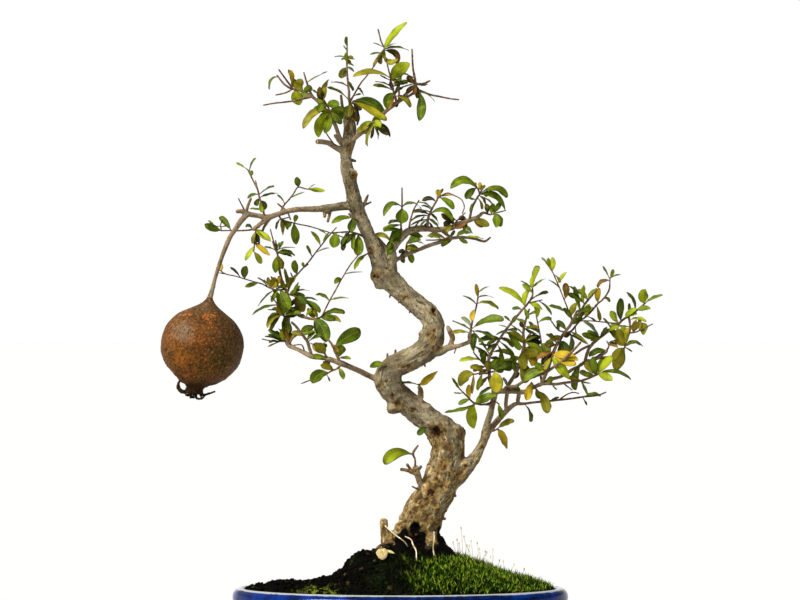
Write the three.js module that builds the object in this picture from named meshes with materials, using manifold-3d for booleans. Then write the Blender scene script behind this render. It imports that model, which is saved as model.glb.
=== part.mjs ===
// A pomegranate bonsai in a glazed oval pot: an old twisted trunk, its limbs, leafy sprays,
// one ripe fruit on a hanging stalk, and soil with a moss cushion. Millimetres, +Z up, -Y in front.
import * as THREE from "three";
import { mergeVertices } from "three/addons/utils/BufferGeometryUtils.js";
import Module from "manifold-3d";

const wasm = await Module();
wasm.setup();

// ---- Driving dimensions, mm ----------------------------------------------------------------
const CLEARANCE = 0.3; // between pieces that touch
const JOIN_TOLERANCE = 0.1; // joins and cuts may move a surface by this much
const ROUTE_SLACK = 1; // a limb's route may pass a point given for it by this much
const ELEVATION_LEFT = -413; // the front elevation's left edge, as x
const ELEVATION_TOP = 650; // the front elevation's top edge, as z
const EYE_SIDE = new THREE.Vector3(0, 1, 0); // the elevation looks along +y
const ACROSS = new THREE.Vector3(1, 0, 0);

const POT_CENTRE_X = -12.7;
const POT_HEIGHT = 62.5;
const POT_ROUNDING = 43; // the pot's half length less its half depth
const POT_SECTORS = 32;
const SOIL_EDGE_Z = 58.5;
const SOIL_WALL_GAP = 0.5;
const DRAIN_RADIUS = 7;
const DRAIN_SIDES = 12;
const DRAIN_SPACING = 75; // from the pot's centre to each drain hole

const KEEL_DEPTH = 1.2; // a blade's thickness at its midrib
const LEAF_PROPORTION = 0.36; // a flat leaf's width over its length
const LEAF_WIDEST = 9;
const LEAF_LEAN_MOST = 14;
const MIDRIB_EASE = 0.2; // how far the place that bends a midrib is drawn back to the midrib's chord
const STALK_WIDTH = 1;
const ROOT_SHARE = 0.7; // a stalk's section where it starts inside its twig, over its full one
const THINNEST_TWIG = 0.8; // radius
const SHORTEST_STALK = 3.5; // a base nearer the twig than this sits on the twig itself

const FRUIT_TOP = [211, 298.6, -30]; // where the stalk meets the fruit, on the elevation
const FRUIT_TILT = THREE.MathUtils.degToRad(9.5);
const FRUIT_SECTORS = 18;
const FRUIT_SWELL = 0.018; // its five soft ribs, as a share of the radius

// ---- Finishes -------------------------------------------------------------------------------
const finish = (color, roughness, metalness = 0) =>
  new THREE.MeshStandardMaterial({ color, roughness, metalness, flatShading: true });

const GLAZE = 0x1b2f7a;
const SOIL = 0x15130f;
const MOSS = 0x4f7a1c;
const BARK = 0x8f8064;
const RIND = 0x7d5030;
const FALLEN = 0xc8c27a;
const LEAF_TONES = {
  g: 0x55801a, // green
  b: 0x8fa81c, // bright young leaf
  o: 0x97902a, // olive
  y: 0xc2ae2a, // yellow, about to fall
  d: 0x33591a, // dark
  r: 0x7a4a22, // russet
  k: 0x1d1a12, // withered black
  p: 0x8b9a78, // pale backs of leaves
};

// ---- Places ---------------------------------------------------------------------------------
// A place is given on the front elevation: mm right of its left edge, mm down from its top edge,
// and y, the depth away from the viewer.
const at = (right, down, y = 0) =>
  new THREE.Vector3(ELEVATION_LEFT + right, y, ELEVATION_TOP - down);

// ---- Wood: each point is [right, down, y, radius] ---------------------------------------------
const TRUNK = [
  [416, 590, 0, 24], [416, 574, 0, 23.5], [416, 562, 0, 22.8], [416, 552, 0, 22],
  [416, 540, 0, 21.5], [418, 530, 1, 21], [421, 520, 1, 20.8], [425, 510, 2, 20],
  [431, 500, 3, 18.5], [437, 490, 4, 18.3], [441, 480, 5, 18], [444, 470, 6, 17.5],
  [446.5, 460, 7, 17], [448, 450, 8, 17], [447.5, 441, 9, 17], [443, 432, 10, 16],
  [436, 425, 10, 14.5], [428, 419, 9, 13], [419, 412, 8, 12.5], [409, 404.5, 5, 12.5],
  [399, 397, 2, 12.8], [391.5, 389, -2, 13.3], [387.5, 380, -5, 13.5], [390, 371, -8, 13],
  [398, 364.5, -10, 12.2], [408, 360, -11, 12], [418, 355, -12, 12], [427, 348.5, -11, 12],
  [432.5, 340, -8, 11.8], [434, 331, -4, 11.3], [433, 322, -1, 10.8], [428, 314, 2, 10.5],
  [419.5, 306.5, 5, 10.3], [410, 299, 8, 10.3], [401, 291, 9, 10.4], [393, 283, 10, 11],
  [386, 275, 9, 11.5], [381.5, 266, 8, 10.5], [378, 257, 6, 8.8], [374, 247, 4, 7.8],
  [369.5, 237, 2, 7], [365, 227, 0, 6.8], [360.5, 217, -2, 7.1], [356.5, 207, -4, 7.5],
  [353.5, 197, -5, 7.5], [351.5, 187, -6, 6.8], [349.5, 178, -6, 7.1], [347, 169, -5, 6.4],
  [345.8, 160, -3, 5.6], [346.5, 151, -1, 6.2], [348.5, 142, 0, 6.8], [349.8, 133, 2, 6.7],
  [349.6, 124, 2, 6.3], [347.5, 117, 2, 5],
];

const LIMBS = [
  // the fruiting limb, its fork and the fruit's stalk
  [[354, 206, -4, 5.5], [349, 206, -5, 4.5], [342, 206, -6, 4.3], [335, 207.5, -9, 4], [328, 208.5, -11, 4.5],
    [320, 209, -13, 3.5], [310, 209.3, -14, 3], [300, 209.5, -15, 2.9], [290, 211, -17, 2.8],
    [280, 214, -19, 2.8], [270, 218, -22, 2.8], [263, 223, -24, 2.4], [258, 227, -25, 2.2],
    [254, 230, -26, 1.8]],
  [[272, 217, -21, 2.4], [265, 217, -23, 2.6], [258, 216, -24, 2.6], [250, 214.5, -26, 2.6],
    [244, 212, -27, 2.2], [238, 212, -28, 2]],
  [[249, 214, -26, 2.6], [246, 217, -27, 3], [241.5, 222, -28, 2.9], [237, 229, -30, 2.7],
    [231.5, 237, -31, 2.5], [227.5, 246, -31, 2.5], [223.5, 256, -31, 2.4], [220.3, 266, -30.5, 2.3],
    [216.8, 277, -30, 2.2], [214, 288, -30, 2.3], [211.3, 298, -30, 3.1]],
  [[271, 218, -22, 1.8], [265, 227, -20, 1.4], [261, 236, -19, 0.9]],
  [[247, 213, -26, 1.6], [249, 206, -27, 1.5], [252, 199, -27, 1.2]],
  [[325, 210, -12, 2], [325, 217, -13, 1.7]],
  // the left limb, which turns up at its end
  [[384, 379, -5, 5], [375, 378, -6, 3.2], [362, 372, -10, 2.9], [350, 366.5, -13, 2.8],
    [340, 362.5, -15, 3.2],
    [330, 359, -14, 2.6], [320, 357.5, -12, 2.4], [312, 356, -10, 3], [305, 353, -7, 2.4],
    [297, 349, -4, 2.3],
    [290, 346, -1, 2.6], [287, 341, 0, 3], [287, 333, 1, 2], [288, 325, 1.5, 2], [288, 318, 2, 2],
    [287, 306, 3, 1.8], [287, 292, 4, 1.6], [284, 288, 5, 1.5], [281, 278, 6, 1.3], [279, 268, 6, 1.3],
    [278, 257, 6, 1.3]],
  [[312, 356, -10, 1.8], [308, 343, -14, 1.5]],
  [[287, 306, 3, 1.6], [290, 307, 1, 1.6], [297, 314, -3, 1.6]],
  // the upper right limb and its lower arm
  [[390, 276, 9, 8], [391, 268, 8, 6], [391, 258, 8, 5.5], [391, 250, 8, 5.2], [394, 246, 7, 4.6],
    [399, 240, 5, 4.2],
    [404, 235, 3, 4], [409, 231, 1, 3.8], [417, 229, 0, 3.5], [426, 228.5, -2, 3.2], [435, 230, -4, 3],
    [444, 229, -6, 2.8], [452, 228, -8, 2.6], [458, 224, -10, 2.5], [466, 222, -12, 2.4]],
  [[389, 253, 8, 2.4], [386, 248, 8, 2.2], [382, 243, 9, 1.9], [377, 237, 10, 1.6]],
  [[392, 263, 9, 3], [396, 260, 10, 2.2], [402, 257, 12, 2.1], [410, 253, 14, 2], [420, 249, 16, 2],
    [430, 245, 16, 2], [440, 242, 15, 2], [450, 237.5, 14, 2]],
  [[441, 230, -5, 1.6], [446, 234, 6, 1.5], [451, 237, 13, 1.6]],
  [[409, 231, 1, 1.3], [410, 222, 6, 0.9], [414, 209, 11, 0.8], [419, 200, 14, 0.7]],
  // bare stubs on the upper trunk
  [[358, 208, -4, 2.5], [363, 206, -2, 2.2], [368, 195, 0, 1]],
  // the crown's two arms, its middle shoot and its stubs
  [[347, 153, -2, 3.6], [341, 150, -2, 3.2], [335, 147, -3, 2.9], [328, 143, -4, 2.8], [317, 141.5, -5, 2.7]],
  [[346, 150, 0, 2.4], [339, 141, 4, 2], [335, 135, 6, 1.8]],
  [[349, 146, 0, 2.4], [343, 143, 0, 2], [338, 133, -2, 2], [336, 127, -3, 2], [333, 121, -4, 1.9],
    [330, 116, -5, 1.8], [325, 109, -6, 1.8], [320, 104, -8, 1.7], [316, 100, -9, 1.7], [312, 97, -10, 1.6]],
  [[350, 126, 2, 2.4], [350, 118, 2, 1.7], [350, 105, 3, 1.5], [349, 98, 4, 1.4], [349, 90, 5, 1.2]],
  [[347, 119, 2, 2], [343, 110, 3, 1.6], [341, 95, 4, 1.3]],
  [[349, 144, -1, 3.6], [353, 140, -4, 2.8], [360, 134, -4, 2.6], [368, 128, -3, 2.4], [377, 119, -2, 2.2],
    [385, 112, 0, 2], [393, 105, 2, 2], [400, 100, 4, 2], [406, 94, 5, 1.8], [412, 88, 6, 1.6],
    [417, 83, 7, 1.4]],
  [[383, 114, -1, 1.8], [388, 110, 3, 1.4], [400, 101, 8, 1.4], [410, 95, 10, 1.3], [418, 90, 11, 1.2],
    [430, 94, 12, 1], [440, 96, 13, 0.9], [450, 98, 14, 0.8], [459, 99, 14, 0.7]],
  [[399, 101, 4, 1.2], [399, 90, 9, 0.9], [400, 80, 12, 0.8], [402, 73, 14, 0.7]],
  // the short limb at mid height on the right
  [[431, 350, -9, 7], [436, 352, -12, 5], [441, 351, -14, 4.4], [447, 348, -18, 3.5], [455, 346.5, -21, 2.6],
    [463, 344, -24, 2], [469, 341, -26, 2], [469, 336, -27, 1.8], [470, 332, -28, 1.5]],
  [[447, 348, -18, 2.6], [449, 344, -19, 2.2], [452, 337, -20, 1.9], [450, 332, -20, 1.6],
    [447, 326, -19, 1.2]],
  // the big right limb, forked, with the arms that carry the right-hand foliage
  [[450, 482, 6, 10], [457, 477, 6, 9], [463, 472, 5, 8.2], [470, 464, 5, 7], [477, 455, 4, 5.5],
    [481, 447, 4, 4.6],
    [484, 440, 3, 4.4], [486, 433, 2, 4.8], [487, 425, 0, 3.6], [490, 415, -3, 3.4], [492, 405, -6, 3.2],
    [494, 395, -8, 3.2], [493, 387, -9, 2.6], [489, 378, -11, 1.9]],
  [[486, 434, 2, 4], [490, 430, 4, 3.2], [495, 424, 7, 3.1], [501, 417, 9, 3], [507, 411, 11, 2.8],
    [513, 406, 12, 2.4], [519, 403, 13, 2.2]],
  [[493, 391, -9, 3], [500, 391, -8, 3], [507, 391, -6, 3], [515, 391, -4, 3], [524, 392, -3, 2.6],
    [532, 388, -4, 2.2], [541, 384, -5, 2.1], [548, 383, -5, 1.9]],
  [[519, 392, -3, 2.2], [518, 403, 13, 2]],
  [[507, 392, -6, 2], [506, 405, 6, 2], [507, 411, 11, 2]],
  [[504, 391, -7, 1.8], [506, 387, -9, 1.6], [515, 386, -13, 1.6], [523, 381, -18, 1.5], [534, 376, -21, 1.5],
    [545, 372, -24, 1.5], [555, 365, -27, 1.4], [562, 360, -29, 1.4], [570, 352, -33, 1.3],
    [579, 342, -38, 1.1]],
  [[541, 384, -5, 2], [552, 379, 0, 1.8], [560, 377, 3, 1.7], [567, 373, 6, 1.7], [574, 369, 9, 1.7],
    [580, 366, 12, 1.6], [585, 362, 14, 1.6], [589, 350, 15, 1.6], [594, 343, 16, 1.5]],
  [[592, 345, 16, 1.2], [583, 349, 12, 1.3], [574, 355, 9, 1.1]],
  [[541, 384, -5, 2], [545, 375, -8, 1.8], [550, 362, -11, 1.7], [553, 352, -12, 1.7], [557, 343, -12, 1.6]],
  // the cut stub low on the trunk's left, with its twiglets
  [[428, 486, 0, 5], [421, 483, -6, 3.6], [418, 475, -8, 3.5], [415, 467, -9, 3.2]],
  [[417, 474, -8, 2.2], [407, 470, -10, 1.8], [401, 469, -10, 1.7]],
  [[412, 471, -9, 1.6], [407, 464, -10, 1.4]],
  [[417, 471, -8, 1.8], [421, 466, -10, 1.5]],
  [[419, 407, 2, 3.6], [421, 399, 1, 2.8], [421, 391, 0, 2.7], [419, 387, -1, 2]],
  // surface roots, a cut root and the fine roots that hang to the soil
  [[408, 548, -10, 14], [392, 560, -16, 12], [380, 574, -20, 9]],
  [[424, 548, -10, 14], [442, 556, -14, 12], [456, 572, -16, 9]],
  [[416, 552, 8, 16], [424, 566, 24, 12], [430, 580, 34, 8]],
  [[396, 548, -8, 7], [387, 545, -13, 5], [385, 535, -14, 4.3], [384, 520, -14, 4.1]],
  [[398, 552, -14, 6], [389, 550, -20, 5.6], [382, 550, -23, 4.6]],
  [[383, 523, -14, 1], [390, 529, -24, 0.8], [396, 534, -25, 0.8], [405, 541, -26, 0.8],
    [409, 549, -18, 0.9]],
  [[407, 536, -18, 0.9], [411, 538, -24, 1], [413, 543, -26, 1], [416, 552, -27, 1], [416, 562, -22, 1]],
  [[434, 531, -10, 0.9], [434, 538, -19, 0.9], [433, 546, -20, 0.9], [434, 552, -15, 0.9]],
  [[372, 560, -20, 1.5], [376, 549, -22, 1.5], [381, 544, -22, 1.5], [388, 542, -20, 1.5],
    [395, 542, -14, 1.5]],
];

// Old cuts, burrs and swellings: [right, down, y, radius across, radius up and down]
const BURRS = [
  [377, 275, 3, 7.5, 8], [457, 433, 4, 9, 9], [396, 409, -4, 8, 5.5], [467, 466, 3, 8.5, 8.5],
  [435, 546, -2, 12, 14], [391, 541, -12, 6, 12], [402.5, 523, -8, 10, 9],
  [404, 538, -12, 9, 10], [432, 540, -12, 10, 10], [353, 175, -9, 5, 6], [424, 335, -12, 6, 6],
  [412, 512, -13, 8, 9], [436, 505, -14, 6, 8], [391, 255, 5, 5.5, 6],
];
// Knot holes and rotted hollows, cut into the wood
const HOLLOWS = [
  [438, 430, -7, 5, 7], [434, 311, -10, 2, 3.5], [417, 527, -21, 5, 5], [430, 491, -15, 6, 5],
  [374, 276, -4, 3, 3.5],
];

// ---- Sprays ---------------------------------------------------------------------------------
// twigs: lists of [right, down, y, radius]. leaves: [base, the place that bends the midrib, and tip,
// each right and down, width as it shows on the elevation, tone, and where it matters the tip's y
// less the base's].
const SPRAYS = {
  spray_fruit_left: {
    twigs: [
      [[265, 217, -23, 1.1], [264, 210, -22, 1], [260, 198, -16, 0.9], [258, 190, -12, 0.9],
        [254, 182, -8, 0.8], [251, 176, -5, 0.8], [248, 170, -2, 0.7]],
      [[259, 193, -13, 0.7], [256, 181, -15, 0.6]],
    ],
    leaves: [
      [251, 177, 251, 173, 253, 171, 4, "b"], [257, 195, 252, 193, 248, 199, 3.5, "d"],
      [259, 198, 257, 202, 256, 206, 5, "d", 6], [262, 197, 270, 193, 279, 193.5, 2.5, "d"],
      [263, 200, 267, 203, 265, 210, 5, "g", 8], [260, 201, 261, 207, 263, 213, 4, "b", -8],
    ],
  },
  spray_fruit_mid: {
    twigs: [
      [[281, 213, -19, 1.1], [284, 206, -14, 0.9], [289, 200, -8, 0.8], [294, 193, 0, 0.7],
        [298, 187, 6, 0.7], [305, 188.5, 9, 0.7], [309, 189, 12, 0.6]],
    ],
    leaves: [
      [298, 187, 298, 182, 297, 177, 6, "g"], [308, 189, 316, 190, 325, 190.5, 4.5, "b"],
    ],
  },
  spray_fruit_under: {
    twigs: [
      [[257, 227, -25, 1.1], [252, 230, -22, 0.9], [240, 231, -20, 0.8], [232, 230.8, -20, 0.7],
        [222, 231, -20, 0.7]],
      [[222, 231, -20, 0.7], [221.5, 225, -20, 0.6], [223, 221, -20, 0.6]],
    ],
    leaves: [
      [221, 231, 214, 229, 206, 225, 7, "g"], [232, 229, 227, 222, 220, 217, 6, "g", 8],
      [252, 228, 250, 223, 246, 227, 3.5, "d", 8],
    ],
  },
  spray_fruit_right: {
    twigs: [
      [[279, 215, -19, 1.1], [282, 219.5, -16, 0.9], [293, 223, -9, 0.7], [300, 224.5, -4, 0.7],
        [310, 226.5, 0, 0.7], [325, 231, 5, 0.6], [340, 236, 9, 0.6], [346, 239, 10, 0.6]],
      [[282, 219.5, -16, 0.7], [290, 217.5, -13, 0.6]],
    ],
    leaves: [
      [292, 223, 289, 224, 286, 228, 5, "g", -8], [294.5, 223, 295.5, 234, 296, 244.5, 8, "g"],
      [295, 222, 295, 218, 297, 215, 4.5, "g", 8], [280, 220, 284, 226, 283, 236, 4, "o", 6],
    ],
  },
  spray_fruit_hanging: {
    twigs: [
      [[259, 226, -25, 1.2], [257, 230, -28, 0.9], [256, 240, -32, 0.8], [255, 252, -38, 0.7]],
    ],
    leaves: [
      [256, 232, 253, 238, 255, 244, 4, "o", -8], [257, 233, 259, 238, 257, 243, 3, "o", 6],
      [254, 246, 251, 253, 247, 261, 4.5, "b"], [256, 252, 260, 257, 262, 264, 5.5, "b"],
      [257, 243, 263, 250, 271, 256, 5, "y"], [259, 232, 266, 235, 272, 242, 6, "b", -8],
    ],
  },
  spray_left_outer: {
    twigs: [
      [[287, 341, 0, 1.4], [282, 341, -4, 1.1], [275, 341.5, -3, 0.7], [262, 339, 0, 0.6]],
    ],
    leaves: [
      [281, 340, 274, 337, 268, 334, 2.5, "d", 9], [284, 338, 276, 332, 268, 330, 3, "d", -9],
      [281, 342, 273, 336, 265, 337, 2.5, "k", -4], [284, 340, 280, 335, 282, 330, 4, "b", -9],
    ],
  },
  spray_left_inner_low: {
    twigs: [
      [[289, 345, -1, 1.3], [292, 339, -5, 1], [297, 335, -6, 0.8]],
    ],
    leaves: [
      [291, 341, 293, 334, 300, 330, 3.5, "o", 6], [296, 335, 305, 333, 314, 331, 5, "g", -6],
    ],
  },
  spray_left_dark_twig: {
    twigs: [
      [[287, 293, 4, 1.2], [292, 281, 10, 0.9], [300, 271, 14, 0.8], [308, 262, 17, 0.8],
        [314, 254, 19, 0.8], [321, 245, 21, 0.7], [328, 236, 23, 0.7], [336, 227, 25, 0.6]],
      [[303, 268, 15, 0.7], [308, 264, 17, 0.6]],
    ],
    leaves: [
      [297, 274, 293, 267, 295, 260, 6.5, "g"], [304, 267, 302.5, 265, 302, 262, 3, "g"],
      [311, 257, 309, 250, 306, 245, 2.5, "g"], [320, 245, 317, 237, 310, 231, 4, "b"],
      [323, 243, 325, 238, 329, 232, 3, "d"], [288, 290, 288, 284, 291, 277, 6, "o", -10],
      [289, 286, 284, 278, 284, 268, 3.5, "b", 12],
    ],
  },
  spray_left_tip: {
    twigs: [
      [[278, 260, 6, 1.2], [277, 252, 7, 0.8], [273, 240, 8, 0.7], [270, 229, 9, 0.6]],
      [[277, 254, 7, 0.7], [274, 247, 10, 0.7], [272, 241, 14, 0.6]],
    ],
    leaves: [
      [277, 256, 274, 265, 276, 273, 6.5, "g", -10], [279, 256, 283, 262, 282, 269, 4, "d", 12],
      [278, 252, 288, 249, 295, 256, 4.5, "d", -8], [278, 251, 283, 246, 282, 241, 2.5, "g", 8],
    ],
  },
  spray_left_yellow: {
    twigs: [
      [[285, 289, 5, 1.2], [279, 290, 1, 0.9], [272, 289, 2, 0.8], [262, 284, 2, 0.7], [255, 282, 1, 0.7],
        [245, 279, -2, 0.6], [235, 276, -6, 0.6], [226, 274, -10, 0.6], [220, 270, -14, 0.6]],
      [[272, 289, 2, 0.9], [264, 280, 9, 0.7]],
    ],
    leaves: [
      [272, 288, 272, 282, 275, 277, 5, "y"], [277, 289, 274, 281, 270, 276, 3, "g", 8],
      [245, 278, 243, 272, 247, 266, 7, "g"], [222, 271, 223, 267, 221, 263, 3, "y"],
      [258, 283, 252, 284, 245, 287, 4, "g"], [275, 290, 280, 299, 281, 312, 7, "b", 6],
    ],
  },
  spray_left_inner: {
    twigs: [
      [[287, 294, 4, 1.2], [291, 295, 0, 0.9], [297, 297, -3, 0.8], [303, 300, -5, 0.7]],
    ],
    leaves: [
      [291, 295, 294, 291, 300, 286, 3.5, "g", 4], [295, 297, 300, 304, 303, 312, 10, "o"],
      [303, 300, 313, 301, 320, 313, 4, "g"],
    ],
  },
  spray_left_stem: {
    twigs: [
      [[287, 319, 2, 1.2], [282, 314, -3, 0.9], [279, 309, -5, 0.8], [276, 302, -8, 0.7],
        [271, 296, -12, 0.6]],
    ],
    leaves: [
      [278, 305, 265, 305, 253, 315, 3.2, "d"], [284, 315, 271, 311, 268, 328, 5, "o", -10],
      [281, 315, 274, 321, 270, 332, 4.5, "d", 4], [284, 316, 295, 311, 301, 314, 4, "g", -10],
      [284, 316, 283, 326, 284, 335, 4, "d", -6], [285, 317, 290, 324, 291, 332, 3, "d", -8],
    ],
  },
  spray_left_thin_twig: {
    twigs: [
      [[295, 312, -2, 1.5], [300, 316, -5, 1.4], [306, 317.5, -7, 1.4], [313, 319, -8, 1.2],
        [321, 317, -7, 0.9], [326, 308, -5, 0.8], [330, 300, -2, 0.8], [335, 291, 2, 0.8],
        [341, 280, 7, 0.7], [350, 265, 13, 0.7], [358, 255, 17, 0.6], [361, 250, 20, 0.6]],
    ],
    leaves: [
      [306, 316, 308, 311, 312, 309, 3, "b"], [314, 318, 314, 313, 312, 307, 4, "g", 8],
      [313, 319, 325, 321, 327, 342, 12, "d", -8], [329, 301, 324, 293, 315, 295, 3.5, "g"],
      [341, 279, 337, 277, 335, 284, 5, "g"], [321, 316, 332, 308, 345, 313, 4.5, "d"],
      [320, 318, 333, 315, 341, 322, 6, "o", -6],
    ],
  },
  spray_left_stick: {
    twigs: [
      [[309, 346, -13, 1.6], [308, 342, -14, 1.5], [303, 335, -17, 1.4], [297, 327, -18, 1.3],
        [292, 322, -18, 1.1]],
    ],
    leaves: [
      [301, 332, 308, 329, 314, 326, 5, "d"], [307, 341, 310, 334, 316, 331, 4, "g", 6],
      [308, 342, 315, 336, 322, 335, 3, "g", -6],
    ],
  },
  spray_left_broad: {
    twigs: [
      [[341, 364, -15, 1.8], [337, 355, -18, 1.4], [332, 344, -20, 1.2], [329, 340, -21, 1]],
    ],
    leaves: [
      [334, 349, 345, 334, 361, 331, 13, "b", 10], [338, 357, 339, 350, 342, 345, 7, "g", -8],
      [339, 358, 346, 356, 351, 359, 3, "g", -8], [332, 344, 336, 346, 338, 350, 3, "r", -6],
    ],
  },
  spray_left_olive: {
    twigs: [
      [[328, 359, -14, 1.4], [324, 352, -17, 0.9], [319, 347, -19, 0.8], [311, 343, -20, 0.6]],
    ],
    leaves: [
      [325, 354, 323, 347, 315, 343, 9, "o", -8],
    ],
  },
  spray_left_hanging: {
    twigs: [
      [[341, 364, -16, 1.5], [338, 368, -19, 1.1], [331, 371, -21, 0.9], [325, 375, -22, 0.8],
        [310, 380, -24, 0.7], [302, 383, -25, 0.6]],
    ],
    leaves: [
      [334, 370, 328, 363, 322, 366, 6, "o", -8], [338, 367, 342, 371, 344, 378, 5, "o"],
      [328, 372, 314, 370, 314, 383, 11, "g", -8],
    ],
  },
  spray_elbow_left: {
    twigs: [
      [[390, 367, -14, 1.6], [384, 364, -23, 0.9]],
    ],
    leaves: [
      [384, 364, 377, 361, 370, 367, 6, "g", 5],
    ],
  },
  spray_elbow_yellow: {
    twigs: [
      [[420, 389, 0, 1.6], [419, 384, -3, 1]],
    ],
    leaves: [
      [419, 385, 427, 381, 438, 371, 6.5, "y"],
    ],
  },
  spray_trunk_low: {
    twigs: [
      [[434, 426, 0, 1.6], [427, 427, -9, 0.9]],
    ],
    leaves: [
      [427, 427, 422, 428, 418, 435, 6, "d", -3],
    ],
  },
  spray_paddle: {
    twigs: [
      [[415, 470, -9, 1.4], [415, 459, -11, 0.9], [413, 453, -12, 1.3], [418, 445, -13, 0.9]],
    ],
    leaves: [
      [413, 454, 391, 443, 385, 464, 11, "b", -8],
    ],
  },
  spray_high_arch: {
    twigs: [
      [[361, 221, -3, 1.6], [354, 219, -11, 0.9], [349, 214, -12, 1.2]],
    ],
    leaves: [
      [354, 219, 343, 213, 332, 224, 4.5, "g"], [352, 218, 354, 225, 350, 232, 8, "d", -5],
    ],
  },
  spray_high_left: {
    twigs: [
      [[366, 238, 2, 1.6], [358, 234, -8, 1], [350, 232, -10, 0.9], [341, 232.5, -11, 0.8],
        [330, 233, -12, 0.6]],
    ],
    leaves: [
      [336, 233, 335, 240, 334, 248, 10, "g", -5], [358, 235, 349, 235, 345, 244, 6, "d", 5],
      [358, 235, 360, 245, 358, 256, 9.5, "g", -5], [347, 232, 344, 244, 343, 251, 4.5, "k", -3],
    ],
  },
  spray_high_low: {
    twigs: [
      [[374, 252, 2, 1.6], [367, 254, -6, 0.9]],
    ],
    leaves: [
      [368, 254, 359, 257, 355, 270, 4.5, "b", -6],
    ],
  },
  spray_upper_fan: {
    twigs: [
      [[403, 236, 2, 1.8], [401, 226, -4, 1], [402, 207, -8, 0.9], [402, 188, -12, 0.7]],
    ],
    leaves: [
      [401, 207, 388, 194, 384, 217, 5, "d"], [403, 207, 414, 195, 422, 210, 2.5, "d"],
      [402, 208, 402, 216, 402, 224, 12, "g", -6], [401, 225, 391, 226, 383, 230, 4, "g", -5],
      [401, 228, 395, 233, 391, 242, 7, "d", -6],
    ],
  },
  spray_upper_base: {
    twigs: [
      [[394, 248, 7, 2], [391, 243, -2, 0.9]],
    ],
    leaves: [
      [391, 243, 389, 245, 387, 251, 4, "d", -4], [392, 243, 386, 230, 373, 236, 4, "o", 5],
    ],
  },
  spray_upper_bud: {
    twigs: [
      [[427, 229, -2, 1.8], [428, 219, -7, 1.4], [431, 211, -10, 1.2], [434, 205, -12, 1.1],
        [437, 200, -14, 1], [438, 190, -16, 0.7]],
      [[437, 199, -14, 0.8], [447, 193.5, -17, 0.7], [454, 196, -19, 0.6], [461, 200, -21, 0.6],
        [464, 207, -22, 0.6], [462, 214, -22, 0.6]],
    ],
    leaves: [
      [438, 198, 439.5, 194, 440, 190, 3.5, "y"], [440, 198, 448, 192.5, 455, 196, 3, "y"],
      [440, 199, 450, 200, 453, 210, 6, "g", -6], [435, 202, 429, 195, 422, 201, 4, "k"],
      [430, 215, 446, 199, 452, 222, 5.5, "g", -9], [429, 218, 435, 222, 439, 229, 3, "d", -7],
      [429, 216, 418, 214, 411, 222, 2.5, "d"], [429, 214, 437, 216, 439, 225, 2.5, "d", 6],
      [430, 212, 418, 209, 412, 213, 3, "k"],
    ],
  },
  spray_upper_withered: {
    twigs: [
      [[450, 229, -7, 1.6], [457, 221, -13, 0.9], [465, 213, -15, 0.7]],
    ],
    leaves: [
      [457, 221, 448, 216, 442, 218, 5, "k", 3], [453, 225, 448, 226, 446, 233, 5, "o", -6],
    ],
  },
  spray_upper_tip: {
    twigs: [
      [[464, 222.5, -11.5, 2.4], [473, 219, -14, 2.2], [478, 217, -16, 2], [483, 213, -17, 1.3],
        [490, 215, -19, 0.8], [497, 213, -21, 0.7], [505, 211, -24, 0.6]],
      [[469, 221, -13, 1.4], [472, 208, -18, 1.1], [477, 198, -22, 1], [479, 194, -24, 0.9],
        [475, 185, -26, 0.6]],
      [[479, 194, -24, 0.8], [484, 187, -23, 0.6]],
    ],
    leaves: [
      [477, 190, 463, 168, 450, 190, 7.5, "g"], [475, 189, 468, 191, 466, 200, 7, "g", -8],
      [475, 202, 471, 205, 470, 213, 2.5, "g"], [480, 195, 500, 187, 505, 211, 6.5, "g"],
      [480, 194, 499, 180, 507, 198, 6, "g", 12], [492, 214, 496, 209, 500, 203, 5, "g"],
      [493, 214, 499, 219, 495, 228, 8, "g", -8], [488, 214, 486.5, 209, 487, 204, 5, "k"],
      [472, 219, 480, 221, 489, 226, 7, "y", -6], [480, 192, 481, 188, 480, 184, 3, "o", 6],
      [461, 225, 467, 226, 472, 234, 4, "d", -8],
    ],
  },
  spray_upper_low_tip: {
    twigs: [
      [[448, 238.5, 14, 1.9], [462, 237, 17, 1.5], [475, 238.5, 19, 1.3], [485, 241, 20, 1.2],
        [491, 237, 20, 0.8]],
      [[453, 237.5, 15, 1.2], [444, 239, 9, 0.8], [434, 240, 8, 0.7], [426, 240, 8, 0.6]],
    ],
    leaves: [
      [458, 237.5, 463, 241, 468, 243, 4, "g"], [464, 237, 474, 236, 484, 239, 2.5, "b", -6],
      [450, 238, 447, 242, 441, 246, 4, "g", -8], [441, 239, 434, 234, 427, 236, 3, "b"],
    ],
  },
  spray_upper_low_base: {
    twigs: [
      [[406, 255.5, 13, 1.8], [406, 250, 18, 1], [407, 243, 20, 0.9], [409, 240, 21, 0.7]],
      [[404, 256.5, 12, 1.4], [403, 259, 5, 0.9]],
    ],
    leaves: [
      [406, 251, 409, 242, 419, 249, 4.5, "o", 4], [406, 250, 413, 256, 412, 263, 6, "g", 5],
      [406, 250, 400, 255, 404, 263, 5, "d", 6], [408, 241, 414, 234, 423, 236, 6, "d"],
    ],
  },
  spray_crown_left: {
    twigs: [
      [[314, 98.5, -9.5, 1.6], [311, 94, -11, 1.4], [307, 83, -12, 1], [304, 73, -12, 0.8]],
      [[312, 97, -10, 1.4], [305, 99, -13, 1.1], [297, 101, -15, 1], [288, 102.5, -16, 0.9],
        [275, 104, -18, 0.8], [264, 106, -18, 0.7]],
      [[312, 96, -10.5, 1.4], [305, 93, -8, 1.3], [298, 90, -5, 1.2], [292, 89, -3, 1.1], [284, 84, 0, 1],
        [277, 75, 2, 0.8]],
      [[293, 89, -3, 1.1], [287, 81, -7, 1], [279, 70, -9, 0.8]],
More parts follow.
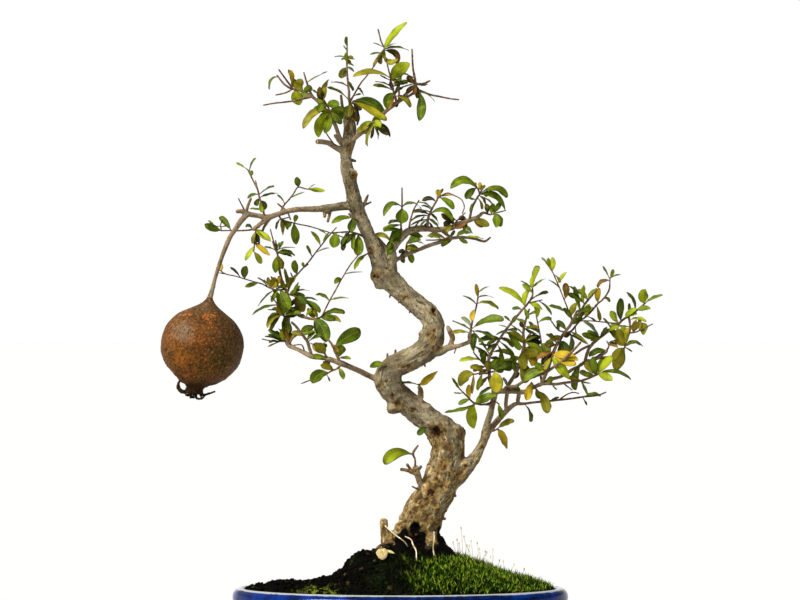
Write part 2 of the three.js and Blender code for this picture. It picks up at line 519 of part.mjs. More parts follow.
      [[293, 89, -3, 1], [286, 93, -7, 0.8], [276, 95.5, -9, 0.7]],
    ],
    leaves: [
      [278, 77, 269, 75, 270, 90, 3, "g"], [293, 88, 293, 78, 288, 69, 4, "o", 10],
      [297, 90, 298, 84, 302, 79, 8, "o", 6], [295, 90, 296, 97, 300, 105, 11, "b", 5],
      [303, 92, 307.5, 90, 312, 87, 6, "g", 6],
    ],
  },
  spray_crown_spur: {
    twigs: [
      [[330, 116, -5, 1.8], [330, 113, -11, 1.2], [328, 107, -14, 0.9], [323, 101, -16, 0.8]],
    ],
    leaves: [
      [327, 105, 333, 104, 340, 106, 8, "d"], [325, 103, 321, 107, 319, 113, 7, "g", -7],
      [329, 110, 311, 105, 304, 130, 7.5, "o"], [329, 113, 314, 121, 319, 138, 9.5, "b", -3],
      [330, 113, 330, 124, 325, 134, 8, "g", -12], [330, 112, 338, 113, 341, 122, 11, "g", -4],
      [324, 102, 321, 91, 329, 80, 5, "o", 4], [323, 101, 319, 97, 321, 91, 7, "k", -6],
    ],
  },
  spray_crown_top: {
    twigs: [
      [[349, 93, 4.6, 1.3], [348, 84, 6, 1.1], [347, 70, 6, 1], [347, 55, 7, 0.9], [347, 37, 8, 0.7]],
    ],
    leaves: [
      [347, 45, 344, 42, 346, 36, 3, "g"], [347, 62, 345, 57, 347, 52, 4, "b", -7],
      [347, 67, 351, 67, 354, 72, 2.5, "d"], [347, 67, 343, 70, 340, 77, 7, "o"],
      [348, 80, 351, 83, 351, 88, 2.5, "d"],
    ],
  },
  spray_crown_arch: {
    twigs: [
      [[350, 101, 3.5, 1.4], [353, 96, 8, 0.9], [361, 82, 12, 0.8], [366, 76, 14, 0.7], [376, 62, 17, 0.7],
        [384, 48, 20, 0.7], [381, 40, 21, 0.8], [378, 28, 22, 0.8]],
    ],
    leaves: [
      [383, 49, 389, 34, 407, 22, 6.5, "b"], [384, 48, 386, 43, 388, 39, 3, "y"],
      [384, 48, 396, 43, 409, 50, 3, "g"], [384, 48, 379, 64, 394, 62, 4, "o", -6],
      [384, 49, 403, 45, 396, 63, 4, "r", 6], [382, 52, 376, 59, 373, 67, 3.5, "o"],
    ],
  },
  spray_crown_mid: {
    twigs: [
      [[350, 108, 3, 1.5], [351, 104, -3, 1.1], [354, 101, -6, 0.9]],
    ],
    leaves: [
      [353, 101, 366, 107, 387, 121, 7, "y", -6], [354, 101, 374, 96, 384, 118, 12, "d", 6],
      [351, 104, 347, 110, 349, 118, 9, "o", -6], [352, 103, 354, 112, 353, 122, 5, "y", -4],
      [353, 102, 359, 113, 357, 126, 4, "k"],
    ],
  },
  spray_crown_right: {
    twigs: [
      [[397, 103, 3, 1.6], [394, 93, -3, 1.1], [391, 82, -7, 1], [390, 76, -9, 0.9], [388, 68, -11, 0.8],
        [386, 59, -14, 0.7]],
    ],
    leaves: [
      [390, 78, 372, 64, 353, 78, 5, "o"], [391, 81, 396, 68, 410, 64, 12, "b", 4],
      [392, 85, 397, 82, 402, 79, 3, "g", -6], [393, 91, 382, 84, 373, 86, 3, "o", -4],
      [394, 93, 384, 97, 388, 110, 9, "g", -7], [395, 96, 407, 95, 410, 108, 5, "o", -4],
    ],
  },
  spray_crown_right_tip: {
    twigs: [
      [[415, 85.5, 6.5, 1.5], [415, 79, 6, 1.3], [413, 68, 4, 1.1], [412, 49, 2, 0.8]],
      [[416, 84, 7, 1.3], [424, 83, 11, 1.1], [430, 80, 13, 0.9]],
    ],
    leaves: [
      [415, 81, 409, 82, 408, 75, 6, "r", -4], [414, 82, 404, 79.5, 397, 84, 3, "g", -6],
    ],
  },
  spray_crown_right_low: {
    twigs: [
      [[418, 90, 11, 1.5], [420, 92, 5, 0.9]],
    ],
    leaves: [
      [420, 92, 425, 107, 419, 121, 8.5, "d", -5],
    ],
  },
  spray_crown_lower: {
    twigs: [
      [[371, 125, -3, 1.8], [374, 122, -10, 1], [374, 126, -13, 0.8]],
    ],
    leaves: [
      [374, 121, 379, 121, 377, 130, 9, "b", -5], [374, 124, 387, 126, 390, 138, 6, "r", -3],
      [374, 126, 379, 132, 378, 140, 2.5, "g"], [374, 126, 366, 134, 368, 147, 3.8, "o", -4],
    ],
  },
  spray_mid_right: {
    twigs: [
      [[469.5, 335, -27.5, 1.5], [471, 325, -29, 1.1], [473, 317, -30, 1], [475, 310, -31, 0.9],
        [477, 300, -32, 0.8], [478, 290, -33, 0.6]],
    ],
    leaves: [
      [478, 297, 476, 291, 475, 284, 4, "y"], [477, 304, 487, 299, 498, 309, 3.5, "b"],
      [475, 309, 470, 313, 472, 321, 5, "y"], [471, 327, 468, 320, 461, 317, 4, "p", 8],
      [471, 329, 487, 313, 503, 320, 6.5, "g"], [470, 331, 483, 330, 493, 339, 2.5, "d", -7],
      [470, 333, 460, 329, 451, 333, 3, "o", -6],
    ],
  },
  spray_right_tall: {
    twigs: [
      [[490, 380, -10.5, 1.9], [489, 371, -12, 1.7], [489, 357, -15, 1.6], [496, 344, -19, 1.4],
        [505, 330, -25, 1.3], [513, 320, -31, 1.2], [521, 310, -37, 1.2], [527, 303, -41, 1.1],
        [531, 296, -44, 1], [531, 288, -46, 0.8]],
      [[489, 371, -12, 1.1], [484, 364, -17, 1], [478, 358, -20, 0.9], [473, 352, -23, 0.7]],
      [[489, 373, -12, 1.2], [484, 373, -20, 1], [478, 373, -28, 0.9], [472, 374, -34, 0.7]],
      [[489, 372, -12, 1], [494, 371, -20, 0.9]],
      [[528, 301, -42, 0.8], [536, 295, -44, 0.6]],
      [[527, 303, -41, 0.8], [541, 300, -38, 0.6]],
    ],
    leaves: [
      [531, 289, 530, 283, 531, 276, 4, "b"], [531, 287, 534, 275, 537, 266, 4.5, "b"],
      [530, 293, 526, 288, 521, 284, 4.5, "b"], [524, 306, 515, 290, 498, 288, 5.5, "b"],
      [524, 306, 520, 298, 528, 290, 5, "b"], [534, 299, 540, 294, 547, 292, 2.5, "d"],
      [528, 303, 535, 304, 541, 310, 4.5, "b"], [532, 302, 538, 307, 536, 317, 5.5, "b"],
      [538, 301, 545, 305, 550, 315, 2.5, "g", -4], [521, 310, 516, 306, 511, 309, 3, "d"],
      [524, 308, 526, 314, 527, 319, 4, "g"], [518, 315, 514, 317, 511, 323, 4, "d"],
      [515, 319, 519, 320, 524, 322, 3, "g"], [503, 332, 514, 332, 524, 343, 5, "o"],
      [506, 331, 513, 341, 519, 350, 5.5, "g"], [502, 337, 508, 342, 513, 347, 3, "g", 6],
      [497, 343, 504, 354, 498, 366, 4.5, "g"], [499, 341, 509, 349, 514, 361, 3, "g", 8],
      [500, 338, 489, 335, 478, 342, 5.5, "d"], [474, 353, 472, 343, 474, 333, 6.5, "g"],
      [480, 360, 470, 356, 459, 361, 3.5, "b"], [486, 367, 480, 360, 484, 352, 5, "d", -6],
      [484, 373, 478, 364, 470, 368, 6, "o"], [474, 373, 461, 369, 460, 386, 10, "o"],
      [473, 374, 474, 384, 472, 393, 4, "r"], [482, 373, 480, 382, 477, 390, 4.5, "g"],
      [494, 371, 498, 381, 494, 392, 13, "y", -4], [494, 371, 503, 362, 514, 366, 10, "d"],
    ],
  },
  spray_right_front_low: {
    twigs: [
      [[492, 404, -7, 1.8], [484, 404, -17, 1.1], [480, 404, -21, 1], [473, 402, -28, 1],
        [467, 396, -34, 0.9], [462, 391, -38, 0.8], [457, 386, -41, 0.6]],
      [[486, 404, -15, 1], [494, 401, -15, 0.8], [499, 404, -14, 0.7]],
    ],
    leaves: [
      [461, 389, 455, 385, 451, 377, 3, "g"], [470, 399, 465, 392, 469, 384, 5, "y"],
      [475, 402, 480, 392, 491, 387, 2.5, "d", 8], [475, 402, 485, 394, 496, 395, 7.5, "g", -8],
      [476, 403, 482, 400, 488, 400, 3.5, "d", -9], [470, 399, 464, 399, 458, 404, 4.5, "g"],
      [476, 403, 462, 413, 444, 412, 4, "g"], [474, 402, 467, 416, 474, 428, 10, "b"],
      [498, 404, 500, 411, 502, 419, 5, "g", -5],
    ],
  },
  spray_right_fork: {
    twigs: [
      [[489, 431, 3, 1.8], [495, 430, -5, 1], [498, 428, -8, 0.8]],
    ],
    leaves: [
      [497, 429, 505, 420, 514, 421, 5.5, "o"], [497, 429, 504, 436, 507, 449, 7, "y"],
    ],
  },
  spray_right_red: {
    twigs: [
      [[508, 391, -6, 2.4], [508, 386, -3, 2.1], [515, 374, -3, 1.9], [520, 362, -5, 1.8],
        [523, 350, -7, 1.7], [524, 343, -8, 1.6], [523, 335, -9, 1.5], [524, 326, -10, 1.3],
        [526, 318, -11, 1.1], [529, 309, -12, 0.9]],
    ],
    leaves: [
      [525, 326, 532, 328, 538, 331, 3, "g"], [525, 328, 531, 334, 537, 334, 3, "d"],
      [525, 342, 531, 338, 537, 336, 2.5, "d"], [525, 342, 538, 344, 541, 358, 8.5, "b", -8],
      [524, 346, 538, 355, 531, 366, 10, "y", -8], [523, 350, 521, 360, 524, 369, 9, "o", -10],
      [519, 365, 530, 370, 524, 383, 10, "o", -8], [527, 316, 533, 312, 538, 312, 2.5, "g"],
      [521, 359, 511, 362, 503, 360, 3, "g", 6],
    ],
  },
  spray_right_back: {
    twigs: [
      [[542, 383.5, -4, 1.8], [541, 375, 6, 1], [543, 355, 20, 0.9], [542, 342, 26, 0.8],
        [539, 325, 29, 0.8], [537, 315, 30, 0.6]],
    ],
    leaves: [
      [543, 344, 550, 346, 546, 355, 9, "d"], [539, 323, 546, 318, 553, 319, 3, "g"],
      [541, 334, 534, 328, 529, 322, 4, "g"],
    ],
  },
  spray_right_front: {
    twigs: [
      [[534, 387, -4, 1.8], [534, 387, -10, 1.1], [531, 382, -14, 0.8]],
      [[534, 387, -9, 1], [537, 390, -12, 0.8]],
    ],
    leaves: [
      [531, 382, 528, 391, 526, 400, 7.5, "y", -5], [537, 390, 547, 397, 547, 413, 9, "o", -5],
      [535, 389, 537, 394, 541, 398, 6, "d", 5],
    ],
  },
  spray_right_pale: {
    twigs: [
      [[546, 371.5, -24, 1.8], [544, 371, -31, 0.9]],
    ],
    leaves: [
      [544, 371, 533, 368, 522, 381, 7.5, "g", 6],
    ],
  },
  spray_right_level: {
    twigs: [
      [[546, 383, -5, 1.8], [555, 384, -8, 1.5], [565, 382.5, -11, 1.3], [578, 381, -13, 1.2],
        [588, 378, -15, 1.1], [597, 374, -18, 0.9]],
      [[563, 383, -10, 0.8], [568, 387, -9, 0.7], [572, 390, -8, 0.6]],
    ],
    leaves: [
      [598, 373, 603, 363, 612, 356, 7, "b"], [595, 374, 591, 364, 584, 362, 2.5, "b"],
      [596, 374, 591, 365, 592, 356, 7, "g", -8], [594, 375, 587, 374, 580, 373, 5, "g", -8],
      [598, 373, 604, 374, 611, 380, 7.5, "b"], [597, 373, 616, 364, 631, 380, 3.8, "d"],
      [550, 384, 549, 380, 549, 376, 7, "b", -8], [580, 381, 584, 389, 588, 396, 3, "g"],
    ],
  },
  spray_right_long: {
    twigs: [
      [[517, 404, 12.5, 2], [525, 404, 14, 1.4], [532, 403, 16, 1.2], [545, 402, 20, 1.2],
        [560, 400.5, 26, 1.1], [575, 399, 31, 1], [585, 397.5, 34, 1], [600, 396, 38, 0.9],
        [608, 393, 40, 0.7]],
      [[560, 400.5, 26, 0.8], [568, 395, 26, 0.7], [574, 393, 27, 0.6], [580, 394, 28, 0.6]],
    ],
    leaves: [
      [525, 404, 533, 413, 530, 422, 3, "d"], [586, 397, 593, 392, 602, 397, 3.5, "d", -8],
    ],
  },
  spray_right_outer: {
    twigs: [
      [[593, 344, 16, 1.7], [603, 336, 18, 1.4], [610, 331, 20, 1.3], [618, 326, 22, 1.3],
        [624, 320, 24, 1.2], [632, 315, 26, 1.1], [640, 309, 28, 1], [647, 303, 30, 0.8]],
      [[620, 324, 22, 0.8], [612, 323, 20, 0.7], [592, 321, 24, 0.6], [581, 321, 25, 0.6]],
    ],
    leaves: [
      [646, 304, 642, 297, 646, 289, 9.5, "b"], [647, 303, 655, 297, 665, 295, 3, "g"],
      [638, 311, 645, 306, 652, 309, 5, "g"], [636, 311, 639, 300, 628, 292, 3.5, "d"],
      [622, 322, 619, 310, 621, 298, 8, "d"], [620, 323, 613, 318, 614, 311, 6.5, "b"],
      [626, 318, 629, 311, 638, 309, 5, "b"], [604, 335, 611, 328, 620, 327, 3, "b", -8],
      [600, 338, 592, 338, 582, 334, 6, "g"], [600, 338, 595, 326, 583, 321, 3.5, "p", -9],
    ],
  },
  spray_right_hanging: {
    on: "spray_right_outer",
    twigs: [
      [[630, 316, 25.5, 1.4], [631, 326, 19, 1.1], [630, 333, 15, 1.1], [627, 341, 12, 1],
        [625, 348, 9, 0.8]],
      [[630, 333, 15, 0.9], [637, 332, 12, 0.8], [643, 329, 10, 0.7], [653, 324, 8, 0.6]],
    ],
    leaves: [
      [626, 345, 627, 335, 622, 326, 8, "b", -6], [625, 344, 618, 335, 611, 330, 7, "b"],
      [633, 332, 634, 327, 639, 322, 6, "o"], [640, 330, 647, 319, 644, 335, 8.5, "b"],
      [630, 320, 638, 316, 647, 322, 3, "b", -8], [626, 346, 635, 337, 644, 347, 3.5, "d"],
      [625, 346, 619, 344, 614, 340, 4, "o", -7], [625, 348, 619, 357, 617, 371, 11.5, "o"],
      [625, 348, 617, 350, 613, 359, 5, "b", 8],
    ],
  },
  spray_right_dead: {
    twigs: [
      [[584, 363, 13, 1.7], [587, 361, 8, 1.9], [592, 361, 7, 2], [600, 356, 6, 2], [607, 351, 5, 1.8]],
      [[587, 361, 7, 1], [580, 364, 2, 0.8]],
      [[606, 352, 5, 1.1], [609, 346, 4, 0.8], [607, 341, 3, 0.7]],
    ],
    leaves: [
      [581, 363, 571, 376, 576, 390, 7.5, "g"], [606, 350, 598, 347, 589, 357, 6, "d", -8],
      [609, 345, 612, 341, 618, 348, 4.5, "r", -6],
    ],
  },
  spray_right_high: {
    twigs: [
      [[556, 345, -12, 1.8], [563, 334, -11, 1.6], [570, 325, -10, 1.5], [573, 319, -10, 1.4],
        [580, 312, -8, 1.3], [584, 305, -6, 1.2], [588, 300, -4, 1.1], [593, 294, -3, 1],
        [597, 290, -2, 0.8]],
      [[563, 334, -11, 1.2], [571, 331, -5, 1.1], [578, 323, 1, 1], [587, 316, 7, 1], [593, 310, 11, 1],
        [598, 304, 15, 1], [604, 299, 18, 0.9], [610, 290, 20, 0.9], [611, 278, 20, 0.6]],
      [[572, 321, -10, 1], [569, 313, -11, 0.8], [563, 298, -13, 0.7], [559, 288, -14, 0.7],
        [556, 281, -15, 0.7], [551, 270, -16, 0.6]],
      [[563, 334, -11, 1.2], [558, 341, -17, 1.2], [554, 350, -21, 1], [550, 358, -24, 0.8]],
      [[565, 332, -11, 0.9], [558, 330, -14, 0.8], [550, 320, -16, 0.7]],
    ],
    leaves: [
      [610, 280, 601, 278, 599, 288, 4.5, "r"], [598, 303, 596, 296, 600, 288, 5.5, "y", -8],
      [611, 278, 614, 274, 614, 269, 3.5, "g"], [604, 299, 608, 296, 611, 302, 3, "g"],
      [597, 305, 599, 313, 600, 321, 3.5, "o"], [596, 306, 592, 311, 586, 313, 4, "o", 8],
      [585, 304, 577, 296, 566, 294, 4.5, "g"], [580, 312, 575, 298, 574, 286, 5, "b", 6],
      [584, 305, 579, 294, 583, 285, 4.5, "b", -8], [588, 300, 590, 294, 597, 288, 4.5, "g"],
      [585, 317, 586, 311, 590, 304, 5.5, "b", 6], [577, 322, 580, 313, 586, 308, 5, "g", -7],
      [570, 317, 562, 306, 548, 306, 2.5, "g"], [570, 316, 570, 309, 576, 303, 6, "o", -7],
      [559, 331, 557, 327, 557, 322, 3, "d", -7], [570, 331, 578, 336, 588, 345, 3.5, "o", -6],
      [560, 340, 567, 345, 564, 354, 9, "d", -5], [569, 332, 579, 343, 567, 355, 4, "d", 7],
      [556, 347, 548, 337, 545, 345, 3, "d", 6], [552, 355, 562, 350, 577, 360, 8.5, "y", -8],
      [553, 352, 541, 352, 536, 359, 5, "r", -5], [551, 356, 560, 368, 568, 378, 9, "b", -5],
      [551, 270, 546, 264, 547.5, 258, 4, "b"], [551, 271, 553, 264, 552, 257, 5.5, "b", 8],
      [557, 283, 561, 276, 566, 272.5, 3.5, "b"], [564, 300, 569, 291, 564, 283, 6, "r", -6],
    ],
  },
};

// ---- Small geometry helpers --------------------------------------------------------------------
// A closed mesh as a solid that can be joined and cut.
function solidFrom(positions, triangles) {
  const mesh = new wasm.Mesh({
    numProp: 3,
    vertProperties: new Float32Array(positions),
    triVerts: new Uint32Array(triangles),
    tolerance: JOIN_TOLERANCE,
  });
  return new wasm.Manifold(mesh);
}

// A closed three.js geometry as a solid.
function solidOf(geometry) {
  const bare = geometry.clone();
  bare.deleteAttribute("normal");
  bare.deleteAttribute("uv");
  const merged = mergeVertices(bare, 1e-4);
  return solidFrom(merged.attributes.position.array, merged.index.array);
}

const joined = (solids) => solids.reduce((all, next) => all.add(next));

// The largest body of a solid: cutting a seat can leave a loose scrap behind it.
function largest(solid) {
  const bodies = solid.decompose();
  return bodies.reduce((big, next) => (next.volume() > big.volume() ? next : big));
}

// Closed skin over a stack of rings with equal numbers of points. A last ring of one point is a tip.
function skinOver(rings) {
  const around = rings[0].length;
  const triangles = [];
  rings.slice(1).forEach((ring, i) => {
    for (let j = 0; j < around; j++) {
      const k = (j + 1) % around;
      const [a, b] = [i * around + j, i * around + k];
      const next = (i + 1) * around;
      if (ring.length === 1) triangles.push(a, b, next);
      else triangles.push(a, b, next + k, a, next + k, next + j);
    }
  });
  const last = (rings.length - 1) * around;
  for (let j = 1; j + 1 < around; j++) {
    triangles.push(0, j + 1, j);
    if (rings.at(-1).length > 1) triangles.push(last, last + j, last + j + 1);
  }
  return solidFrom(rings.flat().flatMap((p) => [p.x, p.y, p.z]), triangles);
}

// ---- Wood ---------------------------------------------------------------------------------------
const sidesFor = (radius) => [[10, 12], [6, 7], [3.4, 5], [0, 4]].find(([r]) => radius >= r)[1];

// Ridges and hollows of old bark, as a share of the radius, at an angle and a distance along.
const barkRelief = (angle, along) =>
  0.05 * Math.sin(3 * angle + along * 0.045) +
  0.035 * Math.sin(5 * angle - along * 0.11 + 1) +
  0.03 * Math.sin(2 * angle + along * 0.21 + 2);

// A route without the points that lie, and taper, along the line between their neighbours.
function thinned(points) {
  const [first, last] = [points[0], points.at(-1)];
  const line = new THREE.Line3(new THREE.Vector3(...first), new THREE.Vector3(...last));
  let worst = 0;
  let split = 0;
  points.slice(1, -1).forEach((point, i) => {
    const place = new THREE.Vector3(...point);
    const f = line.closestPointToPointParameter(place, true);
    const away = place.distanceTo(line.at(f, new THREE.Vector3()));
    const taper = Math.abs(point[3] - (first[3] + f * (last[3] - first[3])));
    if (away + taper > worst) [worst, split] = [away + taper, i + 1];
  });
  const slack = ROUTE_SLACK * (1 + first[3] / 8);
  if (worst <= slack) return [first, last];
  return [...thinned(points.slice(0, split + 1)).slice(0, -1), ...thinned(points.slice(split))];
}

// A tapering round limb through points [right, down, y, radius], fatter all round by grow.
function limb(points, { grow = 0, relief = false } = {}) {
  const spine = points.map(([right, down, y]) => at(right, down, y));
  const sides = sidesFor(Math.max(...points.map((p) => p[3])));
  const side = new THREE.Vector3();
  let along = 0;
  const rings = spine.map((centre, i) => {
    const before = spine[Math.max(i - 1, 0)];
    const after = spine[Math.min(i + 1, spine.length - 1)];
    const heading = after.clone().sub(before).normalize();
    along += centre.distanceTo(before);
    if (i === 0) side.crossVectors(heading, Math.abs(heading.y) > 0.9 ? ACROSS : EYE_SIDE);
    side.addScaledVector(heading, -side.dot(heading)).normalize();
    const other = new THREE.Vector3().crossVectors(heading, side);
    const endGrowth = i === 0 ? -grow : i === spine.length - 1 ? grow : 0;
    const facetGrowth = grow / Math.cos(Math.PI / sides); // keeps the flats that far off, not the corners
    return Array.from({ length: sides }, (_, j) => {
      const angle = (2 * Math.PI * j) / sides;
      const radius = points[i][3] * (1 + (relief ? barkRelief(angle, along) : 0)) + facetGrowth;
      return centre
        .clone()
        .addScaledVector(heading, endGrowth)
        .addScaledVector(side, radius * Math.cos(angle))
        .addScaledVector(other, radius * Math.sin(angle));
    });
  });
  return skinOver(rings);
}

// A rounded lump, wider or taller than it is deep.
function lump([right, down, y, across, upright], grow = 0) {
  const ball = new THREE.IcosahedronGeometry(1, across > 8 ? 1 : 0);
  ball.scale(across + 1.3 * grow, across + 1.3 * grow, upright + 1.3 * grow);
  ball.translate(...at(right, down, y));
  return solidOf(ball);
}

function wood(grow = 0) {
  const limbs = LIMBS.map((route) => limb(thinned(route), { grow }));
  const bole = limb(thinned(TRUNK), { grow, relief: true });
  const solid = joined([bole, ...limbs, ...BURRS.map((burr) => lump(burr, grow))]);
  return HOLLOWS.reduce((rest, hollow) => rest.subtract(lump(hollow, -grow)), solid);
}

// ---- Leaves -------------------------------------------------------------------------------------
// The point on a spray's twigs nearest to a leaf's base, as seen on the elevation.
function seatOn(twigs, right, down) {
  let best = null;
  for (const twig of twigs) {
    for (let i = 0; i + 1 < twig.length; i++) {
      const [a, b] = [twig[i], twig[i + 1]];
      const span = [b[0] - a[0], b[1] - a[1]];
      const square = span[0] ** 2 + span[1] ** 2;
      const t = square ? ((right - a[0]) * span[0] + (down - a[1]) * span[1]) / square : 0;
      const f = Math.min(Math.max(t, 0), 1);
      const spot = at(a[0] + f * span[0], a[1] + f * span[1], a[2] + f * (b[2] - a[2]));
      const away = spot.distanceTo(at(right, down, spot.y));
      if (!best || away < best.away) best = { spot, away };
    }
  }
  return best.spot;
}

// Where a leaf's midrib runs, how wide the blade is and how far it is turned about the midrib.
function leafCourse(twigs, row, index) {
  const [baseRight, baseDown, midRight, midDown, tipRight, tipDown, shown, , leanGiven] = row;
  const seat = seatOn(twigs, baseRight, baseDown);
  const given = at(baseRight, baseDown, seat.y);
  const stalked = seat.distanceTo(given) > SHORTEST_STALK;
  const base = stalked ? given : seat;
  const length =
    Math.hypot(midRight - baseRight, midDown - baseDown) + Math.hypot(tipRight - midRight, tipDown - midDown);
  const width = Math.max(shown, Math.min(LEAF_PROPORTION * length, LEAF_WIDEST));
  const trueLength = Math.max(length, shown / LEAF_PROPORTION);
  const reach = Math.min(Math.sqrt(trueLength ** 2 - length ** 2) + 0.3 * length, LEAF_LEAN_MOST);
  const lean = leanGiven ?? (index % 2 ? reach : -reach);
  const tip = at(tipRight, tipDown, seat.y + lean);
  const chord = base.clone().add(tip).multiplyScalar(0.5);
  const pull = at(midRight, midDown, seat.y + 0.6 * lean).lerp(chord, MIDRIB_EASE);
  const curve = new THREE.QuadraticBezierCurve3(base, pull, tip);
  return { seat, stalked, curve, width, length, turn: Math.acos(Math.min(shown / width, 1)) };
}

// A blade's cross-section at a share of its curve: flat above, with the midrib as a keel beneath.
function bladeSection({ curve, turn }, share, width, grow, centre = curve.getPoint(share), size = 1) {
  const heading = curve.getTangent(share);
  const across = new THREE.Vector3().crossVectors(heading, EYE_SIDE);
  if (across.length() < 0.1) across.set(1, 0, 0);
  across.normalize();
  const back = new THREE.Vector3().crossVectors(across, heading);
  const upward = across.z < 0 ? -1 : 1;
  const face = across.multiplyScalar(upward * Math.sin(turn)).addScaledVector(back, -Math.cos(turn));
  const side = new THREE.Vector3().crossVectors(heading, face);
  const edge = (size * width) / 2 + 1.7 * grow;
  const keel = (size * KEEL_DEPTH) / 2 + grow;
  return [[edge, keel], [0, -keel], [-edge, keel]].map(([a, b]) =>
    centre.clone().addScaledVector(side, a).addScaledVector(face, b),
  );
}

// Stations along a blade, as [share of the length, share of the width].
const SMALL_BLADE = [[0.55, 1]];
const BLADE = [[0.32, 0.8], [0.7, 0.92]];
const LARGE_BLADE = [[0.2, 0.6], [0.5, 1], [0.82, 0.72]];

function leaf(course, grow) {
  const { seat, stalked, curve, width, length } = course;
  const stations = length < 15 || width < 3 ? SMALL_BLADE : length < 28 ? BLADE : LARGE_BLADE;
  const rings = [bladeSection(course, 0, STALK_WIDTH, grow, seat, ROOT_SHARE)];
  if (stalked) rings.push(bladeSection(course, 0, STALK_WIDTH, grow));
  for (const [share, part] of stations) rings.push(bladeSection(course, share, width * part, grow));
  rings.push([curve.getPoint(1).addScaledVector(curve.getTangent(1), grow)]);
  return skinOver(rings);
}

function spray({ twigs, leaves }, grow = 0) {
  const stout = ([right, down, y, radius]) => [right, down, y, Math.max(radius, THINNEST_TWIG)];
  const routes = twigs.map((route) => thinned(route.map(stout)));
  return joined([
    ...routes.map((route) => limb(route, { grow })),
    ...leaves.map((row, index) => leaf(leafCourse(routes, row, index), grow)),
  ]);
}

// ---- Pot ----------------------------------------------------------------------------------------
// Half lengths and heights of the wall, from the middle of its underside round the lip to the
// middle of its floor.
const POT_OUTSIDE = [[139, 6], [148, 12], [157, 26], [164, 42], [167.6, 51], [167, 57.5], [163, 61.5],
  [159, POT_HEIGHT], [155.6, 60]];
const POT_INSIDE = [[153, 46], [147, 26], [138, 15]];
const POT_FEET = [[-95, -62], [95, -62], [95, 62], [-95, 62]];
const FOOT_RADIUS = 17;
const FOOT_DRAFT = 3; // a foot is this much smaller in radius at the ground
const FOOT_HEIGHT = 9; // its top 3 mm are inside the pot's floor
const FOOT_SIDES = 10;

const ovalRing = ([half, z]) =>
  Array.from({ length: POT_SECTORS }, (_, j) => {
    const angle = (2 * Math.PI * j) / POT_SECTORS;
    return new THREE.Vector3(
      POT_CENTRE_X + half * Math.cos(angle),
      (half - POT_ROUNDING) * Math.sin(angle),
      z,
    );
  });

function pot() {
  const shell = skinOver([...POT_OUTSIDE, ...POT_INSIDE].map((row) => ovalRing(row)));
  const feet = POT_FEET.map(([x, y]) => {
    const foot = new THREE.CylinderGeometry(FOOT_RADIUS, FOOT_RADIUS - FOOT_DRAFT, FOOT_HEIGHT, FOOT_SIDES);
    foot.rotateX(Math.PI / 2);
    foot.translate(POT_CENTRE_X + x, y, FOOT_HEIGHT / 2);
    return solidOf(foot);
  });
  const drains = [-DRAIN_SPACING, DRAIN_SPACING].map((x) => {
    const drain = new THREE.CylinderGeometry(DRAIN_RADIUS, DRAIN_RADIUS, POT_HEIGHT, DRAIN_SIDES);
    drain.rotateX(Math.PI / 2);
    drain.translate(POT_CENTRE_X + x, 0, 0);
    return solidOf(drain);
  });
  return drains.reduce((rest, drain) => rest.subtract(drain), joined([shell, ...feet]));
}

// ---- Soil and moss --------------------------------------------------------------------------------
// The mound's ridge from left to right, as [right, down] on the elevation.
const RIDGE = [[245, 588], [252, 585], [264, 584], [273, 580], [290, 581], [306, 581], [320, 578], [332, 576],
  [340, 569], [350, 560], [358, 551], [372, 550], [392, 549], [416, 551], [440, 554], [452, 555.5],
  [466, 558],
  [480, 563], [497, 570.5], [512, 575], [530, 579], [545, 584], [556, 589]];
const SOIL_RINGS = 4;
const MOSS_FROM = -1.72; // angles about the pot's centre, radians
const MOSS_TO = 1.25;
const MOSS_INNER = 0.24; // shares of the way to the pot's wall
const MOSS_OUTER = 0.975;
const MOSS_ROWS = 4;
const MOSS_STEPS = 16;
const MOSS_DEEP = 7;

function ridgeHeight(x) {
  const right = x - ELEVATION_LEFT;
  const i = RIDGE.findIndex(([r]) => r > right);
  if (i <= 0) return SOIL_EDGE_Z;
  const [a, b] = [RIDGE[i - 1], RIDGE[i]];
  const share = (right - a[0]) / (b[0] - a[0]);
  return ELEVATION_TOP - (a[1] + share * (b[1] - a[1]));
}

// The soil's smooth height at a place in the pot.
function groundHeight(x, y) {
  const halfLength = POT_OUTSIDE.at(-1)[0];
  const across = Math.min(Math.abs((x - POT_CENTRE_X) / halfLength), 0.999);
  const halfDepth = (halfLength - POT_ROUNDING) * Math.sqrt(1 - across ** 2);
  const fall = Math.max(1 - (y / halfDepth) ** 2, 0) ** 0.75;
  return SOIL_EDGE_Z + Math.max(ridgeHeight(x) - SOIL_EDGE_Z, 0) * fall;
}

const crumb = (x, y) => 1.3 * Math.sin(x * 0.61 + 1.3 * Math.sin(y * 0.37)) * Math.cos(y * 0.53 + x * 0.19);
const tuft = (x, y) => 1.5 * Math.sin(x * 0.47 + y * 0.23) + 1.2 * Math.cos(y * 0.61 - x * 0.13);

const potPlace = (share, angle) => {
  const half = POT_OUTSIDE.at(-1)[0] - SOIL_WALL_GAP;
  return [
    POT_CENTRE_X + share * half * Math.cos(angle),
    share * (half - POT_ROUNDING) * Math.sin(angle),
  ];
};

function soilBody() {
  const wall = POT_INSIDE.map(([half, z]) => [half - SOIL_WALL_GAP, z + SOIL_WALL_GAP]).reverse();
  const rings = wall.map((row) => ovalRing(row));
  for (let i = SOIL_RINGS; i > 0; i--) {
    const share = i / SOIL_RINGS;
    rings.push(
      Array.from({ length: POT_SECTORS }, (_, j) => {
        const [x, y] = potPlace(share, (2 * Math.PI * j) / POT_SECTORS);
        const relief = i === SOIL_RINGS ? 0 : crumb(x, y);
        return new THREE.Vector3(x, y, groundHeight(x, y) + relief);
      }),
    );
  }
  return skinOver(rings);
}

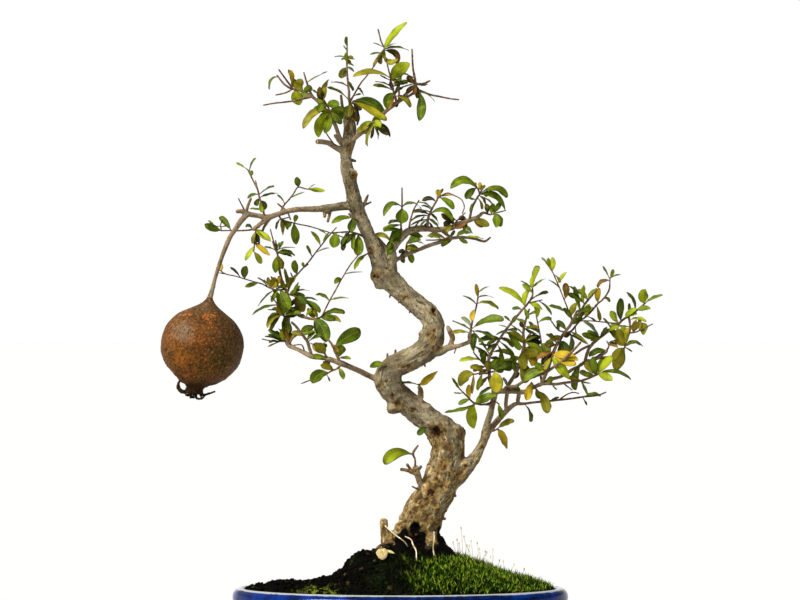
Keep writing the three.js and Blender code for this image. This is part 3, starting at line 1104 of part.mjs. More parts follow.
function mossBody(grow = 0) {
  const row = (share, lift) => {
    const line = [];
    for (let i = 0; i <= MOSS_STEPS; i++) {
      const trim = grow / 60;
      const angle = MOSS_FROM - trim + ((MOSS_TO - MOSS_FROM + 2 * trim) * i) / MOSS_STEPS;
      const [x, y] = potPlace(share, angle);
      line.push(new THREE.Vector3(x, y, groundHeight(x, y) + lift(x, y)));
    }
    return line;
  };
  const inner = MOSS_INNER - grow / 30;
  const outer = Math.min(MOSS_OUTER + grow / 30, 1);
  const above = [];
  for (let i = 0; i <= MOSS_ROWS; i++) {
    const share = inner + ((outer - inner) * i) / MOSS_ROWS;
    const edge = i === 0 || i === MOSS_ROWS;
    above.push(row(share, (x, y) => (edge ? 0.8 : 2.5 + tuft(x, y)) + (grow ? 8 : 0)));
  }
  const below = [row(inner, () => -MOSS_DEEP - grow), row(outer, () => -MOSS_DEEP - grow)];
  const rows = [...above, ...below.reverse()];
  // each column of the patch is a ring round its section
  const rings = Array.from({ length: MOSS_STEPS + 1 }, (_, i) => rows.map((line) => line[i]));
  return skinOver(rings);
}

// ---- Fruit ----------------------------------------------------------------------------------------
// Radius and distance below the stalk, down to the rim of the crown left by the flower.
const FRUIT_PROFILE = [[0, 0], [4, 0.6], [9.5, 7], [18, 12.3], [29, 19.5], [36.5, 29], [40.3, 39], [40.8, 49],
  [39.2, 60], [34, 69.5], [26, 78], [17.5, 84], [9, 89], [9.4, 95], [4, 94], [0, 90]];
// Withered lobes of the crown, as tapering limbs
const FRUIT_LOBES = [
  [[190, 387, -31, 2], [187, 391, -32, 1.7], [182, 390, -33, 1.6], [179, 386, -33, 1.5],
    [181, 380, -34, 1.1]],
  [[200, 389, -29, 2], [204, 394, -28, 1.4], [210, 393, -27, 1.1], [216, 391, -26, 1.3]],
  [[198, 390, -33, 1.8], [198, 398, -35, 1.2], [203, 398, -34, 1], [206, 395, -32, 1]],
  [[193, 390, -24, 2], [192, 396, -20, 1.5], [195, 397, -15, 1.1]],
  [[194, 389, -36, 2], [191, 394, -40, 1.5], [188, 394, -44, 1.1]],
];

function fruit() {
  const profile = FRUIT_PROFILE.map(([r, s]) => new THREE.Vector2(r, -s)).reverse();
  const body = new THREE.LatheGeometry(profile, FRUIT_SECTORS);
  const place = body.getAttribute("position");
  for (let i = 0; i < place.count; i++) {
    const angle = Math.atan2(place.getZ(i), place.getX(i));
    const swell = 1 + FRUIT_SWELL * Math.sin(5 * angle + 0.6);
    place.setX(i, place.getX(i) * swell);
    place.setZ(i, place.getZ(i) * swell);
  }
  body.rotateX(Math.PI / 2);
  body.rotateY(FRUIT_TILT);
  const top = at(...FRUIT_TOP);
  body.translate(top.x, top.y, top.z);
  return joined([solidOf(body), ...FRUIT_LOBES.map((points) => limb(points))]);
}

// ---- The fallen leaf, lying by the trunk's foot ------------------------------------------------------
const FALLEN_COURSE = [[384, 549.2, -31], [389, 549.6, -33], [395.5, 552.4, -35]];
const FALLEN_WIDTH = 5;
const FALLEN_TURN = 1.1;

function fallenLeaf(grow = 0) {
  const [base, middle, tip] = FALLEN_COURSE.map((place) => at(...place));
  const pull = middle.multiplyScalar(2).sub(base.clone().add(tip).multiplyScalar(0.5));
  const curve = new THREE.QuadraticBezierCurve3(base, pull, tip);
  return leaf({ seat: base, curve, width: FALLEN_WIDTH, length: curve.getLength(), turn: FALLEN_TURN }, grow);
}

// ---- Assembly ---------------------------------------------------------------------------------------
function meshOf(name, solid, color, roughness) {
  const { vertProperties, triVerts } = solid.getMesh();
  const geometry = new THREE.BufferGeometry();
  geometry.setAttribute("position", new THREE.BufferAttribute(new Float32Array(vertProperties), 3));
  geometry.setIndex(new THREE.BufferAttribute(new Uint32Array(triVerts), 1));
  geometry.computeVertexNormals();
  const mesh = new THREE.Mesh(geometry, finish(color, roughness));
  mesh.name = name;
  return mesh;
}

// The tone that most of a spray's leaves have.
function mainTone(leaves) {
  const tally = {};
  for (const row of leaves) tally[row[7]] = (tally[row[7]] ?? 0) + 1;
  return Object.keys(tally).reduce((most, tone) => (tally[tone] > tally[most] ? tone : most));
}

const tree = new THREE.Group();
tree.name = "pomegranate_bonsai";

const trunk = largest(wood());
const seatCut = wood(CLEARANCE);
const leafBed = fallenLeaf(CLEARANCE);
const moss = largest(mossBody().subtract(seatCut).subtract(leafBed));
const ground = soilBody()
  .subtract(seatCut)
  .subtract(mossBody(CLEARANCE))
  .subtract(leafBed);

tree.add(meshOf("pot", pot(), GLAZE, 0.15));
tree.add(meshOf("soil", largest(ground), SOIL, 0.95));
tree.add(meshOf("moss", moss, MOSS, 0.9));
tree.add(meshOf("trunk", trunk, BARK, 0.85));
tree.add(meshOf("fruit", largest(fruit().subtract(seatCut)), RIND, 0.6));
tree.add(meshOf("fallen_leaf", fallenLeaf().subtract(seatCut), FALLEN, 0.7));

for (const [name, plan] of Object.entries(SPRAYS)) {
  const carrier = plan.on ? spray(SPRAYS[plan.on], CLEARANCE) : seatCut;
  const solid = largest(spray(plan).subtract(carrier));
  tree.add(meshOf(name, solid, LEAF_TONES[mainTone(plan.leaves)], 0.55));
}

export default tree;
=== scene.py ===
import math
from contextlib import contextmanager
from types import SimpleNamespace

import bmesh
import bpy
import numpy as np
from mathutils import Euler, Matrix, Vector, kdtree, noise


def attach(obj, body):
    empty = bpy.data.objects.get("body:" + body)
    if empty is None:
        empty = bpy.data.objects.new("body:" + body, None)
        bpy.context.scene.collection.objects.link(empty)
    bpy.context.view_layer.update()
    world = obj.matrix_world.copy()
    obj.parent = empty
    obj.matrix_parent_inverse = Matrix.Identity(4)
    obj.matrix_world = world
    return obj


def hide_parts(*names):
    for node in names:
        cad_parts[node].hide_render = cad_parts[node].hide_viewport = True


bl_info = {
    "name": "Pomegranate Bonsai",
    "version": (1, 0, 0),
    "blender": (4, 5, 0),
    "location": "View3D > Sidebar > Bonsai",
    "description": "Dresses the solids of a pomegranate bonsai in bark, leaves, rind, moss, soil and glaze",
    "category": "Add Mesh",
}

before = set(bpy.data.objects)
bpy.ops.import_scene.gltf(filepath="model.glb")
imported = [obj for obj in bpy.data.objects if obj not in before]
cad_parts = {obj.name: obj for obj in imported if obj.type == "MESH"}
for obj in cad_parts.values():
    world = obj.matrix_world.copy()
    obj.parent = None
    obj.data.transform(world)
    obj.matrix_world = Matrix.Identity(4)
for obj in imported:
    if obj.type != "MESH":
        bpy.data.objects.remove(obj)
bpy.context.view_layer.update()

MM = 0.001
BODY = "root"
SEED = 7
ELEVATION_LEFT = -413  # the front elevation's left edge, as x
ELEVATION_TOP = 650  # the front elevation's top edge, as z
ROUTE_STEP = 1.2  # between the points of a smoothed route, mm
BLUNT_REACH = 0.6  # how far a blunt tip reaches past a path's end, in radii
TOUCHING = 1e-6  # points nearer to each other than this are one, metres

VIEW_CENTRE_X = ELEVATION_LEFT + 400
POT_CENTRE_X = -12.7
POT_ROUNDING = 43  # the pot is narrower than it is long by twice this
LEAF_PROPORTION = 0.36  # a flat leaf's width over its length
LEAF_WIDEST = 9
LEAF_LEAN_MOST = 14
LEAN_SHARE = 0.3  # how far a flat leaf leans in depth, of its length
MIDRIB_LEAN = 0.6  # how much of a leaf's lean its midrib has at the place that bends it
MIDRIB_EASE = 0.2  # how far the place that bends a midrib is drawn back to the midrib's chord
SHORTEST_STALK = 3.5  # a leaf that starts nearer to its twig than this sits on it, mm
STALK_SHARE = 0.05  # of a leaf's length
STALK_GIRTH = 0.00045
STALK_RADII = (0.5 * MM, 0.45 * MM)  # of a leaf's own stalk, at the twig and at the blade
ALMOST_BACK = (0.0003, 1.0, 0.0002)  # straight back, yet never quite along a leaf


def srgb(red, green, blue):
    """A colour from its display values, 0 to 255, as the shaders want it."""
    steps = [value / 255 for value in (red, green, blue)]
    return tuple(s / 12.92 if s <= 0.04045 else ((s + 0.055) / 1.055) ** 2.4 for s in steps)


def rows(text):
    """Rows of numbers, and of one-letter tones, with commas between the rows."""
    return [
        tuple(word if word.isalpha() else float(word) for word in row.split())
        for row in text.split(",")
        if row.strip()
    ]


def routes(text):
    """Routes with semicolons between them, each a list of rows."""
    return [rows(part) for part in text.split(";")]


# Tones of the leaves, and the slot of each
TONES = {
    "g": (srgb(94, 115, 14), "leaf_green"), "b": (srgb(148, 161, 20), "leaf_bright"),
    "o": (srgb(135, 127, 28), "leaf_olive"), "y": (srgb(185, 155, 28), "leaf_yellow"),
    "d": (srgb(74, 97, 18), "leaf_dark"), "r": (srgb(121, 78, 36), "leaf_russet"),
    "k": (srgb(38, 30, 20), "leaf_withered"), "p": (srgb(134, 146, 108), "leaf_pale"),
    "m": (srgb(159, 149, 28), "leaf_yellow"),
}

# A place is mm right of and down from the front elevation's top left corner, and y, the depth.
# Wood: each point is right, down, y and radius.
TRUNK = rows("""
416 590 0 24, 416 574 0 23.5, 416 562 0 22.8, 416 552 0 22, 416 540 0 21.5, 418 530 1 21, 421 520 1 20.8,
425 510 2 20, 431 500 3 18.5, 437 490 4 18.3, 441 480 5 18, 444 470 6 17.5, 446.5 460 7 17, 448 450 8 17,
447.5 441 9 17, 443 432 10 16, 436 425 10 14.5, 428 419 9 13, 419 412 8 12.5, 409 404.5 5 12.5,
399 397 2 12.8, 391.5 389 -2 13.3, 387.5 380 -5 13.5, 390 371 -8 13, 398 364.5 -10 12.2, 408 360 -11 12,
418 355 -12 12, 427 348.5 -11 12, 432.5 340 -8 11.8, 434 331 -4 11.3, 433 322 -1 10.8, 428 314 2 10.5,
419.5 306.5 5 10.3, 410 299 8 10.3, 401 291 9 10.4, 393 283 10 11, 386 275 9 11.5, 381.5 266 8 10.5,
378 257 6 8.8, 374 247 4 7.8, 369.5 237 2 7, 365 227 0 6.8, 360.5 217 -2 7.1, 356.5 207 -4 7.5,
353.5 197 -5 7.5, 351.5 187 -6 6.8, 349.5 178 -6 7.1, 347 169 -5 6.4, 345.8 160 -3 5.6, 346.5 151 -1 6.2,
348.5 142 0 6.8, 349.8 133 2 6.7, 349.6 124 2 6.3, 347.5 117 2 5""")
# Each route starts inside the wood that carries it
LIMBS = routes("""
354 206 -4 5.5, 349 206 -5 4.5, 342 206 -6 4.3, 335 207.5 -9 4, 328 208.5 -11 4.5, 320 209 -13 3.5,
310 209.3 -14 3, 300 209.5 -15 2.9, 290 211 -17 2.8, 280 214 -19 2.8, 270 218 -22 2.8, 263 223 -24 2.4,
258 227 -25 2.2, 254 230 -26 1.8;
272 217 -21 2.4, 265 217 -23 2.6, 258 216 -24 2.6, 250 214.5 -26 2.6, 244 212 -27 2.2, 238 212 -28 2;
249 214 -26 2.6, 246 217 -27 3, 241.5 222 -28 2.9, 237 229 -30 2.7, 231.5 237 -31 2.5, 227.5 246 -31 2.5,
223.5 256 -31 2.4, 220.3 266 -30.5 2.3, 216.8 277 -30 2.2, 214 288 -30 2.3, 211.3 298 -30 3.1;
271 218 -22 1.8, 265 227 -20 1.4, 261 236 -19 .9;
247 213 -26 1.6, 249 206 -27 1.5, 252 199 -27 1.2;
325 210 -12 2, 325 217 -13 1.7;
384 379 -5 5, 375 378 -6 3.2, 362 372 -10 2.9, 350 366.5 -13 2.8, 340 362.5 -15 3.2, 330 359 -14 2.6,
320 357.5 -12 2.4, 312 356 -10 3, 305 353 -7 2.4, 297 349 -4 2.3, 290 346 -1 2.6, 287 341 0 3,
287 333 1 2, 288 325 1.5 2, 288 318 2 2, 287 306 3 1.8, 287 292 4 1.6, 284 288 5 1.5, 281 278 6 1.3,
279 268 6 1.3, 278 257 6 1.3;
312 356 -10 1.8, 308 343 -14 1.5;
287 306 3 1.6, 290 307 1 1.6, 297 314 -3 1.6;
390 276 9 8, 391 268 8 6, 391 258 8 5.5, 391 250 8 5.2, 394 246 7 4.6, 399 240 5 4.2, 404 235 3 4,
409 231 1 3.8, 417 229 0 3.5, 426 228.5 -2 3.2, 435 230 -4 3, 444 229 -6 2.8, 452 228 -8 2.6,
458 224 -10 2.5, 466 222 -12 2.4;
389 253 8 2.4, 386 248 8 2.2, 382 243 9 1.9, 377 237 10 1.6;
392 263 9 3, 396 260 10 2.2, 402 257 12 2.1, 410 253 14 2, 420 249 16 2, 430 245 16 2, 440 242 15 2,
450 237.5 14 2;
441 230 -5 1.6, 446 234 6 1.5, 451 237 13 1.6;
409 231 1 1.3, 410 222 6 .9, 414 209 11 .8, 419 200 14 .7;
358 208 -4 2.5, 363 206 -2 2.2, 368 195 0 1;
347 153 -2 3.6, 341 150 -2 3.2, 335 147 -3 2.9, 328 143 -4 2.8, 317 141.5 -5 2.7;
346 150 0 2.4, 339 141 4 2, 335 135 6 1.8;
349 146 0 2.4, 343 143 0 2, 338 133 -2 2, 336 127 -3 2, 333 121 -4 1.9, 330 116 -5 1.8, 325 109 -6 1.8,
320 104 -8 1.7, 316 100 -9 1.7, 312 97 -10 1.6;
350 126 2 2.4, 350 118 2 1.7, 350 105 3 1.5, 349 98 4 1.4, 349 90 5 1.2;
347 119 2 2, 343 110 3 1.6, 341 95 4 1.3;
349 144 -1 3.6, 353 140 -4 2.8, 360 134 -4 2.6, 368 128 -3 2.4, 377 119 -2 2.2, 385 112 0 2, 393 105 2 2,
400 100 4 2, 406 94 5 1.8, 412 88 6 1.6, 417 83 7 1.4;
383 114 -1 1.8, 388 110 3 1.4, 400 101 8 1.4, 410 95 10 1.3, 418 90 11 1.2, 430 94 12 1, 440 96 13 .9,
450 98 14 .8, 459 99 14 .7;
399 101 4 1.2, 399 90 9 .9, 400 80 12 .8, 402 73 14 .7;
431 350 -9 7, 436 352 -12 5, 441 351 -14 4.4, 447 348 -18 3.5, 455 346.5 -21 2.6, 463 344 -24 2,
469 341 -26 2, 469 336 -27 1.8, 470 332 -28 1.5;
447 348 -18 2.6, 450 344 -19 2.4, 452.5 338 -20 3, 450 332 -20 2.9, 447.5 326.5 -19 1.7;
450 482 6 10, 457 477 6 9, 463 472 5 8.2, 470 464 5 7, 477 455 4 5.5, 481 447 4 4.6, 484 440 3 4.4,
486 433 2 4.8, 487 425 0 3.6, 490 415 -3 3.4, 492 405 -6 3.2, 494 395 -8 3.2, 493 387 -9 2.6,
489 378 -11 1.9;
486 434 2 4, 490 430 4 3.2, 495 424 7 3.1, 501 417 9 3, 507 411 11 2.8, 513 406 12 2.4, 519 403 13 2.2;
493 391 -9 3, 500 391 -8 3, 507 391 -6 3, 515 391 -4 3, 524 392 -3 2.6, 532 388 -4 2.2, 541 384 -5 2.1,
548 383 -5 1.9;
519 392 -3 2.2, 518 403 13 2;
507 392 -6 2, 506 405 6 2, 507 411 11 2;
504 391 -7 1.8, 506 387 -9 1.6, 515 386 -13 1.6, 523 381 -18 1.5, 534 376 -21 1.5, 545 372 -24 1.5,
555 365 -27 1.4, 562 360 -29 1.4, 570 352 -33 1.3, 579 342 -38 1.1;
541 384 -5 2, 552 379 0 1.8, 560 377 3 1.7, 567 373 6 1.7, 574 369 9 1.7, 580 366 12 1.6, 585 362 14 1.6,
589 350 15 1.6, 594 343 16 1.5;
592 345 16 1.2, 583 349 12 1.3, 574 355 9 1.1;
541 384 -5 2, 545 375 -8 1.8, 550 362 -11 1.7, 553 352 -12 1.7, 557 343 -12 1.6;
428 486 0 5, 421 483 -6 3.6, 418 475 -8 3.5, 415 467 -9 3.2;
417 474 -8 2.2, 407 470 -10 1.8, 401 469 -10 1.7;
412 471 -9 1.6, 407 464 -10 1.4;
417 471 -8 1.8, 421 466 -10 1.5;
419 407 2 3.6, 421 399 1 2.8, 421 391 0 2.7, 419 387 -1 2;
408 548 -10 14, 392 560 -16 12, 380 574 -20 9;
424 548 -10 14, 442 556 -14 12, 456 572 -16 9;
416 552 8 16, 424 566 24 12, 430 580 34 8;
396 548 -8 7, 387 545 -13 5, 385 535 -14 4.3, 384 520 -14 4.1;
398 552 -14 6, 389 550 -20 5.6, 382 550 -23 4.6;
383 523 -14 1, 390 529 -24 .8, 396 534 -25 .8, 405 541 -26 .8, 409 549 -18 .9;
405 535 -26 .8, 411 538 -30 .9, 413 543 -33 .9, 416 549 -36 .8, 416 562 -46 .8;
434 531 -22 .9, 434 538 -27 .9, 433 546 -28 .9, 434 554 -28 .9;
372 560 -20 1.5, 376 549 -22 1.5, 381 544 -22 1.5, 388 542 -20 1.5, 395 542 -14 1.5""")
# Burrs and swellings: right, down, y, radius across, radius up and down
BURRS = rows("""
377 275 3 7.5 8, 457 433 4 9 9, 394.8 408.6 -4 9 6.5, 467 466 3 8.5 8.5, 435 546 -2 12 14,
391 541 -12 6 12, 403.5 528 -8 9.5 9, 404 538 -12 9 10, 432 540 -12 10 10, 353 175 -9 5 6,
424 335 -12 6 6, 415 512 -13 7 9, 436 505 -14 6 8, 391 255 5 5.5 6""")

# Each spray: its twigs | its leaves | its slender leaves. A leaf is its base, a place that bends its midrib
# and its tip, each right and down, the width that shows, its tone and, for some, its lean in depth.
SPRAYS = {
    "fruit_left": """
265 217 -23 1.1, 264 210 -22 1, 260 198 -16 .9, 258 190 -12 .9, 254 182 -8 .8, 251 176 -5 .8,
248 170 -2 .7;
259 193 -13 .7, 256 181 -15 .6
| 251 177 251 173 253 171 4 b, 257 195 252 193 248 199 3.5 d, 259 198 257 202 256 206 5 d 6,
262 197 270 193 279 193.5 2.5 d, 263 200 267 203 265 210 5 g 8, 260 201 261 207 263 213 4 b -8
| 248 170 242 165 236 163 1.5 b, 249 172 251 163 256 158 1.5 d, 262 194 267 188 275 187 1.5 d,
263 211 256 209 250 209 2 d 8""",
    "fruit_mid": """
281 213 -19 1.1, 284 206 -14 .9, 289 200 -8 .8, 294 193 0 .7, 298 187 6 .7, 305 188.5 9 .7, 309 189 12 .6
| 298 187 298 182 297 177 6 g, 308 189 316 190 325 190.5 4.5 b
| 285 204 283 198 277 195 1.5 d, 291 198 297 195 305 192 1.5 d, 308 188 311 186 315 184 1 d""",
    "fruit_under": """
257 227 -25 1.1, 252 230 -22 .9, 240 231 -20 .8, 232 230.8 -20 .7, 222 231 -20 .7;
222 231 -20 .7, 221.5 225 -20 .6, 223 221 -20 .6
| 221 231 214 229 206 225 7 g, 232 229 227 222 220 217 6 g 8, 252 228 250 223 246 227 3.5 d 8
| 216 227 213 224 209 221 2 b, 222 227 226.5 226 231 227 1.2 d 4""",
    "fruit_right": """
279 215 -19 1.1, 282 219.5 -16 .9, 293 223 -9 .7, 300 224.5 -4 .7, 310 226.5 0 .7, 325 231 5 .6,
340 236 9 .6, 346 239 10 .6;
282 219.5 -16 .7, 290 217.5 -13 .6
| 292 223 289 224 286 228 5 g -8, 294.5 223 295.5 234 296 244.5 8 g, 295 222 295 218 297 215 4.5 g 8,
280 220 284 226 283 236 4 o 6
| 318 228.5 322 231 329 236 1.5 o, 282 219 287 222 288 230 3.5 g 6, 281 219 277 222 277 230 2.5 k""",
    "fruit_hanging": """
259 226 -25 1.2, 257 230 -28 .9, 256 240 -32 .8, 255 252 -38 .7
| 256 232 253 238 255 244 4 o -8, 257 233 259 238 257 243 3 o 6, 254 246 251 253 247 261 4.5 b,
256 252 260 257 262 264 5.5 b, 257 243 263 250 271 256 5 y, 259 232 266 235 272 242 6 b -8
| 256 233 260 238 260 246 3 k 6, 256 242 261 248 267 254 4 g 9, 257 230 262 231 269 241 4 g""",
    "left_outer": """
287 341 0 1.4, 282 341 -4 1.1, 275 341.5 -3 .7, 262 339 0 .6
| 281 340 274 337 268 334 2.5 d 9, 284 338 276 332 268 330 3 d -9, 281 342 273 336 265 337 2.5 k -4,
284 340 280 335 282 330 4 b -9
| 281 342 273 344.5 268 347 1.3 d, 283 339 282 333 278 328 2 d 7, 284 340 277 334 272 334 5 d 5,
283 341 279 335 275 331 4 g, 286 341 284 334 281 329 5 o -5, 285 341 275 338 266 337 2.5 k 6,
280 341 273 339 269 343 2 k""",
    "left_inner_low": """
289 345 -1 1.3, 292 339 -5 1, 297 335 -6 .8
| 291 341 293 334 300 330 3.5 o 6, 296 335 305 333 314 331 5 g -6
| 289 344 290 336 287 328 5 g 5, 290 343 292 335 297 331 4.5 o, 291 342 287 337 285 331 4 r,
296 335 301 331 309 332 4 g 8""",
    "left_dark_twig": """
287 293 4 1.2, 292 281 10 .9, 300 271 14 .8, 308 262 17 .8, 314 254 19 .8, 321 245 21 .7, 328 236 23 .7,
336 227 25 .6;
303 268 15 .7, 308 264 17 .6
| 297 274 293 267 295 260 6.5 g, 304 267 302.5 265 302 262 3 g, 311 257 309 250 306 245 2.5 g,
320 245 317 237 310 231 4 b, 323 243 325 238 329 232 3 d, 288 290 288 284 291 277 6 o -10,
289 286 284 278 284 268 3.5 b 12
| 316 252 322 249 329 248 1.3 p, 294 279 291 276 290 272 1.5 d, 288 288 285 280 287 275 4 o 6,
290 284 294 280 295 274 3.5 o, 287 291 281 284 278 276 4 o -6""",
    "left_tip": """
278 260 6 1.2, 277 252 7 .8, 273 240 8 .7, 270 229 9 .6;
277 254 7 .7, 274 247 10 .7, 272 241 14 .6
| 277 256 274 265 276 273 6.5 g -10, 279 256 283 262 282 269 4 d 12, 278 252 288 249 295 256 4.5 d -8,
278 251 283 246 282 241 2.5 g 8
| 277 250 287 246 296 248 1.3 p, 276 250 279 246 279 242 2 g, 275 250 270 247 264 247 1.6 d,
277 256 274 263 277 270 5 g 4, 278 254 281 261 280 269 4 o, 278 253 287 251 292 257 4 d 6,
277 252 275 245 275 240 2 d""",
    "left_yellow": """
285 289 5 1.2, 279 290 1 .9, 272 289 2 .8, 262 284 2 .7, 255 282 1 .7, 245 279 -2 .6, 235 276 -6 .6,
226 274 -10 .6, 220 270 -14 .6;
272 289 2 .9, 264 280 9 .7
| 272 288 272 282 275 277 5 y, 277 289 274 281 270 276 3 g 8, 245 278 243 272 247 266 7 g,
222 271 223 267 221 263 3 y, 258 283 252 284 245 287 4 g, 275 290 280 299 281 312 7 b 6
| 268 286 264 280 257 278 1.6 d -6, 241 277 236 271 230 267 2 k, 226 274 222.5 274 219 273 1.2 d,
274 291 266 295 258 306 1.6 d, 278 289 278 283 276 279 2 g -6, 272 289 277 283 281 277 5 y -6,
272 289 267 284 268 277 4 o 6, 278 290 274 296 271 302 4 g, 280 290 287 300 289 310 10 g -12,
276 289 281 285 287 286 4 o, 272 289 276 293 279 300 4 d 6""",
    "left_inner": """
287 294 4 1.2, 291 295 0 .9, 297 297 -3 .8, 303 300 -5 .7
| 291 295 294 291 300 286 3.5 g 4, 295 297 300 304 303 312 10 o, 303 300 313 301 320 313 4 g
| 290 294 300 287 310 291 2 d, 301 299 310 296 318 301 2 d, 289 295 294 290 300 289 3.5 g,
292 295 297 288 299 282 3.5 g -6, 296 297 304 296 306 305 7 d -6, 303 300 311 303 317 312 4.5 d -4,
291 295 297 293 305 296 4 g 6, 297 297 294 302 290 306 4 k""",
    "left_stem": """
287 319 2 1.2, 282 314 -3 .9, 279 309 -5 .8, 276 302 -8 .7, 271 296 -12 .6
| 278 305 265 305 253 315 3.2 d, 284 315 271 311 268 328 5 o -10, 281 315 274 321 270 332 4.5 d 4,
284 316 295 311 301 314 4 g -10, 284 316 283 326 284 335 4 d -6, 285 317 290 324 291 332 3 d -8
| 279 311 273.5 310.5 268 310 1.5 d, 283 315 272 312 268 322 5 g 4, 285 317 283 325 286 336 6 g 6,
284 315 292 310 299 308 4 g 6, 284 316 279 310 275 307 5 o, 285 317 289 324 287 334 4.5 o -4,
280 312 275 307 272 309 3 g 7, 285 316 292 318 299 315 3 k -6, 284 315 286 308 283 300 6 g -5""",
    "left_thin_twig": """
295 312 -2 1.5, 300 316 -5 1.4, 306 317.5 -7 1.4, 313 319 -8 1.2, 321 317 -7 .9, 326 308 -5 .8,
330 300 -2 .8, 335 291 2 .8, 341 280 7 .7, 350 265 13 .7, 358 255 17 .6, 361 250 20 .6
| 306 316 308 311 312 309 3 b, 314 318 314 313 312 307 4 g 8, 313 319 325 321 327 342 12 d -8,
329 301 324 293 315 295 3.5 g, 341 279 337 277 335 284 5 g, 321 316 332 308 345 313 4.5 d,
320 318 333 315 341 322 6 o -6
| 331 300 340 296.5 349 298.5 2 d, 345 274 352 272 363 272 1.2 p, 314 318.5 309 312 308 308 4.5 g 5,
321 317 329 311 336 311 4 g 8, 320 317.5 327 318 336 318 6 d -9, 306 317 302 313 300 317 3 k,
318 318 316 312 313 310 4 o -5, 314 319 319 327 321 338 8 d 5""",
    "left_stick": """
309 346 -13 1.6, 308 342 -14 1.5, 303 335 -17 1.4, 297 327 -18 1.3, 292 322 -18 1.1
| 301 332 308 329 314 326 5 d, 307 341 310 334 316 331 4 g 6, 308 342 315 336 322 335 3 g -6
| 301 332 305 327 313 327 6 d -6, 303 335 296 331 292 333 4 o""",
    "left_broad": """
341 364 -15 1.8, 337 355 -18 1.4, 332 344 -20 1.2, 329 340 -21 1
| 334 349 345 334 361 331 13 g 10, 338 357 339 350 342 345 7 g -8, 339 358 346 356 351 359 3 g -8,
332 344 336 346 338 350 3 r -6
| 339 358 341 350 344 346 7 o 6, 337 355 334 350 336 346 4 r 4, 333 346 337 347 339 352 4 r""",
    "left_olive": """
328 359 -14 1.4, 324 352 -17 .9, 319 347 -19 .8, 311 343 -20 .6
| 325 354 323 347 315 343 9 o -8
| 320 348 323 345 326 342 2 d, 325 354 317 348 314 343 8 o 4, 326 356 331 362 324 366 7 o 6,
322 350 325 345 327 344 4 d 6, 326 356 320 358 313 355 5 b""",
    "left_hanging": """
341 364 -16 1.5, 338 368 -19 1.1, 331 371 -21 .9, 325 375 -22 .8, 310 380 -24 .7, 302 383 -25 .6
| 334 370 328 363 322 366 6 o -8, 338 367 342 371 344 378 5 o, 328 372 314 370 314 383 11 g -8
| 327 374 328.5 377 330 381 1.2 d, 339 367 343 372 344 379 5 g -6, 333 370 326 364 321 365 6 m""",
    "elbow_left": """
390 367 -14 1.6, 384 364 -23 .9
| 384 364 377 361 370 367 6 g 5""",
    "elbow_yellow": """
420 389 0 1.6, 419 384 -3 1
| 419 385 427 381 438 371 6.5 y
| 418 385 410 381 401 383 1.6 d""",
    "trunk_low": """
434 426 0 1.6, 427 427 -9 .9
| 427 427 422 428 418 435 6 d -3""",
    "paddle": """
415 470 -9 1.4, 415 459 -11 .9, 413 453 -12 1.3, 418 445 -13 .9
| 413 454 391 443 385 464 11 b -8""",
    "high_arch": """
361 221 -3 1.6, 354 219 -11 .9, 349 214 -12 1.2
| 354 219 343 213 332 224 4.5 g, 352 218 354 225 350 232 8 d -5""",
    "high_left": """
366 238 2 1.6, 358 234 -8 1, 350 232 -10 .9, 341 232.5 -11 .8, 330 233 -12 .6
| 336 233 335 240 334 248 10 g -5, 358 235 349 235 345 244 6 d 5, 358 235 360 245 358 256 9.5 g -5,
347 232 344 244 343 251 4.5 k -3
| 350 232 345 238 342 246 5 d, 349 232 343 242 344 251 5 k -6, 356 234.5 352 241 354 250 4 g""",
    "high_low": """
374 252 2 1.6, 367 254 -6 .9
| 368 254 359 257 355 270 4.5 b -6""",
    "upper_fan": """
403 236 2 1.8, 401 226 -4 1, 402 207 -8 .9, 402 188 -12 .7
| 401 207 388 194 384 217 5 d, 403 207 414 195 422 210 2.5 d, 402 208 402 216 402 224 12 g -6,
401 225 391 226 383 230 4 g -5, 401 228 395 233 391 242 7 d -6
| 401 223 395.5 220 389 221 1.6 d, 402 230 396 230 391 240 8 d -10, 402 234 396 237 390 243 8 g -12,
402 235 392 241 388 250 8 d 6, 403 235 412 232 420 236 5 g 5, 401 222 394 219 388 224 3 k,
401 230 391 228 384 232 5 g -14""",
    "upper_base": """
394 248 7 2, 391 243 -2 .9
| 391 243 389 245 387 251 4 d -4, 392 243 386 230 373 236 4 o 5
| 393 245 391 249 387 255 6 d -10, 392 243 397 238 399 231 6 d 6""",
    "upper_bud": """
427 229 -2 1.8, 428 219 -7 1.4, 431 211 -10 1.2, 434 205 -12 1.1, 437 200 -14 1, 438 190 -16 .7;
437 199 -14 .8, 447 193.5 -17 .7, 454 196 -19 .6, 461 200 -21 .6, 464 207 -22 .6, 462 214 -22 .6
| 438 198 439.5 194 440 190 3.5 y, 440 198 448 192.5 455 196 3 y, 440 199 450 200 453 210 6 g -6,
435 202 429 195 422 201 4 k, 430 215 446 199 452 222 5.5 g -9, 429 218 435 222 439 229 3 d -7,
429 216 418 214 411 222 2.5 d, 429 214 437 216 439 225 2.5 d 6, 430 212 418 209 412 213 3 k
| 432 209 427 202 418 203 1.3 p, 428 214 419 208 414 213 4 k -6, 428 219 416 222 411 226 2 d,
428 222 424 225 425 232 3 k, 428 221 433 226 432 231 2.5 k 4, 428 220 422 222 420 227 2 d 5,
431 210 426 205 421 206 2 k 6, 438 197 436 193 437 190 2.5 b 4, 438 196 442 194 443 189 2 k""",
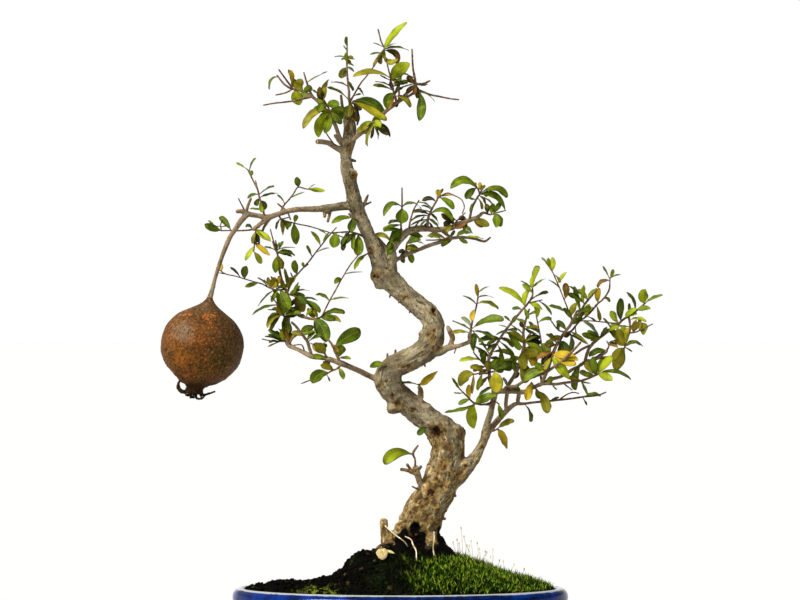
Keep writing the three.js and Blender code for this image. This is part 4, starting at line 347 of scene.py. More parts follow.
    "upper_withered": """
450 229 -7 1.6, 457 221 -13 .9, 465 213 -15 .7
| 457 221 448 216 442 218 5 k 3, 453 225 448 226 446 233 5 o -6
| 453 225 444 217 441 214 4 k, 453 224 452 218 449 214 4 k -5, 454 223 448 221 443 224 4 k 4,
458 220 461 216 466 219 5 k, 454 224 458 228 463 226 5 r -4, 452 226 446 222 444 227 4 k 6""",
    "upper_tip": """
464 222.5 -11.5 2.4, 473 219 -14 2.2, 478 217 -16 2, 483 213 -17 1.3, 490 215 -19 .8, 497 213 -21 .7,
505 211 -24 .6;
469 221 -13 1.4, 472 208 -18 1.1, 477 198 -22 1, 479 194 -24 .9, 475 185 -26 .6;
479 194 -24 .8, 484 187 -23 .6
| 477 190 463 168 450 190 7.5 g, 475 189 468 191 466 200 7 g -8, 475 202 471 205 470 213 2.5 g,
480 195 500 187 505 211 6.5 g, 480 194 499 180 507 198 6 g 12, 492 214 496 209 500 203 5 g,
493 214 499 219 495 228 8 g -8, 488 214 486.5 209 487 204 5 k, 472 219 480 221 489 226 7 o -6,
480 192 481 188 480 184 3 o 6, 461 225 467 226 472 234 4 d -8
| 479 196 488 199 492 206 1.5 d, 479 197 484 198 485 205 2.5 r, 478 198 482 203 481 210 2.5 o,
476 200 471 201 466 197 2.5 g, 475 186 476 185 474 183 2 y, 478 190 482 188 485 186 3 y,
478 191 481 186 479 183 3 y 4, 476 188 473 187 472 184 2 o, 468 221 462 226 455 229 4 r,
466 222 466 226 463 231 4 r 4, 473 219 477 224 483 227 5 r -3, 491 214 490 208 494 204 5 g 6,
493 214 502 217 500 227 5 g 8, 480 196 484 193 487 197 3 o""",
    "upper_low_tip": """
448 238.5 14 1.9, 462 237 17 1.5, 475 238.5 19 1.3, 485 241 20 1.2, 491 237 20 .8;
453 237.5 15 1.2, 444 239 9 .8, 434 240 8 .7, 426 240 8 .6
| 458 237.5 463 241 468 243 4 g, 464 237 474 236 484 239 2.5 b -6, 450 238 447 242 441 246 4 g -8,
441 239 434 234 427 236 3 b
| 446 238.6 436 233 428 235.5 4.5 o 6, 456 237.4 462 228 471 233 4.5 g 6, 450 238 444 233 446 228 3 k,
449 238 453 235 455 230 3 k, 454 237.5 449 243 442 247 3 g 5""",
    "upper_low_base": """
406 255.5 13 1.8, 406 250 18 1, 407 243 20 .9, 409 240 21 .7;
404 256.5 12 1.4, 403 259 5 .9
| 406 251 409 242 419 249 4.5 o 4, 406 250 413 256 412 263 6 g 5, 406 250 400 255 404 263 5 d 6,
408 241 414 234 423 236 6 d
| 409 241 419 240 426 245 1.3 d, 406 250 413 247 419 251 3.5 g -5, 407 244 413 239 421 240 4 d -6,
406 252 401 248 399 253 3.5 k""",
    "crown_left": """
314 98.5 -9.5 1.6, 311 94 -11 1.4, 307 83 -12 1, 304 73 -12 .8;
312 97 -10 1.4, 305 99 -13 1.1, 297 101 -15 1, 288 102.5 -16 .9, 275 104 -18 .8, 264 106 -18 .7;
312 96 -10.5 1.4, 305 93 -8 1.3, 298 90 -5 1.2, 292 89 -3 1.1, 284 84 0 1, 277 75 2 .8;
293 89 -3 1.1, 287 81 -7 1, 279 70 -9 .8;
293 89 -3 1, 286 93 -7 .8, 276 95.5 -9 .7
| 278 77 269 75 270 90 3 g, 293 88 293 78 288 69 4 o 10, 297 90 298 84 302 79 8 o 6,
295 90 296 97 300 105 11 b 5, 303 92 307.5 90 312 87 6 g 6
| 307 83 317 77 328 72.5 1.3 g, 303 92 299 86 294 84 7 o -4, 302 93 308 90 311 86 5 g,
301 91.5 305 96 309 97 5 g -5, 297 90 292 84 295 79 6 o 6, 293 85 294 76 290 70 4 y 4""",
    "crown_spur": """
330 116 -5 1.8, 330 113 -11 1.2, 328 107 -14 .9, 323 101 -16 .8
| 327 105 333 104 340 106 8 d, 325 103 321 107 319 113 7 g -7, 329 110 311 105 304 130 7.5 o,
329 113 314 121 319 138 9.5 b -3, 330 113 330 124 325 134 8 g -12, 330 112 338 113 341 122 11 g -4,
324 102 321 91 329 80 5 o 4, 323 101 319 97 321 91 7 k -6
| 323 101 318 92 312 91 1.3 d, 323 101 318 93 320 88 5 r -9, 330 113 322 108 314 110 6 g,
330 111 337 108 345 112 7 g -8, 330 114 337 118 342 124 6 g 4, 328 108 322 103 318 97 6 g 5,
330 113 324 114 319 120 6 d 5, 324 102 324 94 326 87 5 o -6""",
    "crown_top": """
349 93 4.6 1.3, 348 84 6 1.1, 347 70 6 1, 347 55 7 .9, 347 37 8 .7
| 347 45 344 42 346 36 3 g, 347 62 345 57 347 52 4 b -7, 347 67 351 67 354 72 2.5 d,
347 67 343 70 340 77 7 o, 348 80 351 83 351 88 2.5 d
| 347 57 341 55 334 57 1.3 p, 347 58 351.5 57 355 59 2 d, 347 63 351 63 354 66 2 d,
348 86 340 80.5 331 82 1.6 d, 347 50 345 48 343 45 1.3 d, 347 60 349 55 353 57 3 o,
347 60 343 57 342 60 2.5 o -4, 347 66 346 71 344 76 4 p, 347 59 350 60 350 64 3 r 3,
348 82 352 86 353 91 2.5 k -4""",
    "crown_arch": """
350 101 3.5 1.4, 353 96 8 .9, 361 82 12 .8, 366 76 14 .7, 376 62 17 .7, 384 48 20 .7, 381 40 21 .8,
378 28 22 .8
| 383 49 389 34 407 22 6.5 b, 384 48 386 43 388 39 3 y, 384 48 396 43 409 50 3 g,
384 48 379 64 394 62 4 o -6, 384 49 403 45 396 63 4 r 6, 382 52 376 59 373 67 3.5 o
| 382 46 377.5 43 373 42 1.2 d, 384 47 390 43 396 42 1.2 d, 382 52 376 51 370 54 2 d,
358 87 362 90 364 96 2 d, 354 96 358 93.5 361 94 1.8 k, 357 90 359 87 361 88 1.6 k,
383 49 377 56 381 63 5 o 5, 385 49 394 49 399 57 5 o 9""",
    "crown_mid": """
350 108 3 1.5, 351 104 -3 1.1, 354 101 -6 .9
| 353 101 366 107 387 121 7 m -6, 354 101 374 96 384 118 12 d 6, 351 104 347 110 349 118 9 o -6,
352 103 354 112 353 122 5 y -4, 353 102 359 113 357 126 4 k
| 351 103 341 88 327 88 2 d -4, 353 102 361 98 363 105 4.5 o, 351 106 346 107 343 116 6 g -6,
352 106 356 112 352 120 7 r -8, 352 106 358 113 356 122 4 k -3, 352 104 357 104 361 110 5 o,
353 102 364 103 374 113 6 o 4""",
    "crown_right": """
397 103 3 1.6, 394 93 -3 1.1, 391 82 -7 1, 390 76 -9 .9, 388 68 -11 .8, 386 59 -14 .7
| 390 78 372 64 353 78 5 o, 391 81 396 68 410 64 12 b 4, 392 85 397 82 402 79 3 g -6,
393 91 382 84 373 86 3 o -4, 394 93 384 97 388 110 9 g -7, 395 96 407 95 410 108 5 o -4
| 391 81 384.5 79 380 76 1.6 d, 392 88 383 81 375 82 1.3 d, 387 62 391 67 398 60 5 o -6,
387 61 380 56 384 50 4.5 o 4, 395 95 391 102 389 110 4 r -10, 396 97 398 102 396 107 4 k,
391 81 398 80 405 84 3 k, 393 87 399 82 408 83 4 d, 395 95 400 86 402 76 3 k, 391 80 389 86 394 90 4 k,
394 92 400 90 404 86 3 o 5""",
    "crown_right_tip": """
415 85.5 6.5 1.5, 415 79 6 1.3, 413 68 4 1.1, 412 49 2 .8;
416 84 7 1.3, 424 83 11 1.1, 430 80 13 .9
| 415 81 409 82 408 75 6 r -4, 414 82 404 79.5 397 84 3 g -6
| 414 78 407 73.5 401 73 1.3 d, 415 83 407 86 399 89 1.3 d -5, 415 84 411 79 409 77 4 r -6,
416 85 410 88 407 93 5 r -4, 415 83 416 90 414 95 4 r, 416 85 419 92 417 98 5 k,
418 84 424 86 428 84 2.5 k""",
    "crown_right_low": """
418 90 11 1.5, 420 92 5 .9
| 420 92 425 107 419 121 8.5 d -5
| 421 92 428 91 435 102 1.5 d -4""",
    "crown_lower": """
371 125 -3 1.8, 374 122 -10 1, 374 126 -13 .8
| 374 121 379 121 377 130 9 b -5, 374 124 387 126 390 138 6 k -3, 374 126 379 132 378 140 2.5 g,
374 126 366 134 368 147 3.8 o -4
| 372 124 362 128 357 133 6 o, 373 122 366 122 359 130 5 g, 373 125 379 129 388 136 5 k,
372 124 376 118 382 119 7 g -9, 372 125 369 131 363 133 5 k 5, 373 126 374 132 371 139 3 k""",
    "mid_right": """
469.5 335 -27.5 1.5, 471 325 -29 1.1, 473 317 -30 1, 475 310 -31 .9, 477 300 -32 .8, 478 290 -33 .6
| 478 297 476 291 475 284 4 y, 477 304 487 299 498 309 3.5 b, 475 309 470 313 472 321 5 y,
471 327 468 320 461 317 4 p 8, 471 329 487 313 503 320 6.5 g, 470 331 483 330 493 339 2.5 d -7,
470 333 460 329 451 333 3 o -6
| 478 292 483 287.5 489 286.5 1.5 d, 478 298 486 293 493 298 1.3 p, 476 305 471 299 462 296 2 g,
471 329 462 325 452 321 1.6 d""",
    "right_tall": """
490 380 -10.5 1.9, 489 371 -12 1.7, 489 357 -15 1.6, 496 344 -19 1.4, 505 330 -25 1.3, 513 320 -31 1.2,
521 310 -37 1.2, 527 303 -41 1.1, 531 296 -44 1, 531 288 -46 .8;
489 371 -12 1.1, 484 364 -17 1, 478 358 -20 .9, 473 352 -23 .7;
489 373 -12 1.2, 484 373 -20 1, 478 373 -28 .9, 472 374 -34 .7;
489 372 -12 1, 494 371 -20 .9;
528 301 -42 .8, 536 295 -44 .6;
527 303 -41 .8, 541 300 -38 .6
| 531 289 530 283 531 276 4 b, 531 287 534 275 537 266 4.5 b, 530 293 526 288 521 284 4.5 b,
524 306 515 290 498 288 5.5 b, 524 306 520 298 528 290 5 b, 534 299 540 294 547 292 2.5 d,
528 303 535 304 541 310 4.5 b, 532 302 538 307 536 317 5.5 b, 538 301 545 305 550 315 2.5 g -4,
521 310 516 306 511 309 3 d, 524 308 526 314 527 319 4 g, 518 315 514 317 511 323 4 d,
515 319 519 320 524 322 3 g, 503 332 514 332 524 343 5 o, 506 331 513 341 519 350 5.5 g,
502 337 508 342 513 347 3 g 6, 497 343 504 354 498 366 4.5 g, 499 341 509 349 514 361 3 g 8,
500 338 489 335 478 342 5.5 d, 474 353 472 343 474 333 6.5 g, 480 360 470 356 459 361 3.5 b,
486 367 480 360 484 352 5 d -6, 484 373 478 364 470 368 6 o, 474 373 461 369 460 386 10 o,
473 374 474 384 472 393 4 r, 482 373 480 382 477 390 4.5 g, 494 371 498 381 494 392 13 m -4,
494 371 503 362 514 366 10 d
| 532 287 537 281 544 279 2 d, 530 288 525 284 519 281 1.4 d, 511 322 507 318 503 316 2 d,
507 328 503 326 498 325 1.3 p, 510 325 517 329 522 334 1.3 d, 506 330 501 333 495 335 2 d,
494 348 488 345 478 344 1.3 d, 489 355 482 344 472 331 2 b -8, 489 356 478 350 467 342 2.2 d 8,
500 338 492 340 486 346 4 o, 492 352 502 350 511 354 3.5 o 9, 489 357 484 352 478 350 5 g,
489 358 495 357 501 360 3.5 d 6, 484 364 483 358 480 353 4 g 5, 486 366 478 366 473 371 5 r 4,
489 371 482 369 479 375 4 r, 490 370 499 361 508 366 8 d -6, 490 369 494 362 500 360 7 g -3,
490 365 497 366 503 372 7 g 7, 497 343 490 345 487 352 4 g -9, 500 338 507 339 512 342 3.5 o 5,
489 360 493 366 498 369 6 o 9, 494 348 492 354 487 358 3 g 10, 505 331 512 328 516 331 3 d -5,
489 376 482 380 480 387 3.5 r -5, 490 374 486 368 486 360 4 o -9""",
    "right_front_low": """
492 404 -7 1.8, 484 404 -17 1.1, 480 404 -21 1, 473 402 -28 1, 467 396 -34 .9, 462 391 -38 .8,
457 386 -41 .6;
486 404 -15 1, 494 401 -15 .8, 499 404 -14 .7
| 461 389 455 385 451 377 3 g, 470 399 465 392 469 384 5 y, 475 402 480 392 491 387 2.5 d 8,
475 402 485 394 496 395 7.5 g -8, 476 403 482 400 488 400 3.5 d -9, 470 399 464 399 458 404 4.5 g,
476 403 462 413 444 412 4 g, 474 402 467 416 474 428 10 b, 498 404 500 411 502 419 5 g -5
| 463 392 458 394 453 392 1.5 d""",
    "right_fork": """
489 431 3 1.8, 495 430 -5 1, 498 428 -8 .8
| 497 429 505 420 514 421 5.5 o, 497 429 504 436 507 449 7 y""",
    "right_red": """
508 391 -6 2.4, 508 386 -3 2.1, 515 374 -3 1.9, 520 362 -5 1.8, 523 350 -7 1.7, 524 343 -8 1.6,
523 335 -9 1.5, 524 326 -10 1.3, 526 318 -11 1.1, 529 309 -12 .9
| 525 326 532 328 538 331 3 g, 525 328 531 334 537 334 3 d, 525 342 531 338 537 336 2.5 d,
525 342 538 344 541 358 8.5 b -8, 524 346 538 355 531 366 10 y -8, 523 350 521 360 524 369 9 o -10,
519 365 530 370 524 383 10 o -8, 527 316 533 312 538 312 2.5 g, 521 359 511 362 503 360 3 g 6
| 524 328 520 325 520 321 4 r, 524 344 530 340 530 333 4 r, 525 330 532 325 538 328 3.5 o,
525 341 532 335 540 338 4 k 5, 524 343 533 340 541 343 5 k 8, 523 343 519 335 512 333 6 d 7,
522 355 530 352 538 353 10 o -14, 520 362 526 368 527 380 10 o -12, 521 359 513 356 509 363 6 d 9,
520 363 512 364 505 370 5 k 6, 516 373 512 366 514 358 5 g -7, 509 388 506 380 502 378 3 p -6,
512 379 516 378 519 372 4 o 6, 524 346 519 348 514 345 4 r 9, 523 351 530 347 537 349 6 g 12,
509 386 515 386 520 390 5 d -9""",
    "right_back": """
542 383.5 -4 1.8, 541 375 6 1, 543 355 20 .9, 542 342 26 .8, 539 325 29 .8, 537 315 30 .6
| 543 344 550 346 546 355 9 d, 539 323 546 318 553 319 3 g, 541 334 534 328 529 322 4 g
| 543 355 538 350 537 343 5 k, 542 344 548 344 551 350 6 k 6, 542 365 546 362 549 357 4 k""",
    "right_front": """
534 387 -4 1.8, 534 387 -10 1.1, 531 382 -14 .8;
534 387 -9 1, 537 390 -12 .8
| 531 382 528 391 526 400 7.5 y -5, 537 390 547 397 547 413 9 o -5, 535 389 537 394 541 398 6 d 5""",
    "right_pale": """
546 371.5 -24 1.8, 544 371 -31 .9
| 544 371 533 368 522 381 7.5 g 6
| 545 371 534 366 524 378 9 o 8, 545 371 540 366 533 363 6 g -5""",
    "right_level": """
546 383 -5 1.8, 555 384 -8 1.5, 565 382.5 -11 1.3, 578 381 -13 1.2, 588 378 -15 1.1, 597 374 -18 .9;
563 383 -10 .8, 568 387 -9 .7, 572 390 -8 .6
| 598 373 603 363 612 356 7 b, 595 374 591 364 584 362 2.5 b, 596 374 591 365 592 356 7 g -8,
594 375 587 374 580 373 5 g -8, 598 373 604 374 611 380 7.5 b, 597 373 616 364 631 380 3.8 d,
550 384 549 380 549 376 7 b -8, 580 381 584 389 588 396 3 g
| 552 384 553 388 557 390 1.5 d, 579 381 585 384 591 383 1.5 d, 594 374 588 366 583 363 6 o -6,
596 373 598 365 603 359 5 g 6, 590 377 585 371 579 372 5 r 5, 580 380.5 573 376 566 378 4 o -6,
598 373 592 369 590 362 5 m 5""",
    "right_long": """
517 404 12.5 2, 525 404 14 1.4, 532 403 16 1.2, 545 402 20 1.2, 560 400.5 26 1.1, 575 399 31 1,
585 397.5 34 1, 600 396 38 .9, 608 393 40 .7;
560 400.5 26 .8, 568 395 26 .7, 574 393 27 .6, 580 394 28 .6
| 525 404 533 413 530 422 3 d, 586 397 593 392 602 397 3.5 d -8
| 550 401 555 399 560 398 2 d, 549 402 551 405 553 409 1.5 d, 584 397.5 586 402 588 406 1.6 d""",
    "right_outer": """
593 344 16 1.7, 603 336 18 1.4, 610 331 20 1.3, 618 326 22 1.3, 624 320 24 1.2, 632 315 26 1.1,
640 309 28 1, 647 303 30 .8;
620 324 22 .8, 612 323 20 .7, 592 321 24 .6, 581 321 25 .6
| 646 304 642 297 646 289 9.5 b, 647 303 655 297 665 295 3 g, 638 311 645 306 652 309 5 g,
636 311 639 300 628 292 3.5 d, 622 322 619 310 621 298 8 d, 620 323 613 318 614 311 6.5 b,
626 318 629 311 638 309 5 b, 604 335 611 328 620 327 3 b -8, 600 338 592 338 582 334 6 g,
600 338 595 326 583 321 3.5 p -9
| 600 338 604 331 608 327 2 d, 612 329 610 323 604 318 2 g, 612 329 607 329 602 336 4 g 6,
626 318 633 312 638 314 4 g -6, 622 322 617 327 611 326 4 b 7, 600 338 594 333 588 331 4 d 6,
604 335 598 341 591 341 4 o -8, 632 314 629 308 631 303 3.5 d 5""",
    "right_hanging": """
630 316 25.5 1.4, 631 326 19 1.1, 630 333 15 1.1, 627 341 12 1, 625 348 9 .8;
630 333 15 .9, 637 332 12 .8, 643 329 10 .7, 653 324 8 .6
| 626 345 627 335 622 326 8 b -6, 625 344 618 335 611 330 7 b, 633 332 634 327 639 322 6 o,
640 330 647 319 644 335 8.5 b, 630 320 638 316 647 322 3 b -8, 626 346 635 337 644 347 3.5 d,
625 346 619 344 614 340 4 o -7, 625 348 619 357 617 371 11.5 o, 625 348 617 350 613 359 5 b 8
| 631 327 625 327 620 326 2 d 6, 626 347 629 350 633 352 1.5 d, 625 344 624 335 629 328 6 m -9,
624 345 617 334 610 331 6 o 8, 626 346 620 337 617 328 7 m -12, 631 330 636 326 637 320 4 r -5,
625 348 618 352 612 361 6 o 5, 640 330 641 323 640 318 4 o 6, 626 347 630 342 637 341 3 g""",
    "right_dead": """
584 363 13 1.7, 587 361 8 1.9, 592 361 7 2, 600 356 6 2, 607 351 5 1.8;
587 361 7 1, 580 364 2 .8;
606 352 5 1.1, 609 346 4 .8, 607 341 3 .7
| 581 363 571 376 576 390 7.5 g, 606 350 598 347 589 357 6 d -8, 609 345 612 341 618 348 4.5 r -6
| 608 343 614 339 620 343 1.4 d, 591 361 598 356 605 358 4 r 4, 600 356 605 360 610 358 3.5 o -5,
585 363 590 366 595 366 5 o -5""",
    "right_high": """
556 345 -12 1.8, 563 334 -11 1.6, 570 325 -10 1.5, 573 319 -10 1.4, 580 312 -8 1.3, 584 305 -6 1.2,
588 300 -4 1.1, 593 294 -3 1, 597 290 -2 .8;
563 334 -11 1.2, 571 331 -5 1.1, 578 323 1 1, 587 316 7 1, 593 310 11 1, 598 304 15 1, 604 299 18 .9,
610 290 20 .9, 611 278 20 .6;
572 321 -10 1, 569 313 -11 .8, 563 298 -13 .7, 559 288 -14 .7, 556 281 -15 .7, 551 270 -16 .6;
563 334 -11 1.2, 558 341 -17 1.2, 554 350 -21 1, 550 358 -24 .8;
565 332 -11 .9, 558 330 -14 .8, 550 320 -16 .7
| 610 280 601 278 599 288 4.5 r, 598 303 596 296 600 288 5.5 y -8, 611 278 614 274 614 269 3.5 g,
604 299 608 296 611 302 3 g, 597 305 599 313 600 321 3.5 o, 596 306 592 311 586 313 4 o 8,
585 304 577 296 566 294 4.5 g, 580 312 575 298 574 286 5 b 6, 584 305 579 294 583 285 4.5 b -8,
588 300 590 294 597 288 4.5 g, 585 317 586 311 590 304 5.5 b 6, 577 322 580 313 586 308 5 g -7,
570 317 562 306 548 306 2.5 g, 570 316 570 309 576 303 6 o -7, 559 331 557 327 557 322 3 d -7,
570 331 578 336 588 345 3.5 o -6, 560 340 567 345 564 354 9 d -5, 569 332 579 343 567 355 4 d 7,
556 347 548 337 545 345 3 d 6, 552 355 562 350 577 360 8.5 y -8, 553 352 541 352 536 359 5 r -5,
551 356 560 368 568 378 9 b -5, 551 270 546 264 547.5 258 4 b, 551 271 553 264 552 257 5.5 b 8,
557 283 561 276 566 272.5 3.5 b, 564 300 569 291 564 283 6 r -6
| 610 279 607 271 603 266 1.8 g, 611 278 616 275 622 274.5 1.3 d, 588 300 578 293 568 286 1.5 d,
573 319 575 311 583 308 2 d, 587 316 592 318 596 322 1.6 d, 552 273 546 263 541 257 1.4 p,
553 275 558 277 559 283 2 o -6, 559 288 554 283 548 280 1.6 d, 576 325 574 331 576 338 1.5 d,
563 335 567 338 569 331 5 g, 565 334 576 337 587 344 3 d 5, 553 354 562 362 575 364 8 y -10,
558 340 551 340 549 333 4 r, 557 344 549 348 544 344 4 r 5, 556 343 552 336 545 335 4 o -8,
562 336 555 336 549 342 5 o -4, 553 352 546 357 541 364 5 k 8, 566 330 562 323 556 321 5 d 6,
570 325 576 319 583 318 5 g 9, 572 320 568 312 562 309 5 d -9, 580 312 586 310 590 306 5 g -6,
560 340 562 348 560 354 6 g 8, 551 357 545 362 544 370 5 o -8, 588 300 583 292 577 290 5 g 6""",
}


# Thorns, bare twiglets and short spurs that are too thin for the solids
THORNS = routes("""
246 212 -27 .8, 239.5 199 -29 .6;
331 210 -11 1.6, 328 222 -13 1.3;
287 211 -17 1, 278 204 -15 .8;
288 212 -17 .9, 291 220 -16 .8;
305 353 -7 .9, 302 345 -9 .7, 294 345 -10 .6;
414 229 -1 1, 417 224 -5 .8, 424 217 -8 .7;
363 206 -2 1.4, 371 202 2 .8;
338 148 -3 .9, 333 143 -7 .8, 326 133 -9 .7;
456 347 -21 .9, 454 353 -22 .6;
387 363 -10 1.4, 387.5 353.5 -10 1;
395 360 -11 1.6, 395.5 350 -11 1.2;
377 283 4 1.6, 375.5 286.5 3 .7;
391 293 6 1.6, 389.5 297.5 5 .7;
401 299 4 1.6, 398.6 303 3 .7;
411 308 2 1.6, 409.5 313 1 .7;
424 361 -12 1.6, 425 366.5 -13 .7;
410 365 -12 2, 410 371 -13 1;
420 489 -6 1.2, 416 488 -7 1, 412 486 -8 .8;
455 470 2 2, 462 470 2 1;
451 496 4 2.2, 456 496 4 1.2;
389 550 -20 5, 380 551 -26 5, 380 550 -38 5, 381 549.5 -53 5;
441 518 2 2.2, 445.5 519 2 1.2;
351 160 2 1.8, 355.5 161 2 1.3""")
# Small burrs and bumps: right, down, y, radius across, radius up and down
KNOBS = rows("""
461 437 3 3.5 4, 345 164 -5 4 6, 353 200 -5 5 6, 379 284 6 6 6, 436 322 -2 5 8, 447 441 3 10 9,
392 391 -4 8 7, 425 409 4 8 7, 398 537 -9 6 9, 393 545 -11 6 6, 352 176 -6 5 5, 391 256 2 2.5 3,
328 211 -12 4 3.5, 457 480 2 4 7, 420.5 392 -1 3 6""")
# Knot holes, pits and scars: right, down, radius and how deep
PITS = rows("""
436 431 7 3, 434 310 3.2 2.5, 430 491 6 1.8, 374 276 3.2 2.5, 354 176 2.4 1.6, 369 249 1.6 1,
402 372 1.8 .8, 447 405 1.6 .8, 424 400 2 .8, 396 403 2.2 1, 445 466 3.4 1.2, 441 462 2 1,
423 505 3.5 1.4, 428 497 3 1.4, 437 478 2.4 1, 410 512 2.5 1, 393 396 3 1.5, 466 466 3 1.4,
405 297 1.6 .8, 361 214 1.6 .8, 348 146 2 .9, 417 527 6 4, 414 538 6 3, 420 545 4 2, 386 381 2 1,
422 352 2.4 1, 428 345 1.8 1, 418 335 2.2 1, 434 330 2.2 1.2, 388 268 1.8 .8, 428 448 2.2 1,
450 450 2.4 1, 415 500 2.2 1, 405 520 2.6 1.2""")
# Painted shade that blackens the foot: right, down, radius across, radius up and down
FOOT_SHADE_SPOTS = rows("""
392 552 18 9, 404 543 10 11, 414 528 6 7, 420 540 7 11, 448 548 12 19, 443 536 7 10, 436 560 34 7,
405 533 5 6""")
# Old brown scars in the bark: right, down, radius across, radius up and down
SCARS = rows("""
436 430 10 9, 446 446 8 5, 444 466 5 6, 432 489 11 8, 421 499 9 8, 436 500 6 8, 398 405 7 4, 413 411 3 3,
411 532 12 13, 425 516 8 7, 380 384 5 5, 433 313 4 4, 354 176 4 6, 348 128 3 8, 349 148 3 7, 372 250 3 5,
376 276 5 6, 431 335 5 8, 437 349 7 4, 410 367 4 4, 450 334 7 10, 420.5 390 4 7, 396 411 6 3, 462 474 6 6,
461 433 5 7, 405 366 8 3, 404 298 5 4, 384 530 3 8, 432 447 6 3, 428 480 5 7, 418 508 8 5""")
# Pale faces of cut wood: right, down, y, radius, and the way each one faces
CUTS = [
    (317, 141.5, -5.6, 2.5, (-1, -0.4, 0.1)), (415.5, 466.6, -9.3, 3, (-0.3, -0.5, 1)),
    (401, 469, -10.2, 1.8, (-1, -0.3, 0.2)), (407, 463.6, -10.2, 1.4, (-0.7, -0.3, 0.8)),
    (384, 519.6, -14, 4, (0.1, -0.4, 1)), (382.5, 550.5, -56.2, 5.8, (-0.1, -1, 0.2)),
    (368, 195, 0, 1.1, (0.3, -0.2, 1)), (419, 387, -1.3, 2, (-0.2, -0.5, 1)),
]


# ---- Places and routes ----
def at(right, down, y=0.0):
    return Vector(((ELEVATION_LEFT + right) * MM, y * MM, (ELEVATION_TOP - down) * MM))


def smoothed(route, step=ROUTE_STEP):
    """A route as points in metres with their radius, along one smooth curve through its own points."""
    given = np.array([[*at(*point[:3]), point[3] * MM] for point in route])
    spans = np.linalg.norm(np.diff(given[:, :3], axis=0), axis=1)
    points = []
    for i, span in enumerate(spans):
        before, after = given[max(i - 1, 0)], given[min(i + 2, len(given) - 1)]
        reach_in = spans[i - 1] + span if i else span
        reach_out = span + spans[i + 1] if i + 1 < len(spans) else span
        leave = (given[i + 1] - before) * span / reach_in
        arrive = (after - given[i]) * span / reach_out
        count = max(int(round(span / (step * MM))), 1)
        for t in np.arange(count) / count:
            points.append(
                given[i] * (2 * t**3 - 3 * t**2 + 1)
                + leave * (t**3 - 2 * t**2 + t)
                + given[i + 1] * (3 * t**2 - 2 * t**3)
                + arrive * (t**3 - t**2)
            )
    points.append(given[-1])
    return np.array(points)


def tapered(path, share=0.35):
    """A path with a slimmer point past its end, so that it ends blunt rather than sawn off."""
    heading = path[-1, :3] - path[-2, :3]
    tip = path[-1].copy()
    tip[:3] += heading / np.linalg.norm(heading) * tip[3] * BLUNT_REACH
    tip[3] *= share
    return np.vstack([path, tip])


def circle(count):
    """Angles once round."""
    return [2 * math.pi * j / count for j in range(count)]


def clamped(value):
    return min(max(value, 0), 1)


def lumps(place, layers):
    """How high lumps stand at a place. Each layer is its height, how fine it is and how rough."""
    return sum(height * noise.fractal(place * fine, rough, 2, 3) for height, fine, rough in layers)


# ---- Node trees ----
def sign(operation, swapped=False):
    """The method behind an arithmetic sign between two values."""
    def join(self, other):
        return self.graph.join(operation, *((other, self) if swapped else (self, other)))
    return join


class Value:
    """A socket that takes arithmetic: each sign adds a node to the socket's own tree."""

    __add__, __radd__ = sign("ADD"), sign("ADD", True)
    __sub__, __rsub__ = sign("SUBTRACT"), sign("SUBTRACT", True)
    __mul__, __truediv__, __pow__ = sign("MULTIPLY"), sign("DIVIDE"), sign("POWER")

    def __init__(self, graph, socket):
        self.graph, self.socket = graph, socket

    def clamped(self):
        self.socket.node.use_clamp = True
        return self


def is_vector(value):
    return isinstance(value, tuple) or isinstance(value, Value) and value.socket.type == "VECTOR"


